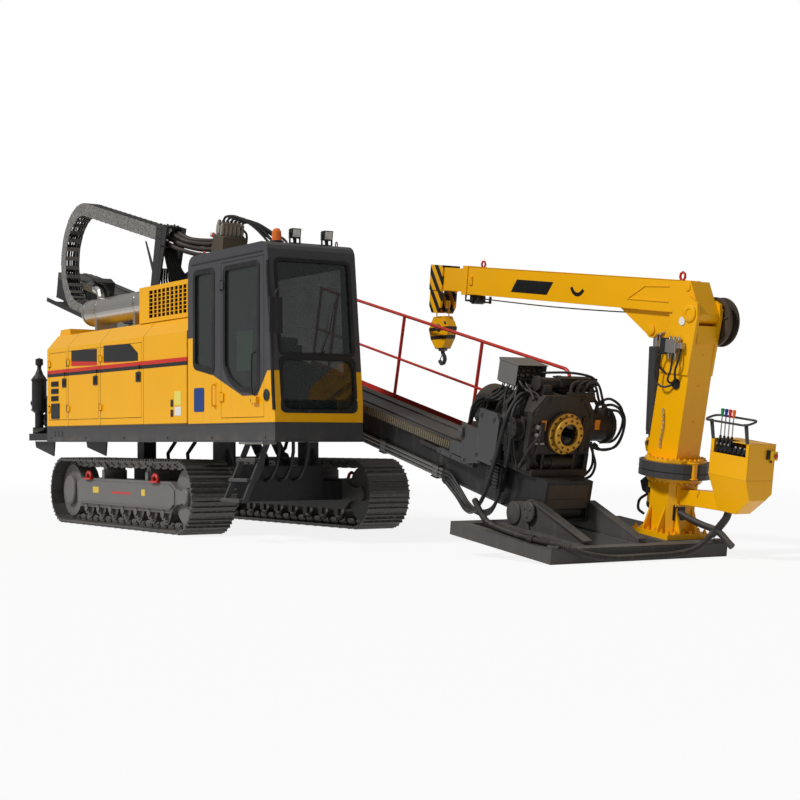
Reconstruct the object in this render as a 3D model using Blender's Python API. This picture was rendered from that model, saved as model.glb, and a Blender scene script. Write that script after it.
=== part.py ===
"""Horizontal directional drill with a tracked carrier, a tilting mast and a loading crane.

Metres, +Z up, +X towards the drilling end. The layout's zero is on the ground below the front
idlers, midway between the tracks; the model's own origin is moved from there to the bottom
centre of its overall box.
"""
import math

import bmesh
import bpy
from mathutils import Matrix, Vector

for leftover in list(bpy.data.objects):
    bpy.data.objects.remove(leftover, do_unlink=True)

# Fits
GAP = 0.0003            # faces that touch
RUNNING_FIT = 0.0001    # between a pin and its bore
DOOR_GAP = 0.006        # round every door

# The model's origin in the layout
FRAME_X = -0.38865
FRAME_Y = 0.0

# Tracks
TRACKS_WIDTH = 3.0      # over the shoes
SHOE_WIDTH = 0.58
TRACK_HEIGHT = 0.89
WHEELBASE = 3.70        # idler to sprocket
IDLER_X = -0.055
SHOE_COUNT = 46
GROUSER = 0.028
SHOE_BAND = 0.06        # shoe plate and chain link together
TRACK_FRAME_WIDTH = 0.36

# Deck
DECK_TOP = 1.31
DECK_DEPTH = 0.21
DECK_PLATE = 0.03
DECK_REAR = -4.32
DECK_FRONT = 2.42       # below the cab
DECK_NOSE = 0.80        # beside the mast
SIDE_Y = -1.50          # outer face of house and cab
DECK_LEFT = 1.00
CAB_INNER_Y = -0.42

# Engine house
HOUSE_FRONT = 0.24
HOUSE_INNER_Y = -0.46
HOUSE_EAVE = 2.39
HOUSE_ROOF = 2.58
HOUSE_WALL = 0.04
DOOR_EDGES = (-4.24, -3.52, -2.38, -1.00)
DOOR_SILL = 1.40

# Cab
CAB_REAR = 0.275
CAB_ROOF = 3.25
CAB_WALL = 0.055
CAB_RAKE = 0.17         # how far the front leans back at the roof
WAIST = 1.86
GLASS = 0.008

# Mast, in its own frame: X forward along the drill axis, Z square to it
MAST_ANGLE = math.radians(13.6)
AXIS_FRONT = Vector((5.25, 0.18, 1.168))   # drill axis at the front vise
BEAM_REAR = -13.10
BEAM_FRONT = 0.14
BEAM_HALF = 0.28
BEAM_TOP = -0.428
BEAM_BOTTOM = -0.836
BEAM_WALL = 0.03
MAST_HINGE = Vector((0.95, 0.18, 1.25))    # on the carrier, layout frame
HINGE_RADIUS = 0.05
HINGE_EYE = 0.085
RACK_PITCH = 0.30

# Walkway and railing on the mast's far side
WALK_REAR = -6.45
WALK_FRONT = -0.98
WALK_FLOOR = -0.628
WALK_OUTER = 0.82       # from the drill axis
TOE_TOP = -0.534
RAIL_TOP = 0.43
RAIL_MIDDLE = -0.096
RAIL_RADIUS = 0.02
POST_PLACES = (-6.02, -4.38, -2.72, -1.08)

# Energy chain
CHAIN_OUTER = 0.85      # radius of the bend, outside
CHAIN_HEIGHT = 0.20
CHAIN_WIDTH = 0.23
CHAIN_LINKS = 52
CHAIN_BEND_X = -11.47
CHAIN_TOP_END = -8.70
CHAIN_LOW_END = -7.20
CHAIN_SIDE = -0.325     # inner face from the drill axis

# Carriage with the rotary head
CARRIAGE_FRONT = -6.95
CARRIAGE_LENGTH = 1.70
CARRIAGE_HALF = 0.40
HEAD_TOP = 0.42
SPINDLE_RADIUS = 0.09
SPINDLE_REACH = 0.32

# Vises at the front of the mast
VISE_REAR = (-1.30, -0.76)
VISE_FRONT = (-0.56, -0.09)
VISE_HALF = 0.40
VISE_TOP = 0.36
BORE_RADIUS = 0.13

# Anchor frame, in its own frame: zero on its pin, tipped nose down
ANCHOR_ANGLE = math.radians(7.2)
ANCHOR_PIN = Vector((5.08, 0.18, 0.43))
ANCHOR_PIN_RADIUS = 0.06
ANCHOR_FRONT = 1.036
ANCHOR_REAR = -0.576
ANCHOR_PLATE = 0.13
ANCHOR_RIGHT = -0.85    # from the drill axis
ANCHOR_LEFT = 1.285
LUG_PLATE = 0.04

# Loading crane, in the anchor frame
CRANE_X = 0.531
CRANE_Y = 0.99          # from the drill axis
FLANGE_HALF = 0.27
FLANGE_PLATE = 0.05
COLUMN_HALF = 0.18
COLUMN_HEIGHT = 0.583   # flange to slewing ring
RING_HEIGHT = 0.147
RING_RADIUS = 0.354

# Crane post, boom and luffing cylinder, from the slewing axis and the ring's top
POST_HALF = 0.145
CHEEK = 0.02
LUFF_PIN = (0.195, 1.44)
LUFF_PIN_RADIUS = 0.04
BOOM_TOP = 1.743
BOOM_DEPTH = 0.31
BOOM_HALF = 0.12
BOOM_REAR = 0.126
BOOM_FRONT = -3.70
BOOM_WALL = 0.012
LUFF_FOOT = (-0.36, 0.13)
LUFF_HEAD = (-0.43, 1.244)
LUFF_BARREL = 0.95
LUFF_RADIUS = 0.0635
LUFF_ROD_RADIUS = 0.035
INNER_REACH = 0.69      # head's front face ahead of the outer boom
INNER_INSIDE = 3.0
HEAD_LENGTH = 0.26
HEAD_BOTTOM = 1.18
SHEAVE_PLACE = 1.30
SHEAVE_RADIUS = 0.12
ROPE_RADIUS = 0.007
BLOCK_SIZE = (0.42, 0.12, 0.38)

# Mast lift cylinders, layout frame
LIFT_FOOT = Vector((-0.80, 0.18, 0.90))
LIFT_HEAD = Vector((-1.815, 0.18, 1.94))
LIFT_SIDE = 0.15        # each cylinder from the middle
LIFT_RADIUS = 0.065
LIFT_ROD_RADIUS = 0.04
LIFT_BARREL = 0.98
LIFT_BARREL_FLOOR = 0.16   # where the barrel's hollow starts
LIFT_STROKE = 0.30
LIFT_PIN_RADIUS = 0.03

# Sides of round pieces
FINEST = 48
FINE = 24
ROUND = 14
THIN = 8


def paint(name, color, roughness, metallic=0.0, alpha=1.0):
    """A Principled material of one colour."""
    material = bpy.data.materials.new(name)
    material.use_nodes = True
    shader = material.node_tree.nodes["Principled BSDF"]
    shader.inputs["Base Color"].default_value = (*color, 1.0)
    shader.inputs["Roughness"].default_value = roughness
    shader.inputs["Metallic"].default_value = metallic
    shader.inputs["Alpha"].default_value = alpha
    return material


YELLOW = paint("yellow_paint", (0.86, 0.42, 0.01), 0.35)
GREY = paint("grey_paint", (0.07, 0.07, 0.075), 0.5)
BLACK = paint("black_parts", (0.02, 0.02, 0.02), 0.5)
STEEL = paint("bare_steel", (0.25, 0.24, 0.22), 0.45, 0.8)
ZINC = paint("zinc_chain", (0.35, 0.34, 0.32), 0.45, 0.7)
SILVER = paint("silver_muffler", (0.6, 0.6, 0.6), 0.35, 0.9)
RED = paint("red_paint", (0.55, 0.03, 0.02), 0.4)
WINDOW = paint("cab_glass", (0.10, 0.13, 0.12), 0.05, 0.0, 0.35)
ORANGE = paint("beacon_lens", (0.9, 0.25, 0.0), 0.2)
VINYL = paint("seat_vinyl", (0.03, 0.03, 0.03), 0.7)


def frame(name, place, parent=None, angle=0.0):
    """An empty that carries pieces, turned about Y by an angle (nose down)."""
    empty = bpy.data.objects.new(name, None)
    empty.location = place
    empty.rotation_euler = (0.0, angle, 0.0)
    empty.parent = parent
    bpy.context.collection.objects.link(empty)
    return empty


def shape(vertices, faces):
    """A loose solid, to be fused or cut."""
    mesh = bpy.data.meshes.new("solid")
    mesh.from_pydata([tuple(v) for v in vertices], [], faces)
    return close(mesh)


def close(mesh):
    """Point a mesh's faces outwards and link it as a loose solid."""
    work = bmesh.new()
    work.from_mesh(mesh)
    bmesh.ops.recalc_face_normals(work, faces=work.faces)
    work.to_mesh(mesh)
    work.free()
    solid = bpy.data.objects.new("solid", mesh)
    bpy.context.collection.objects.link(solid)
    return solid


def box(low, high):
    """A block between two corners."""
    corners = [(x, y, z) for x in (low[0], high[0]) for y in (low[1], high[1]) for z in (low[2], high[2])]
    return shape(corners, [(0, 1, 3, 2), (4, 6, 7, 5), (0, 4, 5, 1), (2, 3, 7, 6), (0, 2, 6, 4), (1, 5, 7, 3)])


PLANES = {"x": lambda u, v, w: (w, u, v), "y": lambda u, v, w: (u, w, v), "z": lambda u, v, w: (u, v, w)}


def plate(outline, axis, low, high, holes=()):
    """An outline in the plane square to an axis, made thick along that axis.

    The outline's points are (y, z) for x, (x, z) for y and (x, y) for z.
    """
    work = bmesh.new()
    place = PLANES[axis]
    for loop in (outline, *holes):
        corners = [work.verts.new(place(u, v, low)) for u, v in loop]
        for first, second in zip(corners, corners[1:] + corners[:1]):
            work.edges.new((first, second))
    bmesh.ops.triangle_fill(work, use_beauty=False, use_dissolve=False, edges=list(work.edges))
    swept = bmesh.ops.extrude_face_region(work, geom=list(work.faces), use_keep_orig=True)
    moved = [item for item in swept["geom"] if isinstance(item, bmesh.types.BMVert)]
    bmesh.ops.translate(work, verts=moved, vec=Vector(place(0.0, 0.0, high - low)))
    mesh = bpy.data.meshes.new("solid")
    work.to_mesh(mesh)
    work.free()
    return close(mesh)


def arc(center, radius, start, end, steps):
    """Points along an arc, its angles in degrees."""
    angles = [math.radians(start + (end - start) * step / steps) for step in range(steps + 1)]
    return [(center[0] + radius * math.cos(angle), center[1] + radius * math.sin(angle)) for angle in angles]


def circle(center, radius, sides=ROUND):
    """A closed ring of points."""
    return arc(center, radius, 0.0, 360.0, sides)[:-1]


def turned(profile, start, axis, sides=ROUND):
    """A profile of (along, radius) points turned about an axis; a closed profile gives a ring."""
    along = Vector(axis).normalized()
    across = along.orthogonal().normalized()
    third = along.cross(across)
    origin = Vector(start)
    vertices = []
    for step in range(sides):
        angle = 2.0 * math.pi * step / sides
        outward = across * math.cos(angle) + third * math.sin(angle)
        vertices += [origin + along * s + outward * r for s, r in profile]
    count = len(profile)
    faces = []
    for step in range(sides):
        here, there = step * count, (step + 1) % sides * count
        faces += [(here + i, here + (i + 1) % count, there + (i + 1) % count, there + i) for i in range(count)]
    return shape(vertices, faces)


def rod(start, end, radius, sides=ROUND):
    """A round bar between two points."""
    start, end = Vector(start), Vector(end)
    along = (end - start).normalized()
    across = along.orthogonal().normalized()
    third = along.cross(across)
    rims = []
    for center in (start, end):
        for step in range(sides):
            angle = 2.0 * math.pi * step / sides
            rims.append(center + (across * math.cos(angle) + third * math.sin(angle)) * radius)
    faces = [(i, (i + 1) % sides, sides + (i + 1) % sides, sides + i) for i in range(sides)]
    faces += [tuple(range(sides)), tuple(range(sides, 2 * sides))]
    return shape(rims, faces)


def bent(points, radius, sides=8):
    """A round bar bent along points."""
    curve = bpy.data.curves.new("route", "CURVE")
    curve.dimensions = "3D"
    curve.bevel_depth = radius
    curve.bevel_resolution = sides // 4 - 1
    curve.use_fill_caps = True
    spline = curve.splines.new("POLY")
    spline.points.add(len(points) - 1)
    for point, place in zip(spline.points, points):
        point.co = (*place, 1.0)
    route = bpy.data.objects.new("route", curve)
    bpy.context.collection.objects.link(route)
    mesh = bpy.data.meshes.new_from_object(route.evaluated_get(bpy.context.evaluated_depsgraph_get()))
    bpy.data.objects.remove(route)
    work = bmesh.new()
    work.from_mesh(mesh)
    bmesh.ops.remove_doubles(work, verts=work.verts, dist=1e-5)
    work.to_mesh(mesh)
    work.free()
    return close(mesh)


def bore(radius, sides=FINE):
    """Radius of a faceted hole that clears a pin of this radius however the pin is turned."""
    return (radius + RUNNING_FIT) / math.cos(math.pi / sides)


def combine(body, others, operation):
    """One exact Boolean of a solid with several others."""
    group = bpy.data.collections.new("operands")
    for other in others:
        group.objects.link(other)
    boolean = body.modifiers.new("boolean", "BOOLEAN")
    boolean.operation = operation
    boolean.operand_type = "COLLECTION"
    boolean.collection = group
    boolean.solver = "EXACT"
    mesh = bpy.data.meshes.new_from_object(body.evaluated_get(bpy.context.evaluated_depsgraph_get()))
    body.modifiers.remove(boolean)
    bpy.data.collections.remove(group)
    for other in others:
        bpy.data.objects.remove(other)
    work = bmesh.new()
    work.from_mesh(mesh)
    bmesh.ops.dissolve_limit(work, angle_limit=0.0005, verts=work.verts, edges=work.edges)
    work.to_mesh(mesh)
    work.free()
    body.data = mesh


def node(name, solids, material, parent, cuts=()):
    """Fuse solids, cut others away and carry the result on a frame."""
    body = solids[0]
    if len(solids) > 1:
        combine(body, solids[1:], "UNION")
    if cuts:
        combine(body, list(cuts), "DIFFERENCE")
    body.name = name
    body.data.name = name
    body.data.materials.clear()
    body.data.materials.append(material)
    body.data.shade_smooth()
    body.data.set_sharp_from_angle(angle=math.radians(32.0))
    body.parent = parent
    return body


origin = frame("ground_origin", (-FRAME_X, -FRAME_Y, 0.0))
mast = frame("mast_frame", AXIS_FRONT, origin, MAST_ANGLE)
anchor = frame("anchor_frame_pin", ANCHOR_PIN, origin, ANCHOR_ANGLE)
crane = frame("slewing_axis", (CRANE_X, CRANE_Y, 0.0), anchor)


# Tracks: one closed loop a side, each shoe with three grousers, round a frame with rollers
track_radius = TRACK_HEIGHT / 2.0 - GROUSER
band_radius = track_radius - SHOE_BAND
track_middle = TRACKS_WIDTH / 2.0 - SHOE_WIDTH / 2.0
wheel_z = TRACK_HEIGHT / 2.0
sprocket_x = IDLER_X - WHEELBASE


def loop_point(distance, radius, offset):
    """Point on the track loop, by distance along it and height above its plates."""
    turn = math.pi * radius
    distance %= 2.0 * (WHEELBASE + turn)
    if distance < WHEELBASE:
        return sprocket_x + distance, wheel_z + radius + offset
    if distance < WHEELBASE + turn:
        angle = math.pi / 2.0 - (distance - WHEELBASE) / radius
        return IDLER_X + (radius + offset) * math.cos(angle), wheel_z + (radius + offset) * math.sin(angle)
    if distance < 2.0 * WHEELBASE + turn:
        return IDLER_X - (distance - WHEELBASE - turn), wheel_z - radius - offset
    angle = -math.pi / 2.0 - (distance - 2.0 * WHEELBASE - turn) / radius
    return sprocket_x + (radius + offset) * math.cos(angle), wheel_z + (radius + offset) * math.sin(angle)


# Share of a shoe's pitch, height
SHOE_PROFILE = (
    (0.02, 0.0), (0.08, GROUSER), (0.16, 0.0),
    (0.42, 0.0), (0.49, GROUSER), (0.56, 0.0),
    (0.82, 0.0), (0.90, GROUSER), (0.96, 0.0),
)


def build_track(side, label):
    """One track loop, cut out along Y."""
    pitch = 2.0 * (WHEELBASE + math.pi * track_radius) / SHOE_COUNT
    outer = [
        loop_point((shoe + share) * pitch, track_radius, height)
        for shoe in range(SHOE_COUNT)
        for share, height in SHOE_PROFILE
    ]
    inner = arc((IDLER_X, wheel_z), band_radius, -90.0, 90.0, 12)
    inner += arc((sprocket_x, wheel_z), band_radius, 90.0, 270.0, 12)
    middle = side * track_middle
    band = plate(outer, "y", middle - SHOE_WIDTH / 2.0, middle + SHOE_WIDTH / 2.0, [inner])
    node(f"track_{label}", [band], STEEL, origin)


ROLLER_RADIUS = 0.10
CARRIER_ROLLER_RADIUS = 0.07
ROLLER_PLACES = [sprocket_x + 0.62 + 0.41 * number for number in range(7)]
CARRIER_PLACES = (sprocket_x + 1.15, sprocket_x + 2.55)
frame_inner = TRACKS_WIDTH / 2.0 - SHOE_WIDTH / 2.0 - TRACK_FRAME_WIDTH / 2.0
wheel_radius = band_radius * math.cos(math.pi / 24.0) - GAP     # inside the loop's facets


def build_track_frame(side, label):
    """Side frame with its rollers, front idler and rear sprocket."""
    low, high = sorted((side * frame_inner, side * (frame_inner + TRACK_FRAME_WIDTH)))
    wheel_low, wheel_high = low + 0.05, high - 0.05
    floor = wheel_z - band_radius + GAP
    ceiling = wheel_z + band_radius - GAP
    beam = [
        (sprocket_x + 0.30, 0.30), (sprocket_x + 0.42, 0.24), (IDLER_X - 0.38, 0.24), (IDLER_X - 0.24, 0.34),
        (IDLER_X + 0.02, 0.38), (IDLER_X + 0.02, 0.50), (IDLER_X - 0.24, 0.54), (IDLER_X - 0.40, 0.62),
        (sprocket_x + 0.45, 0.62), (sprocket_x + 0.28, 0.56),
    ]
    solids = [plate(beam, "y", low, high)]
    for x in ROLLER_PLACES:
        solids.append(rod((x, wheel_low, floor + ROLLER_RADIUS), (x, wheel_high, floor + ROLLER_RADIUS), ROLLER_RADIUS))
        solids.append(box((x - 0.05, low + 0.01, floor + 0.06), (x + 0.05, high - 0.01, 0.30)))
    for x in CARRIER_PLACES:
        top = ceiling - CARRIER_ROLLER_RADIUS
        solids.append(rod((x, wheel_low, top), (x, wheel_high, top), CARRIER_ROLLER_RADIUS, THIN))
        solids.append(box((x - 0.04, low + 0.02, 0.58), (x + 0.04, high - 0.02, top)))
    solids.append(rod((IDLER_X, wheel_low, wheel_z), (IDLER_X, wheel_high, wheel_z), wheel_radius, FINE))
    solids.append(rod((IDLER_X, low, wheel_z), (IDLER_X, high, wheel_z), 0.09))
    solids.append(rod((sprocket_x, wheel_low, wheel_z), (sprocket_x, wheel_high, wheel_z), wheel_radius, FINE))
    solids.append(rod((sprocket_x, low, wheel_z), (sprocket_x, high, wheel_z), 0.20))
    node(f"track_frame_{label}", solids, GREY, origin)


for side, label in ((-1.0, "right"), (1.0, "left")):
    build_track(side, label)
    build_track_frame(side, label)


# Undercarriage: a car body between the track frames, pillars to the deck, feet of the lift cylinders
DECK_BOTTOM = DECK_TOP - DECK_DEPTH
BODY_TOP = 0.80
lug_reach = frame_inner - GAP
FOOT_LUG = 0.025
undercarriage = [
    box((-3.10, -0.72, 0.42), (-0.45, 0.72, BODY_TOP)),
    box((-3.05, -lug_reach, 0.36), (-2.55, lug_reach, 0.60)),
    box((-0.95, -lug_reach, 0.36), (-0.50, lug_reach, 0.60)),
]
for x in (-2.95, -0.62):
    for y in (-0.60, 0.60):
        undercarriage.append(box((x - 0.11, y - 0.09, 0.70), (x + 0.11, y + 0.09, DECK_BOTTOM - GAP)))
lift_middles = (LIFT_FOOT.y - LIFT_SIDE, LIFT_FOOT.y + LIFT_SIDE)
LIFT_EYE = 0.07
LIFT_EYE_HALF = 0.035
for middle in lift_middles:
    for side in (-1.0, 1.0):
        inner_face = middle + side * (LIFT_EYE_HALF + GAP)
        low, high = sorted((inner_face, inner_face + side * FOOT_LUG))
        lug = [(LIFT_FOOT.x - 0.10, BODY_TOP - 0.02), (LIFT_FOOT.x + 0.10, BODY_TOP - 0.02)]
        lug += arc((LIFT_FOOT.x, LIFT_FOOT.z), 0.06, 0.0, 180.0, 8)
        undercarriage.append(plate(lug, "y", low, high))
    undercarriage.append(rod((LIFT_FOOT.x, middle - 0.08, LIFT_FOOT.z), (LIFT_FOOT.x, middle + 0.08, LIFT_FOOT.z), LIFT_PIN_RADIUS, FINE))
node("undercarriage_frame", undercarriage, GREY, origin)


# Deck: a plate on skirts and cross beams, open underneath, with a well for the lift cylinders
SKIRT = 0.04
deck_outline = [
    (DECK_REAR, SIDE_Y), (DECK_FRONT, SIDE_Y), (DECK_FRONT, CAB_INNER_Y), (DECK_NOSE, CAB_INNER_Y),
    (DECK_NOSE, DECK_LEFT), (DECK_REAR, DECK_LEFT),
]
well = ((-2.05, LIFT_FOOT.y - 0.26), (-0.72, LIFT_FOOT.y + 0.26))
deck = [plate(deck_outline, "z", DECK_BOTTOM, DECK_TOP)]
deck_cuts = [box((*well[0], DECK_BOTTOM - 0.1), (*well[1], DECK_TOP + 0.1))]
POCKET_X = ((-4.28, -3.10), (-2.80, -2.15), (-2.00, -0.80), (-0.45, 0.45), (0.90, 2.38))
pocket_rows = ((SIDE_Y + SKIRT, -1.31), (-1.21, -0.72), (0.72, DECK_LEFT - SKIRT))
for low_x, high_x in POCKET_X:
    for low_y, high_y in pocket_rows:
        if high_x < DECK_NOSE or high_y < CAB_INNER_Y:
            deck_cuts.append(box((low_x, low_y, DECK_BOTTOM - 0.1), (high_x, high_y, DECK_TOP - DECK_PLATE)))
HINGE_LUG = 0.035
BEAM_LUG_OUTER = 0.235
hinge_x, hinge_z = MAST_HINGE.x, MAST_HINGE.z
for side in (-1.0, 1.0):
    face = MAST_HINGE.y + side * (BEAM_LUG_OUTER + GAP)
    low, high = sorted((face, face + side * HINGE_LUG))
    lug = [(DECK_NOSE - 0.02, DECK_BOTTOM + 0.01), (hinge_x, DECK_BOTTOM + 0.03)]
    lug += arc((hinge_x, hinge_z), HINGE_EYE, -50.0, 110.0, 10)
    lug += [(DECK_NOSE - 0.02, DECK_TOP - 0.01)]
    deck.append(plate(lug, "y", low, high))
    deck_cuts.append(rod((hinge_x, low - 0.01, hinge_z), (hinge_x, high + 0.01, hinge_z), bore(HINGE_RADIUS), FINE))
node("deck", deck, GREY, origin, deck_cuts)


# Engine house: a shell on the deck with three door openings, chamfered at the roof
seat_z = DECK_TOP + GAP
CHAMFER = 0.16
house_section = [
    (SIDE_Y, seat_z), (HOUSE_INNER_Y, seat_z), (HOUSE_INNER_Y, HOUSE_ROOF - 0.08),
    (HOUSE_INNER_Y - 0.08, HOUSE_ROOF), (SIDE_Y + CHAMFER, HOUSE_ROOF), (SIDE_Y, HOUSE_EAVE),
]
wall = HOUSE_WALL
house_hollow = [
    (SIDE_Y + wall, seat_z - 0.1), (HOUSE_INNER_Y - wall, seat_z - 0.1), (HOUSE_INNER_Y - wall, HOUSE_ROOF - 0.10),
    (HOUSE_INNER_Y - 0.10, HOUSE_ROOF - wall), (SIDE_Y + CHAMFER + 0.02, HOUSE_ROOF - wall), (SIDE_Y + wall, HOUSE_EAVE - 0.02),
]
DOOR_HEAD = 2.33
PILLAR = 0.06
house = [plate(house_section, "x", DECK_REAR, HOUSE_FRONT)]
house_cuts = [plate(house_hollow, "x", DECK_REAR + wall, HOUSE_FRONT - wall)]
door_bays = [(rear, front - PILLAR) for rear, front in zip(DOOR_EDGES, DOOR_EDGES[1:])]
for rear, front in door_bays:
    house_cuts.append(box((rear, SIDE_Y - 0.1, DOOR_SILL), (front, SIDE_Y + wall + 0.05, DOOR_HEAD)))
node("engine_house", house, YELLOW, origin, house_cuts)

DOOR_PANEL = 0.036
KNUCKLE = 0.012
LEAF_START = 0.002      # hinge leaves stay clear of the opening's edge
LATCH_SHARE = 0.66      # of a door's height
LATCH_HALF = 0.04
latch_z = DOOR_SILL + LATCH_SHARE * (DOOR_HEAD - DOOR_SILL)
DOOR_NAMES = ("rear_service_door", "engine_door_rear", "engine_door_front")
for (rear, front), name in zip(door_bays, DOOR_NAMES):
    hinge = frame(f"{name}_hinge", (rear, SIDE_Y - KNUCKLE - GAP, 0.0), origin)
    low_y, high_y = KNUCKLE + GAP, KNUCKLE + GAP + DOOR_PANEL
    width = front - rear
    solids = [box((DOOR_GAP, low_y, DOOR_SILL + DOOR_GAP), (width - DOOR_GAP, high_y, DOOR_HEAD - DOOR_GAP))]
    for z in (DOOR_SILL + 0.15, DOOR_HEAD - 0.15):
        solids.append(rod((0.0, 0.0, z - 0.05), (0.0, 0.0, z + 0.05), KNUCKLE, THIN))
        solids.append(box((LEAF_START, -0.006, z - 0.035), (0.07, low_y + 0.001, z + 0.035)))
    latch_x = width - 0.10
    solids.append(box((latch_x - 0.035, low_y - 0.010, latch_z - LATCH_HALF), (latch_x + 0.035, low_y + 0.001, latch_z + LATCH_HALF)))
    node(name, solids, YELLOW, hinge)

ENGINE_BLOCK = ((-3.30, -1.25, seat_z), (-1.30, -0.65, 2.25))
node("engine_block", [box(*ENGINE_BLOCK)], GREY, origin)

# Exhaust: muffler on two saddles, with an elbow and a cowl at its rear
INTAKE_REAR = -1.45
MUFFLER_CLEARANCE = 0.13  # between the muffler and the intake box
MUFFLER_Y = -1.04
MUFFLER_Z = 2.88
MUFFLER_RADIUS = 0.18
MUFFLER_LENGTH = 2.16
CONE = 0.06
CONE_MOUTH = 0.10
SADDLE_WIDTH = 0.06
TAILPIPE_RADIUS = 0.07
muffler_rear = INTAKE_REAR - MUFFLER_CLEARANCE - MUFFLER_LENGTH
roof_seat = HOUSE_ROOF + GAP
muffler_line = [
    (0.0, 0.0), (0.0, CONE_MOUTH), (CONE, MUFFLER_RADIUS), (MUFFLER_LENGTH - CONE, MUFFLER_RADIUS),
    (MUFFLER_LENGTH, CONE_MOUTH), (MUFFLER_LENGTH, 0.0),
]
exhaust = [turned(muffler_line, (muffler_rear, MUFFLER_Y, MUFFLER_Z), (1.0, 0.0, 0.0), 32)]
for share in (0.2, 0.8):
    x = muffler_rear + share * MUFFLER_LENGTH
    exhaust.append(box((x - SADDLE_WIDTH / 2.0, MUFFLER_Y - 0.15, roof_seat),
                       (x + SADDLE_WIDTH / 2.0, MUFFLER_Y + 0.15, MUFFLER_Z - 0.08)))
tailpipe_y = MUFFLER_Y + 0.05
tailpipe = [(0.18, 0.11), (0.18, 0.21), (0.14, 0.29), (0.06, 0.34), (-0.04, 0.35)]
exhaust.append(bent([(muffler_rear + along, tailpipe_y, MUFFLER_Z + above) for along, above in tailpipe],
                    TAILPIPE_RADIUS, 16))
node("exhaust_muffler", exhaust, SILVER, origin)

# Intake box: louvred on its outer side
INTAKE = ((INTAKE_REAR, -1.36, roof_seat), (0.10, -0.56, 3.03))
LOUVRES = 12
intake_cuts = [box((INTAKE[0][0] + 0.03, INTAKE[0][1] + 0.05, INTAKE[0][2] - 0.1), (INTAKE[1][0] - 0.03, INTAKE[1][1] - 0.03, INTAKE[1][2] - 0.03))]
louvre_pitch = (INTAKE[1][0] - INTAKE[0][0] - 0.16) / LOUVRES
for number in range(LOUVRES):
    x = INTAKE[0][0] + 0.08 + (number + 0.5) * louvre_pitch
    intake_cuts.append(box((x - 0.3 * louvre_pitch, INTAKE[0][1] - 0.1, INTAKE[0][2] + 0.07),
                           (x + 0.3 * louvre_pitch, INTAKE[0][1] + 0.1, INTAKE[1][2] - 0.07)))
node("intake_box", [box(*INTAKE)], YELLOW, origin, intake_cuts)


# Cab: side profile made hollow, windows and door opening cut, panes set in the walls
cab_front = DECK_FRONT
rake_foot = 1.55
roof_bend = 0.14
front_top = cab_front - CAB_RAKE


def cab_profile(inset):
    """Side outline of the cab, set in by a wall."""
    bend = roof_bend - inset * 0.5
    low, high = seat_z + inset, CAB_ROOF - inset
    rear, front, top = CAB_REAR + inset, cab_front - inset, front_top - inset
    return [
        (rear, low), (front, low), (front, rake_foot),
        *arc((top - bend, high - bend), bend, 0.0, 90.0, 4),
        *arc((rear + bend, high - bend), bend, 90.0, 180.0, 4),
    ]


def front_at(z):
    """X of the cab's front face at a height."""
    share = max(0.0, (z - rake_foot) / (CAB_ROOF - roof_bend - rake_foot))
    return cab_front - CAB_RAKE * share


CAB_SIDE = 0.09          # window edge from the cab's corner
SCREEN_BAR = (1.99, 2.04)
SCREEN_TOP = 3.05
SCREEN_FOOT = 1.43
DOOR_OPENING = (1.14, 2.17, 1.365, 3.10)
screen_y = (SIDE_Y + CAB_SIDE, CAB_INNER_Y - CAB_SIDE)
QUARTER = [(0.46, 1.98), (0.93, 1.90), (0.93, 3.03), (0.46, 3.03)]
LEFT_WINDOW = [(0.45, 1.95), (2.10, 1.80), (2.02, 3.03), (0.45, 3.03)]
REAR_WINDOW = (1.95, 3.00)


def slab(low_z, high_z, depth_low, depth_high):
    """Outline of a sheet that follows the cab's front face, between two depths behind it."""
    levels = [z for z in (low_z, rake_foot, high_z) if low_z <= z <= high_z]
    outer = [(front_at(z) - depth_low, z) for z in levels]
    inner = [(front_at(z) - depth_high, z) for z in reversed(levels)]
    return outer + inner


cab_solids = [plate(cab_profile(0.0), "y", SIDE_Y, CAB_INNER_Y)]
cab_cuts = [plate(cab_profile(CAB_WALL), "y", SIDE_Y + CAB_WALL, CAB_INNER_Y - CAB_WALL)]
for low_z, high_z in ((SCREEN_FOOT, SCREEN_BAR[0]), (SCREEN_BAR[1], SCREEN_TOP)):
    cab_cuts.append(plate(slab(low_z, high_z, -0.1, CAB_WALL + 0.1), "y", *screen_y))
cab_cuts.append(plate(QUARTER, "y", SIDE_Y - 0.1, SIDE_Y + CAB_WALL + 0.05))
cab_cuts.append(plate(LEFT_WINDOW, "y", CAB_INNER_Y - CAB_WALL - 0.05, CAB_INNER_Y + 0.1))
cab_cuts.append(box((CAB_REAR - 0.1, screen_y[0], REAR_WINDOW[0]), (CAB_REAR + CAB_WALL + 0.05, screen_y[1], REAR_WINDOW[1])))
cab_cuts.append(box((DOOR_OPENING[0], SIDE_Y - 0.1, DOOR_OPENING[2]), (DOOR_OPENING[1], SIDE_Y + CAB_WALL + 0.05, DOOR_OPENING[3])))
node("cab_shell", cab_solids, GREY, origin, cab_cuts)


def shrunk(outline, amount):
    """A convex outline with its edges moved in by a small amount."""
    count = len(outline)
    center = Vector((sum(x for x, z in outline) / count, sum(z for x, z in outline) / count))
    lines = []
    for i in range(count):
        first, second = Vector(outline[i]), Vector(outline[(i + 1) % count])
        along = (second - first).normalized()
        normal = Vector((-along.y, along.x))
        if normal.dot(center - first) < 0.0:
            normal = -normal
        lines.append((first + normal * amount, along))
    moved = []
    for i in range(count):
        (a, u), (b, v) = lines[i - 1], lines[i]
        reach = (b - a).cross(v) / u.cross(v)
        moved.append(tuple(a + u * reach))
    return moved


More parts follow.
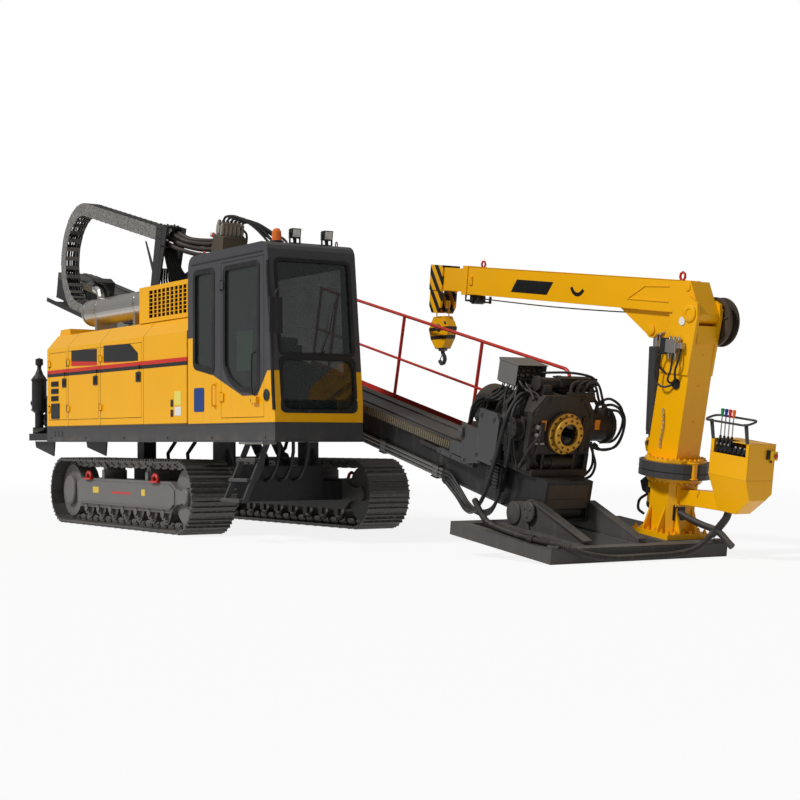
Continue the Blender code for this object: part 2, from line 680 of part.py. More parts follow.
pane_depth = CAB_WALL / 2.0
for label, low_z, high_z in (("lower", SCREEN_FOOT, SCREEN_BAR[0]), ("upper", SCREEN_BAR[1], SCREEN_TOP)):
    outline = slab(low_z + GAP, high_z - GAP, pane_depth - GLASS, pane_depth)
    node(f"windscreen_{label}", [plate(outline, "y", screen_y[0] + GAP, screen_y[1] - GAP)], WINDOW, origin)
right_pane = (SIDE_Y + pane_depth - GLASS, SIDE_Y + pane_depth)
left_pane = (CAB_INNER_Y - pane_depth, CAB_INNER_Y - pane_depth + GLASS)
node("quarter_window", [plate(shrunk(QUARTER, GAP), "y", *right_pane)], WINDOW, origin)
node("left_window", [plate(shrunk(LEFT_WINDOW, GAP), "y", *left_pane)], WINDOW, origin)
rear_x = CAB_REAR + pane_depth
node("rear_window", [box((rear_x - GLASS, screen_y[0] + GAP, REAR_WINDOW[0] + GAP),
                         (rear_x, screen_y[1] - GAP, REAR_WINDOW[1] - GAP))], WINDOW, origin)

# Cab door, hung on its rear edge
CAB_DOOR_THICK = 0.045
door_frame = frame("cab_door_hinge", (DOOR_OPENING[0], SIDE_Y - KNUCKLE - GAP, 0.0), origin)
door_width = DOOR_OPENING[1] - DOOR_OPENING[0]
door_low, door_high = DOOR_OPENING[2] + DOOR_GAP, DOOR_OPENING[3] - DOOR_GAP
face_y = KNUCKLE + GAP
DOOR_WINDOW = [
    (0.09, 1.95), (0.22, 1.80), (0.45, 1.69), (0.85, 1.66), (0.89, 1.72), (0.89, 3.02), (0.09, 3.02),
]
door_solids = [box((DOOR_GAP, face_y, door_low), (door_width - DOOR_GAP, face_y + CAB_DOOR_THICK, door_high))]
for z in (1.60, 2.85):
    door_solids.append(rod((0.0, 0.0, z - 0.06), (0.0, 0.0, z + 0.06), KNUCKLE, THIN))
    door_solids.append(box((LEAF_START, -0.006, z - 0.045), (0.08, face_y + 0.001, z + 0.045)))
door_solids.append(box((0.80, -0.030, 1.52), (0.92, face_y + 0.001, 1.58)))
window_cut = plate(DOOR_WINDOW, "y", face_y - 0.1, face_y + CAB_DOOR_THICK + 0.1)
node("cab_door", door_solids, GREY, door_frame, [window_cut])
pane_y = (face_y + CAB_DOOR_THICK / 2.0 - GLASS / 2.0, face_y + CAB_DOOR_THICK / 2.0 + GLASS / 2.0)
node("cab_door_window", [plate(shrunk(DOOR_WINDOW, GAP), "y", *pane_y)], WINDOW, door_frame)

# Seat and controls on the cab floor
cab_floor = seat_z + CAB_WALL + GAP
SEAT_X = 1.05
SEAT_Y = -0.96
node("operator_seat", [
    box((SEAT_X - 0.18, SEAT_Y - 0.18, cab_floor), (SEAT_X + 0.18, SEAT_Y + 0.18, cab_floor + 0.30)),
    box((SEAT_X - 0.24, SEAT_Y - 0.25, cab_floor + 0.28), (SEAT_X + 0.28, SEAT_Y + 0.25, cab_floor + 0.42)),
    plate([(SEAT_X - 0.26, cab_floor + 0.36), (SEAT_X - 0.12, cab_floor + 0.36), (SEAT_X - 0.22, cab_floor + 1.12),
           (SEAT_X - 0.34, cab_floor + 1.12)], "y", SEAT_Y - 0.24, SEAT_Y + 0.24),
], VINYL, origin)
consoles = [box((SEAT_X - 0.30, SEAT_Y - 0.36, cab_floor), (SEAT_X + 0.48, SEAT_Y + 0.36, cab_floor + 0.05))]
console_cuts = [box((SEAT_X - 0.20, SEAT_Y - 0.20, cab_floor - 0.1), (SEAT_X + 0.20, SEAT_Y + 0.20, cab_floor + 0.1))]
for side in (-1.0, 1.0):
    low, high = sorted((SEAT_Y + side * 0.27, SEAT_Y + side * 0.36))
    consoles.append(plate([(SEAT_X - 0.25, cab_floor), (SEAT_X + 0.20, cab_floor), (SEAT_X + 0.42, cab_floor + 0.55),
                           (SEAT_X + 0.40, cab_floor + 0.62), (SEAT_X - 0.25, cab_floor + 0.58)], "y", low, high))
    middle = (low + high) / 2.0
    consoles.append(rod((SEAT_X + 0.34, middle, cab_floor + 0.55), (SEAT_X + 0.36, middle, cab_floor + 0.78), 0.016, THIN))
    consoles.append(rod((SEAT_X + 0.357, middle, cab_floor + 0.74), (SEAT_X + 0.366, middle, cab_floor + 0.83), 0.028, THIN))
node("cab_controls", consoles, BLACK, origin, console_cuts)

# Roof: beacon and two work lamps; mirror at the front corner
roof_top = CAB_ROOF + GAP
BEACON = (2.0, -1.257)
node("roof_beacon", [turned([(0.0, 0.0), (0.0, 0.07), (0.03, 0.07), (0.035, 0.055), (0.13, 0.05), (0.16, 0.03), (0.165, 0.0)],
                            (*BEACON, roof_top), (0.0, 0.0, 1.0), ROUND)], ORANGE, origin)
LAMP_X = 2.02
LAMP_PLACES = (-1.044, -0.644)
lamps = [box((LAMP_X - 0.03, LAMP_PLACES[0] - 0.05, roof_top), (LAMP_X + 0.03, LAMP_PLACES[1] + 0.05, roof_top + 0.015))]
for y in LAMP_PLACES:
    lamps.append(box((LAMP_X - 0.012, y - 0.015, roof_top), (LAMP_X + 0.012, y + 0.015, roof_top + 0.08)))
    lamps.append(plate([(LAMP_X - 0.04, roof_top + 0.07), (LAMP_X + 0.03, roof_top + 0.06), (LAMP_X + 0.05, roof_top + 0.17),
                        (LAMP_X - 0.03, roof_top + 0.17)], "y", y - 0.055, y + 0.055))
node("work_lamps", lamps, BLACK, origin)
MIRROR_X = (2.50, 2.53)
mirror = [box((MIRROR_X[0], -1.62, 2.24), (MIRROR_X[1], -1.47, 2.62))]
for z in (2.30, 2.56):
    mirror.append(box((front_at(z - 0.012) + GAP, -1.475, z - 0.012), (MIRROR_X[0] + 0.01, -1.455, z + 0.012)))
node("side_mirror", mirror, BLACK, origin)

# Ladder below the deck's skirt, leaning out
LADDER_X = (1.35, 1.80)
LADDER_HEAD = (-1.26, DECK_BOTTOM - GAP)
LADDER_FOOT = (-1.55, 0.437)
ladder = []
stile = [(LADDER_HEAD[0] - 0.03, LADDER_HEAD[1]), (LADDER_HEAD[0] + 0.03, LADDER_HEAD[1]),
         (LADDER_FOOT[0] + 0.03, LADDER_FOOT[1]), (LADDER_FOOT[0] - 0.03, LADDER_FOOT[1])]
for x in LADDER_X:
    ladder.append(plate(stile, "x", x - 0.02, x + 0.02))
RUNGS = 3
for number in range(RUNGS):
    share = (number + 0.9) / RUNGS
    y = LADDER_HEAD[0] + (LADDER_FOOT[0] - LADDER_HEAD[0]) * share
    z = LADDER_HEAD[1] + (LADDER_FOOT[1] - LADDER_HEAD[1]) * share
    ladder.append(box((LADDER_X[0], y - 0.07, z - 0.015), (LADDER_X[1], y + 0.05, z + 0.015)))
node("cab_ladder", ladder, GREY, origin)

# Mud pump behind the house, with a pulsation damper and a gauge
pump_front = DECK_REAR - GAP
pump = [
    box((-5.16, -1.46, 1.12), (pump_front, -0.50, 1.22)),
    box((-4.95, -1.30, 1.20), (-4.40, -0.60, 1.72)),
    plate([(-4.95, 1.20), (-4.40, 1.20), (-4.40, 1.80), (-4.55, 1.92), (-4.80, 1.92), (-4.95, 1.80)], "y", -1.05, -0.60),
    turned([(0.0, 0.0), (0.0, 0.09), (0.10, 0.09), (0.10, 0.06), (0.30, 0.06), (0.34, 0.105), (0.80, 0.105), (0.86, 0.06),
            (0.94, 0.03), (0.98, 0.03), (1.00, 0.055), (1.08, 0.055), (1.10, 0.0)],
           (-5.02, -1.36, 1.21), (0.0, 0.0, 1.0), ROUND),
]
for y in (-1.20, -0.95, -0.70):
    pump.append(rod((-5.08, y, 1.42), (-4.90, y, 1.42), 0.09, THIN))
node("mud_pump", pump, BLACK, origin)

# Hydraulic tank on the deck's left rear
TANK = ((-4.20, 0.68, seat_z), (-1.70, 0.97, 2.05))
tank_top = TANK[1][2]
tank = [
    box(*TANK),
    rod((-3.90, 0.82, tank_top - 0.05), (-3.90, 0.82, tank_top + 0.08), 0.07, THIN),
    rod((-2.10, 0.82, tank_top - 0.05), (-2.10, 0.82, tank_top + 0.05), 0.05, THIN),
]
node("hydraulic_tank", tank, YELLOW, origin)


# Mast lift cylinders: two barrels on one foot pin axis, two rods on one head pin
lift_run = Vector((LIFT_HEAD.x - LIFT_FOOT.x, LIFT_HEAD.z - LIFT_FOOT.z))
lift_length = lift_run.length
lift_angle = math.atan2(lift_run.x, lift_run.y)      # local Z along the cylinders
lift = frame("lift_foot_pin", LIFT_FOOT, origin, lift_angle)
ROD_EYE_HALF = LIFT_ROD_RADIUS + 0.002
rod_start = LIFT_BARREL_FLOOR + LIFT_STROKE + 0.01   # clear of the floor when drawn in
barrels = [box((-0.03, -LIFT_SIDE, 0.40), (0.03, LIFT_SIDE, 0.46))]
barrel_cuts = []
rods = [rod((0.0, -LIFT_SIDE, lift_length), (0.0, LIFT_SIDE, lift_length), LIFT_PIN_RADIUS)]
for middle in (-LIFT_SIDE, LIFT_SIDE):
    barrels.append(rod((0.0, middle, 0.10), (0.0, middle, LIFT_BARREL), LIFT_RADIUS))
    barrels.append(rod((0.0, middle - LIFT_EYE_HALF, 0.0), (0.0, middle + LIFT_EYE_HALF, 0.0), LIFT_EYE))
    barrels.append(box((-0.05, middle - LIFT_EYE_HALF, 0.0), (0.05, middle + LIFT_EYE_HALF, 0.12)))
    barrel_cuts.append(rod((0.0, middle - 0.1, 0.0), (0.0, middle + 0.1, 0.0), bore(LIFT_PIN_RADIUS), FINE))
    barrel_cuts.append(rod((0.0, middle, LIFT_BARREL_FLOOR), (0.0, middle, LIFT_BARREL + 0.1), LIFT_ROD_RADIUS + GAP))
    rods.append(rod((0.0, middle, rod_start), (0.0, middle, lift_length), LIFT_ROD_RADIUS))
    rods.append(rod((0.0, middle - ROD_EYE_HALF, lift_length), (0.0, middle + ROD_EYE_HALF, lift_length), 0.06))
node("lift_barrels", barrels, GREY, lift, barrel_cuts)
node("lift_rods", rods, STEEL, lift)


# Mast beam: a box girder, open at its ends, with eyes for hinge, lift cylinders and anchor pin
def in_mast(point):
    """Place along and above the drill axis of a point in the layout."""
    offset = Vector(point) - AXIS_FRONT
    along = offset.x * math.cos(MAST_ANGLE) - offset.z * math.sin(MAST_ANGLE)
    above = offset.x * math.sin(MAST_ANGLE) + offset.z * math.cos(MAST_ANGLE)
    return along, above


pin_x, pin_z = in_mast(ANCHOR_PIN)
beam_solids = [box((BEAM_REAR, -BEAM_HALF, BEAM_BOTTOM), (BEAM_FRONT, BEAM_HALF, BEAM_TOP))]
inside = BEAM_HALF - BEAM_WALL
beam_cuts = [box((BEAM_REAR - 0.1, -inside, BEAM_BOTTOM + BEAM_WALL), (BEAM_FRONT + 0.1, inside, BEAM_TOP - BEAM_WALL))]
beam_cuts.append(rod((pin_x, -BEAM_HALF - 0.1, pin_z), (pin_x, BEAM_HALF + 0.1, pin_z), bore(ANCHOR_PIN_RADIUS), FINE))
eye_x, eye_z = in_mast(MAST_HINGE)
for side in (-1.0, 1.0):
    low, high = sorted((side * (BEAM_LUG_OUTER - 0.04), side * BEAM_LUG_OUTER))
    lug = [(eye_x - 0.16, BEAM_BOTTOM + 0.01)] + arc((eye_x, eye_z), HINGE_EYE, 180.0, 360.0, 10) + [(eye_x + 0.16, BEAM_BOTTOM + 0.01)]
    beam_solids.append(plate(lug, "y", low, high))
hinge_reach = BEAM_LUG_OUTER + HINGE_LUG + 0.02
beam_solids.append(rod((eye_x, -hinge_reach, eye_z), (eye_x, hinge_reach, eye_z), HINGE_RADIUS, FINE))
head_x, head_z = in_mast(LIFT_HEAD)
for side in (-1.0, 1.0):
    face = side * (LIFT_SIDE + ROD_EYE_HALF + GAP)
    low, high = sorted((face, face + side * 0.03))
    lug = [(head_x - 0.14, BEAM_BOTTOM + 0.01), (head_x - 0.07, head_z - 0.06), (head_x + 0.07, head_z - 0.06), (head_x + 0.14, BEAM_BOTTOM + 0.01)]
    beam_solids.append(plate(lug, "y", low, high))

# Racks along both upper edges, teeth outwards
RACK_HEIGHT = 0.08
RACK_DEPTH = 0.032
RACK_TOOTH = 0.014
RACK_ENDS = (BEAM_REAR + 0.15, -1.45)
rack_teeth = int((RACK_ENDS[1] - RACK_ENDS[0]) / RACK_PITCH)
for side in (-1.0, 1.0):
    face = side * (BEAM_HALF - 0.001)
    root = face + side * (RACK_DEPTH - RACK_TOOTH)
    tip = face + side * RACK_DEPTH
    outline = [(RACK_ENDS[1], face), (RACK_ENDS[0], face)]
    for number in range(rack_teeth):
        x = RACK_ENDS[0] + number * RACK_PITCH
        outline += [(x, root), (x + 0.25 * RACK_PITCH, root), (x + 0.38 * RACK_PITCH, tip), (x + 0.87 * RACK_PITCH, tip)]
    outline.append((RACK_ENDS[1], root))
    beam_solids.append(plate(outline, "z", BEAM_TOP - RACK_HEIGHT, BEAM_TOP - 0.002))

# Tray for the energy chain, on the beam's right side
chain_face = CHAIN_SIDE
chain_far = CHAIN_SIDE - CHAIN_WIDTH
chain_inner = CHAIN_OUTER - CHAIN_HEIGHT
TRAY_PLATE = 0.006
TRAY_LIP = 0.06
TRAY_ENDS = (-12.75, -7.30)
tray_top = -CHAIN_OUTER - GAP
tray_foot = -BEAM_HALF + 0.001
beam_solids += [
    box((TRAY_ENDS[0], chain_far - TRAY_PLATE, tray_top - TRAY_PLATE), (TRAY_ENDS[1], tray_foot, tray_top)),
    box((TRAY_ENDS[0], chain_far - 2.0 * TRAY_PLATE, tray_top - TRAY_PLATE), (TRAY_ENDS[1], chain_far - TRAY_PLATE, tray_top + TRAY_LIP)),
    box((TRAY_ENDS[0], tray_foot - 2.0 * TRAY_PLATE, tray_top - TRAY_PLATE), (TRAY_ENDS[1], tray_foot, BEAM_BOTTOM + 0.12)),
]
node("mast_beam", beam_solids, GREY, mast, beam_cuts)

# Walkway: floor on brackets, with a toe plate, and the railing on its outer edge
walk_inner = BEAM_HALF + GAP
walk_seat = WALK_FLOOR - 0.03
walkway = [
    box((WALK_REAR, walk_inner + 0.04, walk_seat), (WALK_FRONT, WALK_OUTER, WALK_FLOOR)),
    box((WALK_REAR, WALK_OUTER - 0.012, walk_seat), (WALK_FRONT, WALK_OUTER, TOE_TOP)),
]
for x in POST_PLACES:
    bracket = [(walk_inner, BEAM_BOTTOM + 0.03), (walk_inner + 0.04, BEAM_BOTTOM + 0.03), (WALK_OUTER - 0.05, walk_seat - 0.03),
               (WALK_OUTER - 0.05, walk_seat + 0.01), (walk_inner, walk_seat + 0.01)]
    walkway.append(plate(bracket, "x", x - 0.02, x + 0.02))
node("walkway", walkway, GREY, mast)
rail_y = WALK_OUTER - 0.012 - RAIL_RADIUS - GAP
bend = 0.12
top_run = [(WALK_REAR, RAIL_TOP), *reversed(arc((POST_PLACES[-1] - bend, RAIL_TOP - bend), bend, 0.0, 90.0, 6)), (POST_PLACES[-1], RAIL_MIDDLE)]
railing = [bent([(x, rail_y, z) for x, z in top_run], RAIL_RADIUS)]
railing.append(rod((WALK_REAR, rail_y, RAIL_MIDDLE), (POST_PLACES[-1], rail_y, RAIL_MIDDLE), RAIL_RADIUS * 0.8, 8))
railing.append(rod((WALK_REAR, rail_y, WALK_FLOOR + GAP), (WALK_REAR, rail_y, RAIL_TOP + RAIL_RADIUS), RAIL_RADIUS, 8))
for x in POST_PLACES:
    head = RAIL_MIDDLE + 0.02 if x == POST_PLACES[-1] else RAIL_TOP
    railing.append(rod((x, rail_y, WALK_FLOOR + GAP), (x, rail_y, head), RAIL_RADIUS, 8))
node("railing", railing, RED, mast)

# Energy chain: an extruded run of links round its bend
NOTCH = 0.02


def chain_point(distance, radius):
    """Point of the chain by distance from its upper end and by radius of the run."""
    top_run_length = CHAIN_TOP_END - CHAIN_BEND_X
    turn = math.pi * CHAIN_OUTER
    if distance < top_run_length:
        return CHAIN_TOP_END - distance, radius
    if distance < top_run_length + turn:
        angle = math.pi / 2.0 + (distance - top_run_length) / CHAIN_OUTER
        return CHAIN_BEND_X + radius * math.cos(angle), radius * math.sin(angle)
    return CHAIN_BEND_X + distance - top_run_length - turn, -radius


chain_length = CHAIN_TOP_END - CHAIN_BEND_X + math.pi * CHAIN_OUTER + CHAIN_LOW_END - CHAIN_BEND_X
link = chain_length / CHAIN_LINKS
chain_outline = [chain_point(0.0, CHAIN_OUTER)]
for number in range(CHAIN_LINKS - 1):
    chain_outline += [chain_point((number + 0.90) * link, CHAIN_OUTER), chain_point((number + 0.97) * link, CHAIN_OUTER - NOTCH),
                      chain_point((number + 1.04) * link, CHAIN_OUTER)]
chain_outline.append(chain_point(chain_length, CHAIN_OUTER))
chain_outline += [chain_point(number * link, chain_inner) for number in range(CHAIN_LINKS, -1, -1)]
node("energy_chain", [plate(chain_outline, "y", chain_far, chain_face)], ZINC, mast)

# Hydraulic tubes on the girder's lower edge, in clamps
TUBE_RADIUS = 0.016
TUBE_ENDS = (-3.90, -1.55)
TUBE_LEVELS = (-0.745, -0.785, -0.825)
tube_y = -BEAM_HALF - 0.035
tubes = [rod((TUBE_ENDS[0], tube_y, z), (TUBE_ENDS[1], tube_y, z), TUBE_RADIUS, 8) for z in TUBE_LEVELS]
for x in (-3.80, -2.75, -1.68):
    tubes.append(box((x - 0.05, -BEAM_HALF - 0.055, -0.85), (x + 0.05, -BEAM_HALF - GAP, -0.72)))
node("mast_tubes", tubes, BLACK, mast)

# Clamp vise and break-out vise round the drill axis, on a common base
VISE_BASE_TOP = -0.36
base_low = BEAM_TOP + GAP
vise_rear = [
    box((VISE_REAR[0] - 0.08, -VISE_HALF + 0.06, base_low), (VISE_FRONT[1] + 0.04, VISE_HALF - 0.06, VISE_BASE_TOP)),
    plate([(-VISE_HALF, -0.20), (-0.28, VISE_BASE_TOP - 0.02), (0.28, VISE_BASE_TOP - 0.02), (VISE_HALF, -0.20), (VISE_HALF, 0.20), (0.26, VISE_TOP),
           (-0.26, VISE_TOP), (-VISE_HALF, 0.20)], "x", *VISE_FRONT),
    rod((-0.32, -VISE_HALF - 0.14, 0.0), (-0.32, VISE_HALF + 0.14, 0.0), 0.10),
    rod((-0.32, -0.24, VISE_TOP + 0.07), (-0.32, 0.42, VISE_TOP + 0.07), 0.075),
    box((-0.42, 0.28, VISE_TOP - 0.02), (-0.22, 0.38, VISE_TOP + 0.07)),
    box((-0.42, -0.22, VISE_TOP - 0.02), (-0.22, -0.12, VISE_TOP + 0.07)),
    turned([(0.0, 0.0), (0.0, 0.225), (0.07, 0.225), (0.07, 0.19), (0.10, 0.19), (0.10, 0.0)], (VISE_FRONT[1] - 0.01, 0.0, 0.0), (1.0, 0.0, 0.0), FINE),
]
for y in (-VISE_HALF - 0.02, VISE_HALF - 0.02):
    side_plate = [(VISE_REAR[0] - 0.14, -0.52), (VISE_FRONT[0] + 0.02, -0.52), (VISE_FRONT[0] + 0.02, -0.05), (VISE_REAR[0] + 0.10, 0.02), (VISE_REAR[0] - 0.14, -0.12)]
    vise_rear.append(plate(side_plate, "y", y, y + 0.04))
    vise_rear.append(box((VISE_REAR[0] - 0.05, min(y, 0.0) if y < 0.0 else 0.30, -0.40), (VISE_FRONT[0], -0.30 if y < 0.0 else y + 0.02, VISE_BASE_TOP)))
VALVE_LOW = 0.47
VALVE_X = (-0.80, -0.34)
VALVE_Y = (-0.34, 0.0)
vise_rear.append(box((-0.50, -0.24, VISE_TOP - 0.01), (-0.38, -0.10, VALVE_LOW + 0.02)))
vise_rear.append(plate([(VALVE_X[0], VALVE_LOW), (VALVE_X[1], VALVE_LOW), (VALVE_X[1], 0.64), (VALVE_X[0], 0.70)], "y", *VALVE_Y))
BREAK_HALF = 0.30
for x in (VISE_REAR[0] + 0.04, VISE_REAR[1] - 0.16):
    vise_rear.append(box((x, -0.25, VISE_BASE_TOP - 0.01), (x + 0.12, 0.25, -0.16)))
cradle_run = (VISE_REAR[0] - 0.01, 0.0, 0.0), (VISE_REAR[1] + 0.01, 0.0, 0.0)
vise_cuts = [
    rod((VISE_FRONT[0] - 0.1, 0.0, 0.0), (0.2, 0.0, 0.0), BORE_RADIUS, FINE),
    rod(*cradle_run, bore(BREAK_HALF, FINEST), FINEST),
]
node("clamp_vise", vise_rear, GREY, mast, vise_cuts)
breakout = [
    turned([(0.0, 0.0), (0.0, BREAK_HALF), (VISE_REAR[1] - VISE_REAR[0], BREAK_HALF), (VISE_REAR[1] - VISE_REAR[0], 0.0)], (VISE_REAR[0], 0.0, 0.0), (1.0, 0.0, 0.0), FINEST),
    rod((-1.03, -0.35, 0.10), (-1.03, 0.35, 0.10), 0.09),
]
break_bore = rod((VISE_REAR[0] - 0.1, 0.0, 0.0), (VISE_REAR[1] + 0.1, 0.0, 0.0), BORE_RADIUS, FINE)
node("breakout_vise", breakout, BLACK, mast, [break_bore])

# Carriage: saddle on the beam, gear case, drive motors and the chain's portal
carriage_rear = CARRIAGE_FRONT - CARRIAGE_LENGTH
saddle = [
    box((carriage_rear, -CARRIAGE_HALF, BEAM_TOP + GAP), (CARRIAGE_FRONT, CARRIAGE_HALF, -0.32)),
    plate([(-0.34, -0.33), (0.34, -0.33), (0.34, 0.20), (0.22, HEAD_TOP), (-0.22, HEAD_TOP), (-0.34, 0.20)], "x", CARRIAGE_FRONT - 1.0, CARRIAGE_FRONT - 0.05),
    box((carriage_rear + 0.10, -0.26, -0.33), (CARRIAGE_FRONT - 0.9, 0.26, -0.15)),
]
for side in (-1.0, 1.0):
    low, high = sorted((side * (CARRIAGE_HALF - 0.06), side * CARRIAGE_HALF))
    saddle.append(box((carriage_rear + 0.1, low, -0.58), (CARRIAGE_FRONT - 0.1, high, -0.32)))
head_cut = rod((CARRIAGE_FRONT - 0.45, 0.0, 0.0), (CARRIAGE_FRONT + 0.1, 0.0, 0.0), bore(SPINDLE_RADIUS), FINE)
portal_x = CHAIN_TOP_END
PORTAL_PLATE = 0.022
portal_outer = chain_far - 0.012 - PORTAL_PLATE
portal_inner = chain_face + 0.012 + PORTAL_PLATE
portal_low = -0.10
portal_rear = portal_x - 0.06
portal_front = portal_x + 0.14
saddle += [
    box((portal_rear, portal_outer, CHAIN_OUTER + GAP), (portal_front, portal_inner, CHAIN_OUTER + 0.03)),
    box((portal_rear, portal_outer, portal_low), (portal_front, portal_outer + PORTAL_PLATE, CHAIN_OUTER + 0.03)),
    box((portal_rear, portal_inner - PORTAL_PLATE, portal_low), (portal_front, portal_inner, CHAIN_OUTER + 0.03)),
    box((portal_rear, portal_outer, portal_low), (portal_front, portal_inner, portal_low + 0.05)),
    box((portal_rear, portal_inner - 0.06, -0.33), (portal_front + 0.30, portal_inner, portal_low + 0.05)),
]
node("carriage", saddle, GREY, mast, [head_cut])
motor_seat = CARRIAGE_FRONT - 1.0 - GAP
motors = []
for y in (-0.17, 0.17):
    for z in (-0.02, 0.22):
        motors.append(rod((motor_seat, y, z), (motor_seat - 0.42, y, z), 0.105))
motors.append(box((motor_seat - 0.30, -0.20, -0.05), (motor_seat - 0.10, 0.20, 0.25)))
node("rotary_motors", motors, BLACK, mast)
STACK_X = -7.70
stack = [box((STACK_X - 0.16, -0.20, HEAD_TOP + GAP), (STACK_X + 0.30, 0.20, HEAD_TOP + 0.10))]
for x, y in ((STACK_X, -0.09), (STACK_X + 0.14, 0.09)):
    ribs = [(0.0, 0.0), (0.0, 0.09)]
    for number in range(4):
        z = 0.10 + number * 0.125
        ribs += [(z, 0.09), (z, 0.115), (z + 0.07, 0.115), (z + 0.07, 0.09)]
    ribs += [(0.64, 0.09), (0.66, 0.05), (0.66, 0.0)]
    stack.append(turned(ribs, (x, y, HEAD_TOP + 0.05), (0.0, 0.0, 1.0), 10))
node("thrust_motors", stack, STEEL, mast)
spindle = [turned([(-0.40, 0.0), (-0.40, SPINDLE_RADIUS), (0.10, SPINDLE_RADIUS), (0.12, 0.115), (SPINDLE_REACH - 0.08, 0.115),
                   (SPINDLE_REACH, 0.07), (SPINDLE_REACH, 0.0)], (CARRIAGE_FRONT, 0.0, 0.0), (1.0, 0.0, 0.0), FINE)]
node("drive_spindle", spindle, STEEL, mast)


# Anchor frame: a slab with windows, two lugs up to its pin and gussets along it
nose_drop = ANCHOR_PIN.z / math.cos(ANCHOR_ANGLE) - ANCHOR_FRONT * math.tan(ANCHOR_ANGLE)
anchor_bottom = -nose_drop
anchor_top = anchor_bottom + ANCHOR_PLATE
WINDOW_REAR = ANCHOR_REAR + 0.15
WINDOW_FRONT = ANCHOR_FRONT - 0.16
WINDOW_ROWS = ((-0.71, -0.42), (-0.26, 0.26), (0.42, 0.64))
anchor_solids = [box((ANCHOR_REAR, ANCHOR_RIGHT, anchor_bottom), (ANCHOR_FRONT, ANCHOR_LEFT, anchor_top))]
anchor_cuts = []
for low, high in WINDOW_ROWS:
    anchor_cuts.append(box((WINDOW_REAR, low, anchor_bottom - 0.1), (WINDOW_FRONT, high, anchor_top + 0.1)))
LUG_RADIUS = 0.12
for side in (-1.0, 1.0):
    face = side * (BEAM_HALF + 0.004)
    low, high = sorted((face, face + side * LUG_PLATE))
    lug = [(-0.30, anchor_top - 0.01), (0.90, anchor_top - 0.01), (0.90, anchor_top + 0.04)]
    lug += arc((0.0, 0.0), LUG_RADIUS, 60.0, 190.0, 8)
    anchor_solids.append(plate(lug, "y", low, high))
    cap = face + side * (LUG_PLATE + 0.02)
    anchor_solids.append(rod((0.0, face + side * 0.01, 0.0), (0.0, cap, 0.0), 0.09, ROUND))
pin_reach = BEAM_HALF + 0.02
anchor_solids.append(rod((0.0, -pin_reach, 0.0), (0.0, pin_reach, 0.0), ANCHOR_PIN_RADIUS, FINE))
node("anchor_frame", anchor_solids, STEEL, anchor, anchor_cuts)

# Crane column: bolted flange, square column and gussets
flange_seat = anchor_top + GAP
column_base = flange_seat + FLANGE_PLATE
ring_seat = flange_seat + COLUMN_HEIGHT
half = COLUMN_HALF
column = [
    box((-FLANGE_HALF, -FLANGE_HALF, flange_seat), (FLANGE_HALF, FLANGE_HALF, column_base)),
    plate([(-half, -half + 0.05), (-half + 0.05, -half), (half - 0.05, -half), (half, -half + 0.05), (half, half - 0.05), (half - 0.05, half),
           (-half + 0.05, half), (-half, half - 0.05)], "z", column_base - 0.01, ring_seat),
    turned([(0.0, 0.0), (0.0, 0.27), (0.04, 0.27), (0.04, 0.0)], (0.0, 0.0, ring_seat - 0.04), (0.0, 0.0, 1.0), ROUND),
]
GUSSET_TOP = 0.30
GUSSET_HALF = 0.012
for place in (-0.10, 0.10):
    for side in (-1.0, 1.0):
        foot, root = side * (FLANGE_HALF - 0.01), side * (half - 0.02)
        web = [(foot, column_base - 0.01), (foot, column_base + 0.03), (root, column_base + GUSSET_TOP), (root, column_base - 0.01)]
        column.append(plate(web, "y", place - GUSSET_HALF, place + GUSSET_HALF))
        column.append(plate(web, "x", place - GUSSET_HALF, place + GUSSET_HALF))
column.append(rod((-0.27, 0.0, ring_seat - 0.30), (-0.27, 0.0, ring_seat - 0.002), 0.07))
column.append(box((-0.30, -0.05, ring_seat - 0.06), (-0.15, 0.05, ring_seat - 0.02)))
node("crane_column", column, YELLOW, crane)
ring_top = ring_seat + GAP + RING_HEIGHT
node("slewing_ring", [turned([(0.0, 0.20), (0.0, RING_RADIUS), (0.055, RING_RADIUS), (0.055, RING_RADIUS - 0.012), (0.065, RING_RADIUS - 0.012),
                              (0.065, RING_RADIUS), (RING_HEIGHT, RING_RADIUS), (RING_HEIGHT, 0.20)],
                             (0.0, 0.0, ring_seat + GAP), (0.0, 0.0, 1.0), FINE)], GREY, crane)

# Control console on an arm ahead of the column
ARM_HALF = 0.09
CONSOLE_HALF = 0.17
console_x = half + GAP
CONSOLE_REAR = 0.69
CONSOLE_FRONT = 1.204
CONSOLE_TOP = 0.863
CONSOLE_SIDE_LOW = 0.525
ARM_LOW = 0.157
ARM_TOP = 0.306
console = [
    plate([(console_x, ARM_LOW), (0.95, ARM_LOW), (1.12, ARM_LOW + 0.06), (1.12, 0.55), (CONSOLE_REAR + 0.02, 0.55), (0.58, ARM_TOP), (console_x, ARM_TOP)],
          "y", -ARM_HALF, ARM_HALF),
    box((console_x, -0.13, ARM_LOW - 0.02), (console_x + 0.02, 0.13, ARM_TOP + 0.06)),
    plate([(CONSOLE_REAR, CONSOLE_SIDE_LOW), (CONSOLE_FRONT - 0.10, 0.36), (CONSOLE_FRONT, 0.40), (CONSOLE_FRONT, CONSOLE_TOP - 0.06),
           (CONSOLE_FRONT - 0.03, CONSOLE_TOP), (CONSOLE_REAR, CONSOLE_TOP)], "y", -CONSOLE_HALF, CONSOLE_HALF),
]
console_cuts = [box((CONSOLE_REAR + 0.03, -CONSOLE_HALF + 0.02, CONSOLE_TOP - 0.13), (CONSOLE_FRONT - 0.16, CONSOLE_HALF - 0.02, CONSOLE_TOP + 0.1))]
node("crane_console", console, YELLOW, crane, console_cuts)
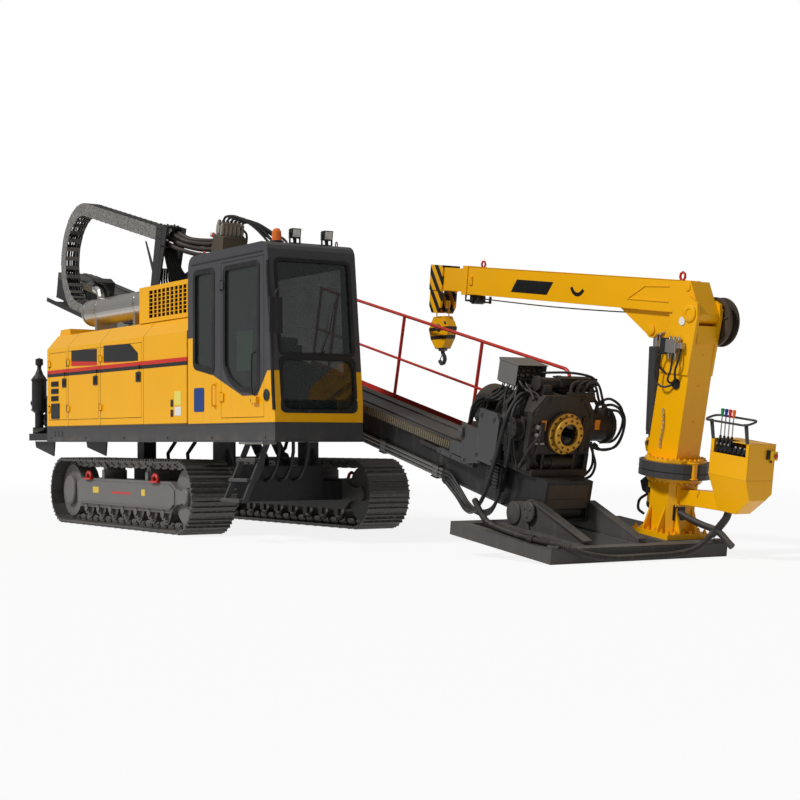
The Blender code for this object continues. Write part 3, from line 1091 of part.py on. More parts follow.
lever_seat = CONSOLE_TOP - 0.13 + GAP
levers = [box((CONSOLE_REAR + 0.05, -0.13, lever_seat), (CONSOLE_FRONT - 0.18, 0.13, lever_seat + 0.08))]
for number in range(5):
    y = -0.10 + 0.05 * number
    levers.append(rod((CONSOLE_REAR + 0.14, y, lever_seat + 0.07), (CONSOLE_REAR + 0.14, y, lever_seat + 0.26), 0.008, 8))
    levers.append(rod((CONSOLE_REAR + 0.14, y, lever_seat + 0.24), (CONSOLE_REAR + 0.14, y, lever_seat + 0.30), 0.017, 8))
node("console_levers", levers, BLACK, crane)

# Crane post: a leaning box with two cheeks that hold the boom's pin
post_frame = frame("crane_post_frame", (0.0, 0.0, ring_top + GAP), crane)
pin_u, pin_v = LUFF_PIN
POST_SOLID_TOP = 1.16
post = [
    turned([(0.0, 0.0), (0.0, 0.30), (0.03, 0.30), (0.03, 0.0)], (0.0, 0.0, 0.0), (0.0, 0.0, 1.0), ROUND),
    plate([(-0.265, 0.02), (0.165, 0.02), (0.262, POST_SOLID_TOP), (-0.145, POST_SOLID_TOP)], "y", -POST_HALF, POST_HALF),
]
post_cuts = []
cheek_gap = BOOM_HALF + 0.004
for side in (-1.0, 1.0):
    low, high = sorted((side * cheek_gap, side * (POST_HALF + CHEEK - 0.005)))
    cheek = [(-0.170, 0.85), (0.235, 0.85), (0.305, pin_v - 0.02), (0.29, pin_v + 0.10), (0.15, pin_v + 0.16), (-0.02, pin_v + 0.06), (-0.135, 1.20)]
    post.append(plate(cheek, "y", low, high))
    post_cuts.append(rod((pin_u, low - 0.01, pin_v), (pin_u, high + 0.01, pin_v), bore(LUFF_PIN_RADIUS), FINE))
foot_u, foot_v = LUFF_FOOT
LUFF_EYE_HALF = 0.03
for side in (-1.0, 1.0):
    face = side * (LUFF_EYE_HALF + GAP)
    low, high = sorted((face, face + side * 0.022))
    lug = [(-0.22, 0.03), (-0.22, 0.215), (foot_u + 0.03, foot_v + 0.055), (foot_u - 0.03, foot_v + 0.055), (foot_u - 0.06, foot_v), (foot_u - 0.03, 0.05), (-0.28, 0.012)]
    post.append(plate(lug, "y", low, high))
    post_cuts.append(rod((foot_u, low - 0.002, foot_v), (foot_u, high + 0.002, foot_v), bore(0.028), FINE))
node("crane_post", post, YELLOW, post_frame, post_cuts)

# Winch on the post's outer side
WINCH = (0.18, 1.37)
winch_seat = POST_HALF + CHEEK - 0.005 + GAP
node("winch", [
    turned([(0.0, 0.0), (0.0, 0.235), (0.02, 0.235), (0.02, 0.15), (0.21, 0.15), (0.21, 0.235), (0.23, 0.235), (0.23, 0.12), (0.29, 0.11), (0.29, 0.0)],
           (WINCH[0], winch_seat, WINCH[1]), (0.0, 1.0, 0.0), ROUND),
], YELLOW, post_frame)

# Outer boom, hollow from its front for the sliding section, with the cylinder's lug below
boom_frame = frame("luff_pin", (pin_u, 0.0, pin_v), post_frame)
boom_top = BOOM_TOP - pin_v
boom_low = boom_top - BOOM_DEPTH
boom_rear = BOOM_REAR - pin_u
boom_nose = BOOM_FRONT - pin_u
lug_x, lug_z = LUFF_HEAD[0] - pin_u, LUFF_HEAD[1] - pin_v
boom = [
    plate([(boom_nose, boom_low), (-0.30, boom_low), *arc((0.0, 0.0), 0.10, 250.0, 360.0, 6), (boom_rear, boom_top), (boom_nose, boom_top)],
          "y", -BOOM_HALF, BOOM_HALF),
    rod((0.0, -POST_HALF - CHEEK + 0.005 - 0.012, 0.0), (0.0, POST_HALF + CHEEK - 0.005 - 0.0, 0.0), LUFF_PIN_RADIUS, FINE),
    box((boom_nose, -BOOM_HALF - 0.012, boom_low - 0.012), (boom_nose + 0.10, BOOM_HALF + 0.012, boom_top + 0.012)),
]
LUFF_CLEVIS = 0.045
for side in (-1.0, 1.0):
    low, high = sorted((side * LUFF_CLEVIS, side * (LUFF_CLEVIS + 0.03)))
    web = [(-1.14, boom_low + 0.01), *arc((lug_x, lug_z), 0.08, 215.0, 330.0, 6), (0.04, -0.07), (0.04, boom_low + 0.02)]
    boom.append(plate(web, "y", low, high))
pocket_rear = -0.50
boom_cuts = [box((boom_nose - 0.1, -BOOM_HALF + BOOM_WALL, boom_low + BOOM_WALL), (pocket_rear, BOOM_HALF - BOOM_WALL, boom_top - BOOM_WALL))]
node("boom_outer", boom, YELLOW, boom_frame, boom_cuts)

# Inner boom with its head, sheave and wear pads
PAD = 0.0005
inner_half = BOOM_HALF - BOOM_WALL - 0.010
inner_low = boom_low + BOOM_WALL + 0.010
inner_top = boom_top - BOOM_WALL - 0.010
head_front = boom_nose - INNER_REACH
head_rear = head_front + HEAD_LENGTH
inner_rear = boom_nose + INNER_INSIDE
sheave_x = head_front + HEAD_LENGTH / 2.0
sheave_z = SHEAVE_PLACE - pin_v
head_low = HEAD_BOTTOM - pin_v
inner = [
    box((head_front + 0.01, -inner_half, inner_low), (inner_rear, inner_half, inner_top)),
    box((inner_rear - 0.30, -BOOM_HALF + BOOM_WALL + PAD, boom_low + BOOM_WALL + PAD), (inner_rear - 0.05, BOOM_HALF - BOOM_WALL - PAD, boom_top - BOOM_WALL - PAD)),
    box((head_front, -BOOM_HALF, inner_low - 0.01), (head_rear, BOOM_HALF, boom_top)),
    rod((sheave_x, -0.11, sheave_z), (sheave_x, 0.11, sheave_z), 0.025, THIN),
    turned([(0.0, 0.0), (0.0, SHEAVE_RADIUS), (0.06, SHEAVE_RADIUS), (0.06, 0.0)], (sheave_x, -0.03, sheave_z), (0.0, 1.0, 0.0), FINEST),
]
for side in (-1.0, 1.0):
    low, high = sorted((side * 0.085, side * 0.112))
    inner.append(plate([(head_front + 0.01, boom_low + 0.05), (head_front + 0.01, head_low + 0.08), (head_front + 0.07, head_low), (head_rear - 0.07, head_low),
                        (head_rear - 0.01, head_low + 0.08), (head_rear - 0.01, boom_low + 0.05)], "y", low, high))
node("boom_inner", inner, YELLOW, boom_frame)

# Hook block, hanging plumb on two falls of rope
hook_frame = frame("hook_hang", (sheave_x, 0.0, sheave_z), boom_frame, -ANCHOR_ANGLE)
block_top = -0.16
block_low = block_top - BLOCK_SIZE[2]
block_half = BLOCK_SIZE[0] / 2.0
fall = SHEAVE_RADIUS + ROPE_RADIUS + GAP
BLOCK_SHOULDER = 0.14     # clears the boom's underside at full luff
hook = [
    plate([(-block_half, block_top - BLOCK_SHOULDER), (-block_half + 0.10, block_top), (block_half - 0.10, block_top),
           (block_half, block_top - BLOCK_SHOULDER),
           (block_half - 0.04, block_low + 0.12), (0.07, block_low), (-0.07, block_low), (-block_half + 0.04, block_low + 0.12)],
          "y", -BLOCK_SIZE[1] / 2.0, BLOCK_SIZE[1] / 2.0),
    bent([(0.0, 0.0, block_low + 0.02), (0.0, 0.0, block_low - 0.05), (0.035, 0.0, block_low - 0.09), (0.045, 0.0, block_low - 0.13),
          (0.02, 0.0, block_low - 0.17), (-0.03, 0.0, block_low - 0.175), (-0.065, 0.0, block_low - 0.14)], 0.024),
]
for x in (-fall, fall):
    hook.append(rod((x, 0.0, block_top - 0.06), (x, 0.0, 0.0), ROPE_RADIUS, 6))
node("hook_block", hook, BLACK, hook_frame)

# Luffing cylinder between the post's foot lugs and the boom's lug
luff_run = Vector((LUFF_HEAD[0] - foot_u, LUFF_HEAD[1] - foot_v))
luff_length = luff_run.length
luff = frame("luff_foot_pin", (foot_u, 0.0, foot_v), post_frame, math.atan2(luff_run.x, luff_run.y))
luff_pin = LUFF_EYE_HALF + 0.022
node("luff_barrel", [
    rod((0.0, 0.0, 0.085), (0.0, 0.0, LUFF_BARREL), LUFF_RADIUS),
    box((-0.035, -LUFF_EYE_HALF + 0.002, 0.0), (0.035, LUFF_EYE_HALF - 0.002, 0.10)),
    rod((0.0, -LUFF_EYE_HALF, 0.0), (0.0, LUFF_EYE_HALF, 0.0), 0.05),
    rod((0.0, -luff_pin - 0.01, 0.0), (0.0, luff_pin + 0.01, 0.0), 0.028, FINE),
], GREY, luff, [rod((0.0, 0.0, 0.10), (0.0, 0.0, LUFF_BARREL + 0.1), LUFF_ROD_RADIUS + GAP)])
node("luff_rod", [
    rod((0.0, 0.0, 0.15), (0.0, 0.0, luff_length), LUFF_ROD_RADIUS),
    rod((0.0, -LUFF_CLEVIS + 0.0005, luff_length), (0.0, LUFF_CLEVIS - 0.0005, luff_length), 0.055),
], STEEL, luff)
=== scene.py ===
"""The finish of a tracked horizontal directional drill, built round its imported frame.

Metres, +Z up, +X towards the drilling end. Each section makes one piece of the machine.
"""
import random
from math import atan2, cos, pi, radians, sin, tau

import bmesh
import bpy
from mathutils import Matrix, Vector


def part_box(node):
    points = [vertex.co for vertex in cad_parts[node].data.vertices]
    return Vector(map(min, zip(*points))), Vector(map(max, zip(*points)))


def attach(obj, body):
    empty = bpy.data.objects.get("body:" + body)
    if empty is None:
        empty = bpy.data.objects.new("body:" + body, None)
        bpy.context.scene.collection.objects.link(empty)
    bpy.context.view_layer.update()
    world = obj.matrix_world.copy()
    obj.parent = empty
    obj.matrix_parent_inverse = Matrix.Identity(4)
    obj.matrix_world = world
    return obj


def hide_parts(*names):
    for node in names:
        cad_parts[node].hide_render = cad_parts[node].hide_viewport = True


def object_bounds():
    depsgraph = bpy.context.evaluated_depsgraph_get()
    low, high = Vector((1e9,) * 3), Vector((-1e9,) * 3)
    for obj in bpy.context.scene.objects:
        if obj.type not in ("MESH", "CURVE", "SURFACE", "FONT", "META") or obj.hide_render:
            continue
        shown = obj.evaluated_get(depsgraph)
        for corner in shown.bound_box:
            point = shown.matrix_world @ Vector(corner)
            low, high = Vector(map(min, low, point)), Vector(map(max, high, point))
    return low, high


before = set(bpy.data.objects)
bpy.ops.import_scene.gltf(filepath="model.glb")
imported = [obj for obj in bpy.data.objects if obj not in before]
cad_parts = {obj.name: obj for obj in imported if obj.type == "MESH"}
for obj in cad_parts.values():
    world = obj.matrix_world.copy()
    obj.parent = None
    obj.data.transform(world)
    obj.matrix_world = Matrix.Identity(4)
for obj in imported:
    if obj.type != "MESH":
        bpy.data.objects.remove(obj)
cad_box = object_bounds()


# Camera: a long lens at chest height, off the machine's right front corner. It stands level, and
# the small shift drops the horizon as the photograph has it.
DECK_REAR = -4.32                       # of the deck's rear edge, from below the front idlers
shift_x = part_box("deck")[0].x - DECK_REAR
camera_data = bpy.data.cameras.new("camera")
camera_data.sensor_width = 36
camera_data.lens = 74.34
camera_data.shift_y = 0.0525
camera = bpy.data.objects.new("camera", camera_data)
camera.location = (17.81 + shift_x, -9.72, 1.1)
camera.rotation_euler = (radians(90), 0, radians(57.57))
bpy.context.collection.objects.link(camera)
bpy.context.scene.camera = camera
bpy.context.scene.view_settings.view_transform = "Standard"


# Studio: a pale floor disc that fades into a white room, a broad sun from the right rear and an
# even sky, so that a colour shows about as it is written.
class Wire:
    """A socket of a material. An operator adds a Math node, and add() any other node."""

    def __init__(self, tree, socket=None):
        self.tree = tree
        self.socket = socket

    def add(self, kind, settings=None, sockets=None, output=0):
        node = self.tree.nodes.new(kind)
        for name, value in (settings or {}).items():
            if name == "stops":
                ramp = node.color_ramp
                ramp.elements[0].position, ramp.elements[1].position = value[0][0], value[-1][0]
                for place, shade in value[1:-1]:
                    ramp.elements.new(place)
                for element, (place, shade) in zip(ramp.elements, value):
                    element.color = (shade, shade, shade, 1) if isinstance(shade,
                        (int, float)) else (*shade, 1)
            else:
                setattr(node, name, value)
        for name, value in (sockets or {}).items():
            if isinstance(value, Wire):
                self.tree.links.new(value.socket, node.inputs[name])
            else:
                node.inputs[name].default_value = value
        return Wire(self.tree, node.outputs[output])

    def math(self, operation, first, second):
        return self.add("ShaderNodeMath", {"operation": operation}, {0: first, 1: second})

    def __add__(self, other):
        return self.math("ADD", self, other)

    def __radd__(self, other):
        return self.math("ADD", other, self)

    def __sub__(self, other):
        return self.math("SUBTRACT", self, other)

    def __rsub__(self, other):
        return self.math("SUBTRACT", other, self)

    def __mul__(self, other):
        return self.math("MULTIPLY", self, other)

    def __rmul__(self, other):
        return self.math("MULTIPLY", other, self)

    def step(self, low, high):
        """0 below low, 1 above high, smooth between."""
        sockets = {"Value": self, "From Min": low, "From Max": high}
        return self.add("ShaderNodeMapRange", {"interpolation_type": "SMOOTHSTEP"}, sockets)

    def band(self, low, high, soft=0.0006):
        """1 between two values."""
        return self.step(low - soft, low + soft) * self.add(
            "ShaderNodeMath", {"operation": "SUBTRACT"}, {0: 1, 1: self.step(high - soft, high + soft)})

    def axis(self, index):
        return self.add("ShaderNodeSeparateXYZ", None, {0: self}, index)

    def noise(self, scale, detail=3, stretch=None):
        place = self
        if stretch:
            place = self.add("ShaderNodeVectorMath", {"operation": "MULTIPLY"}, {0: self, 1: stretch})
        return self.add("ShaderNodeTexNoise", None, {"Vector": place, "Scale": scale, "Detail": detail}, 0)

    def mix(self, mask, first, second):
        """Two colours mixed by a mask."""
        sockets = {0: mask, 6: first, 7: second}
        for index in (6, 7):
            if not isinstance(sockets[index], Wire):
                sockets[index] = (*sockets[index], 1)
        return self.add("ShaderNodeMix", {"data_type": "RGBA"}, sockets, 2)


def bare_material(name):
    """A new material with its tree, its shader and its output."""
    material = bpy.data.materials.new(name)
    material.use_nodes = True
    tree = material.node_tree
    return material, tree, tree.nodes["Principled BSDF"], tree.nodes["Material Output"]


FLOOR_RADIUS = 42
floor_mesh = bpy.data.meshes.new("studio_floor")
floor_rim = [(FLOOR_RADIUS * cos(step * tau / 96), FLOOR_RADIUS * sin(step * tau / 96), 0)
             for step in range(96)]
floor_mesh.from_pydata(floor_rim, [], [tuple(range(96))])
studio_floor = bpy.data.objects.new("studio_floor", floor_mesh)
studio_floor.location.z = cad_box[0].z - 0.0005
bpy.context.collection.objects.link(studio_floor)
floor_paint, floor_tree, floor_shader, floor_output = bare_material("studio_floor")
floor_shader.inputs["Base Color"].default_value = (0.86, 0.86, 0.86, 1)
floor_shader.inputs["Roughness"].default_value = 0.9
spot = Wire(floor_tree)
path = floor_tree.nodes.new("ShaderNodeLightPath")
seen = Wire(floor_tree, path.outputs["Is Camera Ray"]) + Wire(floor_tree, path.outputs["Is Glossy Ray"])
seen = seen + Wire(floor_tree, path.outputs["Is Transmission Ray"])
white = spot.add("ShaderNodeEmission", None, {"Color": (1, 1, 1, 1), "Strength": 1})
lit = Wire(floor_tree, floor_shader.outputs["BSDF"])
pale = spot.add("ShaderNodeMixShader", None, {0: seen * 0.86, 1: lit, 2: white})
ground = spot.add("ShaderNodeTexCoord", None, None, "Object")
far_off = spot.add("ShaderNodeVectorMath", {"operation": "LENGTH"}, {0: ground}, "Value").step(13, 30)
clear = spot.add("ShaderNodeBsdfTransparent")
fading = spot.add("ShaderNodeMixShader", None, {0: far_off, 1: pale, 2: clear})
floor_tree.links.new(fading.socket, floor_output.inputs["Surface"])
floor_mesh.materials.append(floor_paint)

SKY_LEVEL = 0.27
MIRRORED_LEVEL = 0.32
world = bpy.data.worlds.new("studio_room")
world.use_nodes = True
bpy.context.scene.world = world
rays = world.node_tree.nodes.new("ShaderNodeLightPath")
shown = Wire(world.node_tree, rays.outputs["Is Camera Ray"]) + Wire(world.node_tree,
    rays.outputs["Is Transmission Ray"])
mirrored = Wire(world.node_tree, rays.outputs["Is Glossy Ray"]) * (MIRRORED_LEVEL - SKY_LEVEL)
strength = shown * (1 - SKY_LEVEL) + mirrored + SKY_LEVEL
backdrop = world.node_tree.nodes["Background"]
backdrop.inputs["Color"].default_value = (1, 1, 1, 1)
world.node_tree.links.new(strength.socket, backdrop.inputs["Strength"])

sun_data = bpy.data.lights.new("broad_sun", "SUN")
sun_data.energy = 2.45
sun_data.angle = radians(9)
sun = bpy.data.objects.new("broad_sun", sun_data)
sun.rotation_euler = Vector((0.12, 0.78, -0.8)).to_track_quat("-Z", "Y").to_euler()
bpy.context.collection.objects.link(sun)


# Painted steel: two-pack enamel over plate. The edges are rounded and rubbed a little, dust lies
# on what faces up, and the film has a faint orange peel.
YELLOW = (0.9, 0.43, 0.001)
DARK_GREY = (0.046, 0.046, 0.048)
MAST_GREY = (0.03, 0.03, 0.032)
SOOT = (0.018, 0.018, 0.019)
DUST = (0.22, 0.19, 0.15)


def enamel(name, color, roughness=0.36, dust=0.12, wear=0.25, coat=0, metallic=0, mottle=0.06,
           peel=0.0006, worn=(0.16, 0.15, 0.14), marks=None, dust_color=DUST, rounding=0.006):
    """A painted or bare metal; marks(paint, x, y, z) gives masks with their colours."""
    material, tree, shader, output = bare_material(name)
    paint = Wire(tree)
    place = paint.add("ShaderNodeTexCoord", None, None, "Object")
    normal = paint.add("ShaderNodeNewGeometry", None, None, "Normal")
    rounded = paint.add("ShaderNodeBevel", {"samples": 3}, {"Radius": rounding})
    turned_away = paint.add("ShaderNodeVectorMath", {"operation": "DOT_PRODUCT"}, {0: rounded, 1: normal},
                            "Value")
    speckle = place.noise(38, 4)
    cloud = place.noise(1.3, 4)
    edge = (1 - turned_away).step(0.02, 0.16) * speckle.step(0.46, 0.62) * wear
    lying = normal.axis(2).step(0.25, 0.95) * cloud.step(0.3, 0.72) * (2.2 * dust)
    streaks = place.noise(5, 3, (3, 3, 0.35)).step(0.52, 0.8) * dust
    lower = tuple(channel * (1 - mottle) for channel in color)
    upper = tuple(min(1, channel * (1 + mottle)) for channel in color)
    shade = paint.mix(cloud, lower, upper)
    if marks:
        x, y, z = (place.axis(index) for index in range(3))
        for mask, mark in marks(paint, x, y, z):
            shade = paint.mix(mask, shade, mark)
    shade = paint.mix(edge, shade, worn)
    soil = paint.math("MINIMUM", lying + streaks, 0.8)
    shade = paint.mix(soil, shade, dust_color)
    tree.links.new(shade.socket, shader.inputs["Base Color"])
    gloss = (speckle - 0.5) * 0.12 + roughness + soil * 0.4
    tree.links.new(gloss.socket, shader.inputs["Roughness"])
    shader.inputs["Metallic"].default_value = metallic
    shader.inputs["Specular IOR Level"].default_value = 0.5 if metallic > 0.4 else 0.28
    shader.inputs["Coat Weight"].default_value = coat
    shader.inputs["Coat Roughness"].default_value = 0.12
    height = place.noise(160, 2) + cloud * 1.5
    bump = paint.add("ShaderNodeBump", None,
                     {"Strength": 0.5, "Distance": peel, "Height": height, "Normal": rounded})
    tree.links.new(bump.socket, shader.inputs["Normal"])
    return material


def dress(node, material):
    """Give a frame node its finish."""
    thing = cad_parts[node]
    if not thing.material_slots:
        thing.data.materials.append(material)
    for place in thing.material_slots:
        place.material = material


yellow_paint = enamel("yellow_enamel", YELLOW, 0.36, dust=0.025, wear=0.1, coat=0.03,
                      worn=(0.3, 0.16, 0.03))
grey_paint = enamel("grey_enamel", DARK_GREY, 0.42, dust=0.1, wear=0.35)
mast_paint = enamel("mast_enamel", MAST_GREY, 0.4, dust=0.16, wear=0.5)
black_paint = enamel("black_enamel", SOOT, 0.45, dust=0.1, wear=0.35, worn=(0.12, 0.11, 0.1))
red_paint = enamel("red_enamel", (0.52, 0.028, 0.016), 0.35, dust=0.06, wear=0.2)
worn_steel = enamel("worn_steel", (0.17, 0.16, 0.15), 0.42, dust=0.22, wear=0.9, metallic=0.85, mottle=0.25,
                    worn=(0.55, 0.53, 0.5), peel=0.002)
plated_steel = enamel("plated_steel", (0.46, 0.44, 0.41), 0.34, dust=0.05, wear=0.3, metallic=0.9,
                      mottle=0.18)


class Form:
    """Solids gathered into one piece, in the frame of what carries it."""

    def __init__(self, place=Matrix.Identity(4)):
        self.place = place
        self.work = bmesh.new()

    def add(self, points, faces):
        corners = [self.work.verts.new(self.place @ Vector(point)) for point in points]
        for face in faces:
            self.work.faces.new([corners[index] for index in face])
        return self

    def block(self, low, high):
        points = [(x, y, z) for x in (low[0], high[0]) for y in (low[1], high[1]) for z in (low[2],
            high[2])]
        return self.add(points, [(0, 1, 3, 2), (4, 6, 7, 5), (0, 4, 5, 1), (2, 3, 7, 6), (0, 2, 6, 4),
                                 (1, 5, 7, 3)])

    def prism(self, outline, axis, low, high):
        """An outline of (y, z), (x, z) or (x, y) made thick along x, y or z."""
        turn = {"x": lambda u, v, w: (w, u, v), "y": lambda u, v, w: (u, w, v), "z": lambda u, v,
                w: (u, v, w)}[axis]
        count = len(outline)
        points = [turn(u, v, low) for u, v in outline] + [turn(u, v, high) for u, v in outline]
        faces = [(i, (i + 1) % count, count + (i + 1) % count, count + i) for i in range(count)]
        return self.add(points, faces + [tuple(range(count)), tuple(range(count, 2 * count))])

    def turned(self, start, axis, profile, sides=24):
        """A profile of (along, radius) turned about an axis; ends at radius 0 are closed."""
        along = Vector(axis).normalized()
        across = along.orthogonal().normalized()
        third = along.cross(across)
        start = Vector(start)
        rings, points, faces = [], [], []
        for s, radius in profile:
            if radius < 1e-6:
                rings.append([len(points)])
                points.append(start + along * s)
                continue
            rings.append(list(range(len(points), len(points) + sides)))
            for step in range(sides):
                angle = step * tau / sides
                points.append(start + along * s + (across * cos(angle) + third * sin(angle)) * radius)
        pairs = list(zip(rings, rings[1:]))
        if len(rings[0]) > 1 and len(rings[-1]) > 1:
            pairs.append((rings[-1], rings[0]))
        for here, there in pairs:
            for i in range(sides):
                j = (i + 1) % sides
                if len(here) == 1:
                    faces.append((here[0], there[j], there[i]))
                elif len(there) == 1:
                    faces.append((here[i], here[j], there[0]))
                else:
                    faces.append((here[i], here[j], there[j], there[i]))
        return self.add(points, faces)

    def rod(self, start, end, radius, sides=16):
        start, end = Vector(start), Vector(end)
        length = (end - start).length
        return self.turned(start, end - start, stepped((radius, length)), sides)

    def tube(self, points, radius, sides=10, rib=0):
        """A round bar along points, its rings kept from twisting. A rib widens every second ring."""
        points = [Vector(point) for point in points]
        across = None
        rings, faces = [], []
        for i, point in enumerate(points):
            along = (points[min(i + 1, len(points) - 1)] - points[max(i - 1, 0)]).normalized()
            across = along.orthogonal() if across is None else across - along * across.dot(along)
            across.normalize()
            third = along.cross(across)
            reach = radius + rib * (i % 2)
            for step in range(sides):
                angle = step * tau / sides
                rings.append(point + (across * cos(angle) + third * sin(angle)) * reach)
        for i in range(len(points) - 1):
            for step in range(sides):
                a, b = i * sides + step, i * sides + (step + 1) % sides
                faces.append((a, b, b + sides, a + sides))
        last = (len(points) - 1) * sides
        return self.add(rings, faces + [tuple(range(sides)), tuple(range(last, last + sides))])

    def bolts(self, places, axis, radius=0.014, height=0.012):
        """Hexagon heads standing on a face."""
        for place in places:
            reach = Vector(axis).normalized() * height
            self.rod(Vector(place) - reach * 0.2, Vector(place) + reach, radius, 6)
        return self

    def finish(self, name, material, body, slot, bevel=0.002):
        """Close the piece up, round its edges and let it ride on a body."""
        bmesh.ops.recalc_face_normals(self.work, faces=self.work.faces)
        mesh = bpy.data.meshes.new(name)
        self.work.to_mesh(mesh)
        self.work.free()
        mesh.shade_smooth()
        mesh.set_sharp_from_angle(angle=radians(35))
        mesh.materials.append(material)
        thing = bpy.data.objects.new(name, mesh)
        bpy.context.collection.objects.link(thing)
        if bevel:
            rounding = thing.modifiers.new("rounding", "BEVEL")
            rounding.width = bevel
            rounding.segments = 2
            rounding.limit_method = "ANGLE"
            rounding.angle_limit = radians(40)
        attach(thing, body)
        return thing


AHEAD, BACK = (1, 0, 0), (-1, 0, 0)
INWARD, OUTWARD = (0, 1, 0), (0, -1, 0)
UP, DOWN = (0, 0, 1), (0, 0, -1)


def capped(*steps):
    """A turned profile of places along the axis with their radii, closed at both ends."""
    return [(steps[0][0], 0), *steps, (steps[-1][0], 0)]


def stepped(*steps):
    """A turned profile of plain steps. Each has its radius and the place where it ends."""
    points, start = [], 0
    for radius, end in steps:
        points += [(start, radius), (end, radius)]
        start = end
    return capped(*points)


def hoop(inner, outer, depth):
    """A turned profile of a plain ring."""
    return [(0, inner), (0, outer), (depth, outer), (depth, inner)]


def bolt_circle(x, y, z, radius, count, axis):
    """Points evenly round the x or the y axis through a point."""
    turns = [step * tau / count for step in range(count)]
    if axis == "x":
        return [(x, y + radius * cos(turn), z + radius * sin(turn)) for turn in turns]
    return [(x + radius * cos(turn), y, z + radius * sin(turn)) for turn in turns]


carrier = Matrix.Translation((shift_x, 0, 0))


# Tracks: steel shoes with three grousers each, bolted to two rows of forged links that run round
# an idler and a sprocket. The shoes are polished on their ribs and dusty between them.
TRACKS_WIDTH = 3
SHOE_WIDTH = 0.58
TRACK_HEIGHT = 0.89
WHEELBASE = 3.7
IDLER_X = -0.055
SHOE_COUNT = 46
GROUSER = 0.028
SHOE_PLATE = 0.016
track_radius = TRACK_HEIGHT / 2 - GROUSER
wheel_z = TRACK_HEIGHT / 2
track_pitch = 2 * (WHEELBASE + pi * track_radius) / SHOE_COUNT
track_middle = (TRACKS_WIDTH - SHOE_WIDTH) / 2
sprocket_x = IDLER_X - WHEELBASE
shoe_steel = enamel("shoe_steel", (0.085, 0.082, 0.078), 0.45, dust=0.3, wear=0.95, metallic=0.55,
                    mottle=0.25,
                    worn=(0.42, 0.41, 0.39), peel=0.003, dust_color=(0.16, 0.145, 0.12))


def track_place(distance):
    """Frame on the shoes' outer face: X along the run, Z outwards."""
    turn = pi * track_radius
    distance %= 2 * (WHEELBASE + turn)
    if distance < WHEELBASE:
        return (sprocket_x + distance, wheel_z + track_radius), 0
    if distance < WHEELBASE + turn:
        angle = (distance - WHEELBASE) / track_radius
        return (IDLER_X + track_radius * sin(angle), wheel_z + track_radius * cos(angle)), angle
    if distance < 2 * WHEELBASE + turn:
        return (IDLER_X - (distance - WHEELBASE - turn), wheel_z - track_radius), pi
    angle = pi + (distance - 2 * WHEELBASE - turn) / track_radius
    return (sprocket_x + track_radius * sin(angle), wheel_z + track_radius * cos(angle)), angle


half_pitch = track_pitch / 2
SHOE_GAP = 0.005
edge_x = half_pitch - SHOE_GAP
shoe_profile = [(-edge_x, -SHOE_PLATE), (edge_x + 0.012, -SHOE_PLATE - 0.004), (edge_x + 0.012, -0.006),
                (edge_x, 0)]
for ridge, reach in ((0.3, GROUSER - 0.0035), (0, GROUSER), (-0.3, GROUSER - 0.0035)):
    middle = ridge * track_pitch
    shoe_profile += [(middle + 0.016, 0), (middle + 0.006, reach), (middle - 0.006, reach),
                     (middle - 0.016, 0)]
shoe_profile.append((-edge_x, 0))
link_profile = [(-0.085, -0.03), (-0.085, -0.075), (-0.04, -0.098), (0.06, -0.098), (0.105, -0.08),
                (0.105, -0.05), (0.07, -SHOE_PLATE), (-0.06, -SHOE_PLATE)]
for side, label in ((-1, "right"), (1, "left")):
    shoes = Form()
    links = Form()
    for number in range(SHOE_COUNT):
        (x, z), angle = track_place((number + 0.5) * track_pitch)
        shoe_frame = carrier @ Matrix.Translation((x, side * track_middle, z)) @ Matrix.Rotation(angle, 4,
            "Y")
        shoes.place = shoe_frame
        shoes.prism(shoe_profile, "y", -SHOE_WIDTH / 2, SHOE_WIDTH / 2)
        links.place = shoe_frame
        for row in (-0.105, 0.075):
            links.prism(link_profile, "y", row, row + 0.03)
        links.rod((-0.055, -0.12, -0.066), (-0.055, 0.12, -0.066), 0.018, 10)
        for row in (-0.14, -0.045, 0.045, 0.14):
            shoes.bolts([(0.053, row, 0), (-0.015, row, 0)], UP, 0.012, 0.01)
    tread = shoes.finish(f"track_shoes_{label}", shoe_steel, "carrier", "bare_steel", 0.0015)
    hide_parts(f"track_{label}")
    links.finish(f"track_links_{label}", worn_steel, "carrier", "bare_steel", 0)


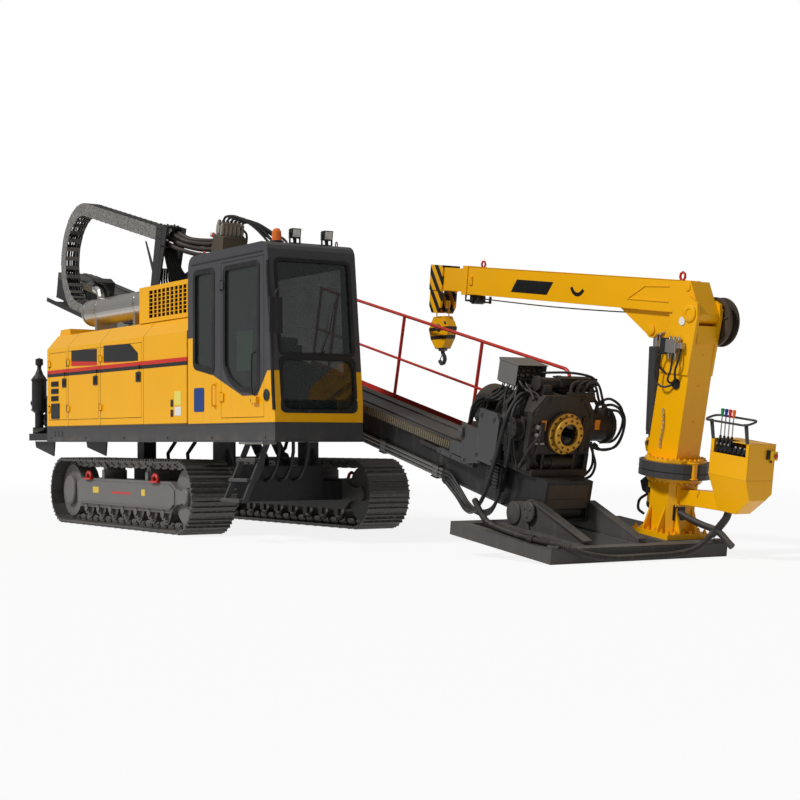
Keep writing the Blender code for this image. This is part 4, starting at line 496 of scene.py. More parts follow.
# Track frames: welded box beams painted grey, with flanged rollers below and above, a smooth idler
# in front and a toothed sprocket round the drive's cover at the rear.
ROLLER_STATIONS = [sprocket_x + 0.62 + 0.41 * number for number in range(7)]
frame_outer = track_middle + 0.18
FRAME_MARKS = {
    "red": ((0.55, 0.03, 0.02), [(-2.25, -1.63, 0.435, 0.462)]),
    "yellow": ((0.72, 0.5, 0.05), [(-2.88, -2.68, 0.43, 0.51), (-1.29, -1.18, 0.43, 0.51)]),
}
frame_paint = enamel("track_frame_enamel", (0.14, 0.136, 0.13), 0.45, dust=0.2, wear=0.4)
dress("track_frame_right", frame_paint)
dress("track_frame_left", frame_paint)
inner_radius = track_radius - SHOE_PLATE - 0.082
for side, label in ((-1, "right"), (1, "left")):
    face = side * frame_outer
    running = Form(carrier)
    for x in ROLLER_STATIONS:
        running.turned((x, side * (track_middle - 0.14), wheel_z - inner_radius + 0.1), (0, side, 0),
                       capped((0, 0.1), (0.02, 0.118), (0.05, 0.118), (0.055, 0.098), (0.225, 0.098),
                              (0.23, 0.118), (0.26, 0.118), (0.28, 0.1), (0.28, 0.055), (0.33, 0.05)), 24)
    running.turned((IDLER_X, side * (track_middle - 0.09), wheel_z), (0, side, 0),
                   capped((0, 0.29), (0.025, inner_radius - 0.02), (0.065, inner_radius - 0.02),
                          (0.07, inner_radius + 0.03), (0.11, inner_radius + 0.03),
                          (0.115, inner_radius - 0.02), (0.155, inner_radius - 0.02), (0.18, 0.29),
                          (0.18, 0.12), (0.22, 0.11)), 40)
    teeth = []
    TEETH = 21
    for tooth in range(TEETH):
        for share, reach in ((0.1, -0.012), (0.32, 0.045), (0.55, 0.045), (0.78, -0.012)):
            angle = (tooth + share) * tau / TEETH
            teeth.append((sprocket_x + (inner_radius + reach) * cos(angle),
                          wheel_z + (inner_radius + reach) * sin(angle)))
    low, high = sorted((side * (track_middle - 0.035), side * (track_middle + 0.035)))
    running.prism(teeth, "y", low, high)
    running.finish(f"track_rollers_{label}", worn_steel, "carrier", "bare_steel", 0)
    casing = Form(carrier)
    low, high = sorted((face - side * 0.01, face + side * 0.012))
    cover = [(sprocket_x + 0.42, 0.285), (IDLER_X - 0.36, 0.285), (IDLER_X - 0.27, 0.34),
             (IDLER_X - 0.27, 0.52),
             (IDLER_X - 0.42, 0.585), (sprocket_x + 0.5, 0.585), (sprocket_x + 0.42, 0.53)]
    casing.prism(cover, "y", low, high)
    drive_low = side * (track_middle + 0.04)
    casing.turned((sprocket_x, drive_low, wheel_z), (0, side, 0),
                  [(0, 0), (0, 0.27), (0.05, 0.27), (0.06, 0.2), (0.13, 0.2), (0.15, 0.175), (0.16, 0)], 40)
    casing.turned((IDLER_X, side * (frame_outer - 0.06), wheel_z), (0, side, 0),
                  [(0, 0), (0, 0.1), (0.06, 0.1), (0.075, 0.085), (0.08, 0)], 28)
    casing.bolts(bolt_circle(sprocket_x, drive_low + side * 0.05, wheel_z, 0.245, 14, "y"), (0, side, 0),
                 0.013, 0.014)
    lip = [(sprocket_x + 0.42, 0.3), (sprocket_x + 0.42, 0.285), (IDLER_X - 0.36, 0.285),
           (IDLER_X - 0.27, 0.34), (IDLER_X - 0.28, 0.352), (IDLER_X - 0.365, 0.3)]
    casing.prism(lip, "y", *sorted((face, face + side * 0.035)))
    casing.finish(f"track_covers_{label}", frame_paint, "carrier", "grey_paint", 0.003)
    for mark, (color, spans) in FRAME_MARKS.items():
        plates = Form(carrier)
        low, high = sorted((face + side * 0.0121, face + side * 0.0135))
        for x_low, x_high, z_low, z_high in spans:
            plates.block((x_low, low, z_low), (x_high, high, z_high))
        plate_paint = enamel(f"frame_plate_{mark}", color, 0.4, dust=0.12, wear=0.2)
        plates.finish(f"frame_plates_{mark}_{label}", plate_paint, "carrier", "yellow_paint", 0)
    hooks = Form(carrier)
    for x in (-3.01, -0.86):
        hooks.tube([(x - 0.1, face, 0.61), (x - 0.075, face + side * 0.01, 0.675),
                    (x - 0.03, face + side * 0.012, 0.7),
                    (x + 0.03, face + side * 0.012, 0.69), (x + 0.06, face + side * 0.01, 0.65),
                    (x + 0.055, face, 0.605)], 0.022)
        hooks.block((x - 0.11, face - 0.05, 0.6), (x + 0.11, face + 0.02, 0.625))
    hooks.finish(f"tie_down_hooks_{label}", red_paint, "carrier", "red_paint")


# Undercarriage: a welded car body between the track frames, four pillars under the deck, and the
# feet of the lift cylinders. Grey enamel, with hydraulic lines clipped along it.
dress("undercarriage_frame", grey_paint)
DECK_TOP = 1.31
DECK_BOTTOM = 1.1
lines_below = Form(carrier)
for number in range(4):
    y = -0.3 + 0.2 * number
    lines_below.tube([(-0.44, y, 0.62), (-0.3, y, 0.66), (-0.16, y, 0.8), (-0.1, y, 0.98),
                      (-0.1, y, DECK_BOTTOM)], 0.022)
for y in (-0.66, 0.66):
    for x in (-2.1, -1.5):
        lines_below.tube([(x, y, 0.8), (x, y * 1.02, 0.95), (x + 0.12, y * 1.03, 1.02),
                          (x + 0.2, y, DECK_BOTTOM)], 0.024)
lines_below.finish("undercarriage_hoses", black_paint, "carrier", "black_parts", 0)
body_plates = Form(carrier)
for x in (-2.95, -0.62):
    for y in (-0.6, 0.6):
        for side in (-1, 1):
            body_plates.prism([(x + side * 0.11, 0.8), (x + side * 0.26, 0.8), (x + side * 0.11, 1.02)],
                              "y", y - 0.012, y + 0.012)
for y in (-0.72, 0.72):
    body_plates.bolts([(-2.9 + 0.32 * number, y, 0.5) for number in range(8)], (0, y, 0), 0.018, 0.014)
body_plates.finish("undercarriage_gussets", grey_paint, "carrier", "grey_paint")


# Deck: folded plate with a deep grey skirt. The skirt has a turned lip, jacking holes with caps
# and small lashing rings, and it's dirtier towards its lower edge.
SIDE_Y = -1.5
DECK_FRONT = 2.42
CAB_INNER_Y = -0.42


def deck_marks(paint, x, y, z):
    low_dirt = (1 - z.step(1.1, 1.26)) * paint_cloud(x, y, z)
    return [(low_dirt * 0.55, (0.13, 0.115, 0.095))]


def paint_cloud(x, y, z):
    place = x.add("ShaderNodeCombineXYZ", None, {0: x, 1: y, 2: z})
    return place.noise(4, 4).step(0.42, 0.72)


dress("deck", enamel("deck_enamel", (0.052, 0.051, 0.053), 0.4, dust=0.08, wear=0.3, marks=deck_marks))
skirt = Form(carrier)
skirt.block((DECK_REAR, SIDE_Y - 0.004, DECK_BOTTOM), (DECK_FRONT + 0.004, SIDE_Y, DECK_BOTTOM + 0.02))
skirt.block((DECK_REAR, SIDE_Y - 0.004, DECK_TOP - 0.014), (DECK_FRONT + 0.004, SIDE_Y, DECK_TOP))
skirt.block((DECK_FRONT, SIDE_Y - 0.004, DECK_BOTTOM),
            (DECK_FRONT + 0.004, CAB_INNER_Y, DECK_BOTTOM + 0.02))
skirt.block((DECK_FRONT, SIDE_Y - 0.004, DECK_TOP - 0.014), (DECK_FRONT + 0.004, CAB_INNER_Y, DECK_TOP))
for x in (-4.03, -3.9, -3.77):
    skirt.block((x - 0.035, SIDE_Y - 0.005, 1.17), (x + 0.035, SIDE_Y, 1.25))
for x in (-4.15, -2.9, -1.6, -0.3, 0.9, 2.2):
    skirt.bolts([(x, SIDE_Y, DECK_BOTTOM + 0.05)], OUTWARD, 0.013, 0.009)
skirt.finish("deck_lips", grey_paint, "carrier", "grey_paint", 0.0015)
caps = Form(carrier)
for side in (-1, 1):
    caps.turned((0.95, 0.18 + side * 0.2703, 1.25), (0, side, 0),
                capped((0, 0.078), (0.004, 0.078), (0.012, 0.066)), 28)
caps.finish("hinge_washers", plated_steel, "carrier", "bare_steel", 0)


# Engine house: pressed yellow panels over a frame, with painted shade in the seams between them and along
# their foot, a red and black coach line, flush latches and a louvred stack by the rear corner.
HOUSE_ROOF = 2.58
HOUSE_FRONT = 0.24
SEAMS = (-3.52, -2.38, -1)
RED = (0.6, 0.022, 0.012)
BLACK = (0.012, 0.012, 0.013)


def house_marks(paint, x, y, z):
    """Coach line on the outer side, and painted shade in the seams between panels and along the foot."""
    outer_side = 1 - y.step(-1.49, -1.485)
    seam_shade = None
    for seam in SEAMS:
        line = x.band(seam - 0.006 + shift_x, seam + 0.006 + shift_x)
        seam_shade = line if seam_shade is None else seam_shade + line
    foot_shade = z.band(1.3, 1.322)
    # Seams and foot line: painted shade, the yellow darkened as it is in a gap.
    return [(seam_shade * 0.85, (0.06, 0.03, 0.004)), (foot_shade * 0.8, (0.06, 0.03, 0.004)),
            (outer_side * z.band(2.045, 2.093), RED), (outer_side * z.band(1.998, 2.045), BLACK)]


house_paint = enamel("house_enamel", YELLOW, 0.32, dust=0.03, wear=0.1, coat=0.06, worn=(0.3, 0.16, 0.03),
                     marks=house_marks)
for node in ("engine_house", "rear_service_door", "engine_door_rear", "engine_door_front"):
    dress(node, house_paint)
dress("engine_block", black_paint)
house = Form(carrier)
house.prism([(-4.3, HOUSE_ROOF - 0.02), (-3.86, HOUSE_ROOF - 0.02), (-3.9, HOUSE_ROOF + 0.085),
             (-4.24, HOUSE_ROOF + 0.085)], "y", -1.33, -0.66)
for y in (-1.3, -0.6):
    house.block((-4.3, y, HOUSE_ROOF), (HOUSE_FRONT - 0.02, y + 0.015, HOUSE_ROOF + 0.006))
house.block((-3.61, -0.76, HOUSE_ROOF), (-2.99, -0.62, HOUSE_ROOF + 0.02))
house.block((-4.324, -1.44, 1.4), (DECK_REAR, -0.52, 2.3))
house.finish("house_pressings", house_paint, "carrier", "yellow_paint", 0.006)
fittings = Form(carrier)
for x in (-3.66, -2.545, -1.15):
    fittings.block((x - 0.07, SIDE_Y - 0.012, 1.845), (x + 0.07, SIDE_Y - 0.001, 1.965))
    fittings.block((x - 0.018, SIDE_Y - 0.022, 1.87), (x + 0.018, SIDE_Y - 0.01, 1.94))
for z in (1.9, 1.8, 1.7):
    fittings.block((-4.15, SIDE_Y - 0.008, z - 0.035), (-3.88, SIDE_Y - 0.001, z + 0.035))
    for number in range(5):
        fittings.block((-4.14 + 0.05 * number, SIDE_Y - 0.014, z - 0.025),
                       (-4.115 + 0.05 * number, SIDE_Y - 0.006, z + 0.025))
fittings.block((-4.14, SIDE_Y - 0.012, 1.42), (-3.84, SIDE_Y - 0.001, 1.63))
fittings.bolts([(x, SIDE_Y - 0.012, z) for x in (-4.11, -3.87) for z in (1.45, 1.6)], OUTWARD, 0.01, 0.006)
for z in (1.56, 2.17):
    for x in (-3.56, -4.22):
        fittings.block((x - 0.012, SIDE_Y - 0.013, z - 0.045), (x + 0.012, SIDE_Y - 0.001, z + 0.045))
for z in (1.44, 1.56):
    fittings.block((-0.2, SIDE_Y - 0.006, z - 0.042), (-0.13, SIDE_Y - 0.001, z + 0.042))
rings = [(-3 + 0.5 * number, -0.46, 2) for number in range(6)]
fittings.bolts(rings, INWARD, 0.012, 0.008)
fittings.finish("house_fittings", black_paint, "carrier", "black_parts", 0.0015)
plates = Form(carrier)
plates.prism([(-3.4, 2.125), (-2.5, 2.1), (-2.5, 2.315), (-3.4, 2.335)], "y", SIDE_Y - 0.004,
             SIDE_Y - 0.0005)
plates.prism([(-2.27, 2.12), (-1.17, 2.105), (-1.17, 2.2), (-1.42, 2.33), (-2.27, 2.345)], "y",
             SIDE_Y - 0.004, SIDE_Y - 0.0005)
plates.finish("house_blank_plates",
              enamel("plate_black", BLACK, 0.25, dust=0.02, wear=0.05, marks=lambda paint, x, y, z: [
    (1 - (z + x * 0.045).step(2.045, 2.06), RED)]), "carrier", "black_parts", 0.001)
labels = Form(carrier)
labels.block((-0.1, SIDE_Y - 0.002, 1.535), (0.085, SIDE_Y - 0.0005, 1.7))
labels.block((-0.09, SIDE_Y - 0.002, 1.41), (0.085, SIDE_Y - 0.0005, 1.515))
labels.finish("house_blank_labels",
              enamel("label_pale", (0.78, 0.66, 0.12), 0.4, dust=0.04, wear=0.02, marks=lambda paint, x, y,
                     z: [
    (1 - z.step(1.522, 1.526), (0.75, 0.74, 0.7))]), "carrier", "yellow_paint", 0)


# Exhaust: a silencer in brushed stainless sheet, its end caps rolled over the shell. The pipe has
# heat colours, and a black cowl hangs over it.
def brushed_marks(paint, x, y, z):
    grain = paint.add("ShaderNodeCombineXYZ", None, {0: x, 1: y, 2: z}).noise(14, 5, (40, 1.2, 1.2))
    return [(grain.step(0.35, 0.75) * 0.5, (0.66, 0.63, 0.58)),
            (x.band(-3.46 + shift_x, -3.32 + shift_x, 0.08) * 0.35, (0.5, 0.36, 0.22))]


silver = enamel("brushed_steel", (0.5, 0.485, 0.46), 0.3, dust=0.04, wear=0.1, metallic=0.95,
                marks=brushed_marks, peel=0.0003)
dress("exhaust_muffler", silver)
MUFFLER_Y = -1.04
MUFFLER_Z = 2.88
exhaust = Form(carrier)
exhaust.turned((-3.755, MUFFLER_Y, MUFFLER_Z), AHEAD,
               capped((0, 0.15), (0.012, 0.168), (0.012, 0.188), (0.034, 0.188), (0.034, 0.1)), 48)
exhaust.turned((-1.66, MUFFLER_Y, MUFFLER_Z), AHEAD,
               [(0, 0), (0, 0.188), (0.022, 0.188), (0.022, 0.16), (0.03, 0)], 48)
for x in (-3.308, -2.012):
    exhaust.turned((x - 0.022, MUFFLER_Y, MUFFLER_Z), AHEAD, hoop(0.179, 0.184, 0.044), 48)
    exhaust.rod((x, MUFFLER_Y - 0.2, MUFFLER_Z + 0.03), (x, MUFFLER_Y - 0.2, MUFFLER_Z - 0.05), 0.007, 8)
    exhaust.block((x - 0.022, MUFFLER_Y - 0.21, MUFFLER_Z - 0.012),
                  (x + 0.022, MUFFLER_Y - 0.178, MUFFLER_Z - 0.006))
exhaust.finish("muffler_rims", silver, "carrier", "silver_muffler", 0.0015)
cowl = Form(carrier)
cowl.prism([(-3.86, 3.295), (-3.56, 3.35), (-3.42, 3.28), (-3.42, 3.265), (-3.56, 3.335), (-3.86, 3.28)],
           "y", -1.12, -0.86)
cowl.prism([(-3.86, 3.29), (-3.56, 3.34), (-3.42, 3.27), (-3.46, 3.11), (-3.62, 3.07)], "y", -0.875, -0.862)
cowl.rod((-3.56, -0.868, 2.59), (-3.56, -0.868, 3.15), 0.018, 12)
cowl.finish("exhaust_cowl", black_paint, "carrier", "black_parts", 0.002)


# Air intake: a yellow housing over the radiator. Its outer side is a grating of square holes beside a
# plain panel, in a folded rim.
INTAKE_LOW = (-1.45, -1.36, HOUSE_ROOF + 0.0003)
INTAKE_HIGH = (0.1, -0.56, 3.03)
intake = Form(carrier)
RIM = 0.055
x0, y0, z0 = INTAKE_LOW
x1, y1, z1 = INTAKE_HIGH
intake.block((x0, y0, z1 - 0.03), (x1, y1, z1))
intake.block((x0, y0, z0), (x0 + 0.03, y1, z1 - 0.03))
intake.block((x1 - 0.03, y0, z0), (x1, y1, z1 - 0.03))
intake.block((x0 + 0.03, y1 - 0.03, z0), (x1 - 0.03, y1, z1 - 0.03))
intake.block((x0 + 0.03, y0, z0), (x1 - 0.03, y0 + 0.012, z0 + RIM))
intake.block((x0 + 0.03, y0, z1 - 0.03 - RIM / 2), (x1 - 0.03, y0 + 0.012, z1 - 0.03))
PILLAR = 0.3
intake.block((x0 + 0.03, y0, z0 + RIM), (x0 + PILLAR, y0 + 0.012, z1 - 0.03 - RIM / 2))
COLUMNS = 10
UPRIGHT, BAR = 0.017, 0.0045
grid_step = (x1 - 0.03 - x0 - PILLAR) / COLUMNS
for number in range(1, COLUMNS):
    x = x0 + PILLAR + number * grid_step
    intake.block((x - UPRIGHT, y0 + 0.001, z0 + RIM), (x + UPRIGHT, y0 + 0.012, z1 - 0.03 - RIM / 2))
GRID = 0.046
rows = int((z1 - z0 - RIM * 1.5 - 0.03) / GRID)
row_step = (z1 - z0 - RIM * 1.5 - 0.03) / rows
for number in range(1, rows):
    z = z0 + RIM + number * row_step
    intake.block((x0 + PILLAR, y0 + 0.006, z - BAR), (x1 - 0.03, y0 + 0.011, z + BAR))
screen = intake.finish("intake_grating", yellow_paint, "carrier", "yellow_paint", 0)
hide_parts("intake_box")
core = Form(carrier)
core.block((x0 + 0.04, y0 + 0.1, z0), (x1 - 0.04, y0 + 0.14, z1 - 0.05))
for number in range(60):
    x = x0 + 0.06 + number * 0.0285
    core.block((x, y0 + 0.085, z0 + 0.02), (x + 0.008, y0 + 0.1, z1 - 0.07))
core.finish("radiator_core", black_paint, "carrier", "black_parts", 0)


# Cab: a pressed shell, dark grey above and yellow below a stepped line. The panes are bonded in
# black rubber, and the door hangs on lift-off hinges.
CAB_REAR = 0.275
CAB_ROOF = 3.25
WAIST = 1.86
RAKE_FOOT = 1.55
CAB_RAKE = 0.17
ROOF_BEND = 0.14
CAB_GREY = (0.05, 0.049, 0.054)


def line_at(x, first, second):
    """Height of the line through two points of the layout."""
    slope = (second[1] - first[1]) / (second[0] - first[0])
    return x * slope + (first[1] - slope * (first[0] + shift_x))


def waist_line(paint, x):
    """The step in the cab's two colours, as a height along the cab."""
    rear = paint.math("MINIMUM", line_at(x, (0.429, 2.266), (0.455, 2.103)), 2.3)
    front = paint.math("MINIMUM", line_at(x, (2.023, 1.604), (2.23, 1.844)), WAIST)
    height = paint.math("MAXIMUM", rear, front)
    for first, second in (((0.455, 2.103), (0.588, 1.971)), ((0.588, 1.971), (1.67, 1.602)),
                          ((1.67, 1.603), (2.02, 1.603))):
        height = paint.math("MAXIMUM", height, line_at(x, first, second))
    return height


def cab_marks(paint, x, y, z):
    return [((waist_line(paint, x) - z).step(-0.002, 0.002), YELLOW)]


cab_paint = enamel("cab_enamel", CAB_GREY, 0.34, dust=0.07, wear=0.08, coat=0.2, marks=cab_marks)
dress("cab_shell", cab_paint)
dress("cab_door", cab_paint)
glass, glass_tree, glass_shader = bare_material("tinted_glass")[:3]
pane = Wire(glass_tree).add("ShaderNodeTexCoord", None, None, "Object")
smear = pane.noise(3, 4, (1, 1, 0.4))
glass_tree.links.new((smear.step(0.4, 0.8) * 0.06 + 0.03).socket, glass_shader.inputs["Roughness"])
glass_tree.links.new((smear.step(0.45, 0.85) * 0.07 + 0.6).socket, glass_shader.inputs["Alpha"])
glass_shader.inputs["Base Color"].default_value = (0.022, 0.03, 0.028, 1)
glass_shader.inputs["Coat Weight"].default_value = 0.5
glass_shader.inputs["Coat Roughness"].default_value = 0.02
for node in ("windscreen_lower", "windscreen_upper", "quarter_window", "left_window", "rear_window",
             "cab_door_window"):
    dress(node, glass)


def rounded(outline, radius, steps=5):
    """An outline with its corners rounded."""
    points = []
    for i, corner in enumerate(outline):
        corner = Vector(corner)
        before = Vector(outline[i - 1]) - corner
        after = Vector(outline[(i + 1) % len(outline)]) - corner
        reach = min(radius, before.length * 0.45, after.length * 0.45)
        start, end = corner + before.normalized() * reach, corner + after.normalized() * reach
        for step in range(steps + 1):
            t = step / steps
            points.append(tuple(start * (1 - t) ** 2 + corner * (2 * t * (1 - t)) + end * t ** 2))
    return points


def grown(outline, amount):
    """A closed outline moved outwards, or inwards by a negative amount."""
    area = sum(a[0] * b[1] - b[0] * a[1] for a, b in zip(outline, outline[1:] + outline[:1]))
    sign = 1 if area > 0 else -1
    moved = []
    for i, point in enumerate(outline):
        before, here, after = Vector(outline[i - 1]), Vector(point), Vector(outline[(i + 1) % len(outline)])
        first, second = (here - before).normalized(), (after - here).normalized()
        normal = Vector((first.y + second.y, -first.x - second.x)).normalized()
        lean = max(0.35, normal.dot(Vector((first.y, -first.x))))
        moved.append(tuple(here + normal * (sign * amount / lean)))
    return moved


def collar(form, outer, inner, low, high, turn):
    """A flat ring between two outlines with as many points, placed by turn(u, v, w)."""
    count = len(outer)
    points = [turn(u, v, w) for w in (low, high) for loop in (outer, inner) for u, v in loop]
    faces = []
    for i in range(count):
        j = (i + 1) % count
        faces += [(i, j, count + j, count + i),
                  (2 * count + i, 2 * count + j, 3 * count + j, 3 * count + i),
                  (i, j, 2 * count + j, 2 * count + i),
                  (count + i, count + j, 3 * count + j, 3 * count + i)]
    form.add(points, faces)


def front_at(z):
    share = max(0, (z - RAKE_FOOT) / (CAB_ROOF - ROOF_BEND - RAKE_FOOT))
    return DECK_FRONT - CAB_RAKE * share


def on_side(u, v, w):
    return (u, w, v)


def on_front(u, v, w):
    return (front_at(v) + w, u, v)


rubber = enamel("black_rubber", (0.012, 0.012, 0.013), 0.55, dust=0.12, wear=0.05, worn=(0.03, 0.03, 0.03),
                peel=0.001)
seals = Form(carrier)
QUARTER = rounded([(0.46, 1.98), (0.93, 1.9), (0.93, 3.03), (0.46, 3.03)], 0.05)
DOOR_WINDOW = rounded([(1.23, 1.95), (1.36, 1.8), (1.59, 1.69), (1.99, 1.66), (2.03, 1.72), (2.03, 3.02),
                       (1.23, 3.02)], 0.05)
LEFT_WINDOW = rounded([(0.45, 1.95), (2.1, 1.8), (2.02, 3.03), (0.45, 3.03)], 0.06)
collar(seals, grown(QUARTER, 0.045), grown(QUARTER, -0.014), SIDE_Y - 0.006, SIDE_Y + 0.02, on_side)
collar(seals, grown(LEFT_WINDOW, 0.03), grown(LEFT_WINDOW, -0.014), CAB_INNER_Y - 0.02, CAB_INNER_Y + 0.006,
       on_side)
for low_z, high_z in ((1.43, 1.99), (2.04, 3.05)):
    lower = low_z < 1.5
    corner = [(-1.41, low_z), (-0.51, low_z), (-0.51, high_z), (-1.41, high_z)]
    outline = rounded(corner, 0.13 if lower else 0.05)
    collar(seals, grown(rounded(corner, 0.05), 0.022), grown(outline, -0.016), -0.022, 0.006, on_front)
seals.finish("cab_seals", rubber, "carrier", "black_parts", 0.0015)
door_seal = Form(carrier)
collar(door_seal, grown(DOOR_WINDOW, 0.04), grown(DOOR_WINDOW, -0.014), SIDE_Y - 0.006, SIDE_Y + 0.02,
       on_side)
door_seal.finish("cab_door_seal", rubber, "cab_door", "black_parts", 0.0015)
door_parts = Form(carrier)
door_parts.turned((1.9, SIDE_Y - 0.001, 1.55), OUTWARD, capped((0, 0.03), (0.012, 0.03), (0.018, 0.02)), 20)
door_parts.tube([(1.99, SIDE_Y - 0.01, 1.6), (1.99, SIDE_Y - 0.05, 1.62), (1.985, SIDE_Y - 0.055, 1.7),
                 (1.985, SIDE_Y - 0.055, 1.98),
                 (1.99, SIDE_Y - 0.05, 2.05), (1.99, SIDE_Y - 0.01, 2.07)], 0.009)
door_parts.finish("cab_door_handle", black_paint, "cab_door", "black_parts", 0.001)
rail = Form(carrier)
rail.tube([(1, SIDE_Y - 0.004, 1.5), (1, SIDE_Y - 0.045, 1.51), (1, SIDE_Y - 0.05, 1.55),
           (1, SIDE_Y - 0.05, 1.7),
           (1, SIDE_Y - 0.045, 1.74), (1, SIDE_Y - 0.004, 1.75)], 0.011)
for z in (1.485, 1.735):
    rail.block((0.965, SIDE_Y - 0.004, z), (1.035, SIDE_Y - 0.001, z + 0.03))
rail.finish("cab_grab_rail", yellow_paint, "carrier", "yellow_paint", 0.001)
trim = Form(carrier)
trim.tube([(2.262, SIDE_Y - 0.006, 3.03), (2.275, SIDE_Y - 0.014, 2.92), (2.36, SIDE_Y - 0.014, 2.2),
           (2.402, SIDE_Y - 0.014, 1.62), (2.408, SIDE_Y - 0.006, 1.44)], 0.019, 12)
trim.turned((2.235, SIDE_Y - 0.004, 1.6), OUTWARD,
            capped((0, 0.062), (0.006, 0.066), (0.01, 0.058), (0.006, 0.048)), 28)
for y in (SIDE_Y - 0.006, CAB_INNER_Y - 0.01):
    trim.block((CAB_REAR + 0.1, y, 3.135), (2.14, y + 0.016, 3.15))
trim.tube([(2.285, -0.9, 2.05), (2.36, -0.9, 2.055), (2.352, -0.8, 2.3), (2.33, -0.72, 2.62)], 0.006, 8)
trim.block((2.365, -0.915, 2.035), (2.395, -0.885, 2.075))
trim.finish("cab_trim", black_paint, "carrier", "black_parts", 0.001)
roof = Form(carrier)
roof.block((0.55, -1.35, CAB_ROOF), (1.8, -0.57, CAB_ROOF + 0.01))
roof.prism(rounded([(0.7, -1.2), (1.35, -1.2), (1.35, -0.72), (0.7, -0.72)], 0.08), "z", CAB_ROOF + 0.01,
           CAB_ROOF + 0.032)
roof.finish("cab_roof_panel", enamel("roof_enamel", CAB_GREY, 0.4, dust=0.14, wear=0.1), "carrier",
            "grey_paint", 0.006)
eyes = Form(carrier)
for x, y in ((0.42, -1.36), (0.42, -0.56), (2.02, -0.52)):
    eyes.block((x - 0.03, y - 0.03, CAB_ROOF), (x + 0.03, y + 0.03, CAB_ROOF + 0.008))
    eyes.tube([(x - 0.018, y, CAB_ROOF + 0.004), (x - 0.022, y, CAB_ROOF + 0.03),
               (x - 0.014, y, CAB_ROOF + 0.052), (x, y, CAB_ROOF + 0.06),
               (x + 0.014, y, CAB_ROOF + 0.052), (x + 0.022, y, CAB_ROOF + 0.03),
               (x + 0.018, y, CAB_ROOF + 0.004)], 0.007, 8)
eyes.finish("cab_lifting_eyes", red_paint, "carrier", "red_paint", 0)
papers = Form(carrier)
papers.block((1.46, SIDE_Y + 0.032, 1.88), (1.84, SIDE_Y + 0.0335, 2.32))
papers.finish("door_blank_sheet", enamel("green_sheet", (0.33, 0.66, 0.45), 0.6, dust=0, wear=0),
              "cab_door", "cab_glass", 0)
badge = Form(carrier)
badge.prism(rounded([(0.44, 1.445), (0.71, 1.445), (0.71, 1.72), (0.44, 1.72)], 0.03), "y", SIDE_Y - 0.003,
            SIDE_Y - 0.0005)
badge.finish("cab_blank_plate", enamel("blue_plate", (0.008, 0.045, 0.2), 0.3, dust=0.03, wear=0.03),
             "carrier", "black_parts", 0.0008)


# Inside the cab: a sprung seat with sewn vinyl cushions, arm consoles with joysticks, a display on
# a stalk and a floor mat.
seat_vinyl = enamel("seat_vinyl", (0.022, 0.022, 0.024), 0.62, dust=0.05, wear=0.05, peel=0.004,
                    worn=(0.05, 0.05, 0.05))
dress("cab_controls", black_paint)
CAB_FLOOR = DECK_TOP + 0.056
SEAT_X, SEAT_Y = 1.05, -0.96


def cushion(name, low, high, crown, axis, lean=0):
    """A stuffed form between two corners: crowned on one axis, its sides drawn in at the corners."""
    low, high = Vector(low), Vector(high)
    middle, half = (low + high) / 2, (high - low) / 2
    work = bmesh.new()
    bmesh.ops.create_cube(work, size=2)
    bmesh.ops.subdivide_edges(work, edges=work.edges, cuts=9, use_grid_fill=True)
    others = [index for index in range(3) if index != axis]
    for vertex in work.verts:
        at = Vector(vertex.co)
        u, v = at[others[0]], at[others[1]]
        swell = (1 - u * u) * (1 - v * v)
        pull = 1 - 0.05 * (u * u) * (v * v)
        channel = 0.004 * cos(u * 3 * pi)
        place = Vector((0, 0, 0))
        for index, value in zip(others, (u, v)):
            place[index] = value * half[index] * pull * (1 - 0.05 * at[axis] * at[axis])
        place[axis] = at[axis] * (half[axis] * (0.8 + 0.2 * swell)
                                  + (crown * swell + channel * swell if at[axis] > 0 else 0))
        vertex.co = middle + place
        vertex.co.x -= lean * (vertex.co.z - low.z)
    work.transform(carrier)
    mesh = bpy.data.meshes.new(name)
    work.to_mesh(mesh)
    work.free()
    mesh.shade_smooth()
    mesh.materials.append(seat_vinyl)
    thing = bpy.data.objects.new(name, mesh)
    bpy.context.collection.objects.link(thing)
    rounding = thing.modifiers.new("rounding", "SUBSURF")
    rounding.levels = rounding.render_levels = 1
    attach(thing, "carrier")
    return thing


seat_base = Form(carrier)
for level in range(6):
    z = CAB_FLOOR + 0.02 + 0.042 * level
    inset = 0.012 * (level % 2)
    seat_base.block((SEAT_X - 0.17 + inset, SEAT_Y - 0.17 + inset, z),
                    (SEAT_X + 0.17 - inset, SEAT_Y + 0.17 - inset, z + 0.042))
seat_base.block((SEAT_X - 0.2, SEAT_Y - 0.2, CAB_FLOOR), (SEAT_X + 0.2, SEAT_Y + 0.2, CAB_FLOOR + 0.022))
seat_base.block((SEAT_X - 0.22, SEAT_Y - 0.23, CAB_FLOOR + 0.27),
                (SEAT_X + 0.24, SEAT_Y + 0.23, CAB_FLOOR + 0.3))
seat_base.prism([(SEAT_X - 0.25, CAB_FLOOR + 0.3), (SEAT_X - 0.2, CAB_FLOOR + 0.3),
                 (SEAT_X - 0.3, CAB_FLOOR + 1.05), (SEAT_X - 0.33, CAB_FLOOR + 1.05)], "y", SEAT_Y - 0.2,
                 SEAT_Y + 0.2)
base = seat_base.finish("seat_base", black_paint, "carrier", "black_parts", 0.004)
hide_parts("operator_seat")
cushion("seat_cushion", (SEAT_X - 0.22, SEAT_Y - 0.25, CAB_FLOOR + 0.3),
        (SEAT_X + 0.28, SEAT_Y + 0.25, CAB_FLOOR + 0.41), 0.018, 2)
cushion("seat_back", (SEAT_X - 0.185, SEAT_Y - 0.23, CAB_FLOOR + 0.4),
        (SEAT_X - 0.075, SEAT_Y + 0.23, CAB_FLOOR + 0.94), 0.02, 0, 0.13)
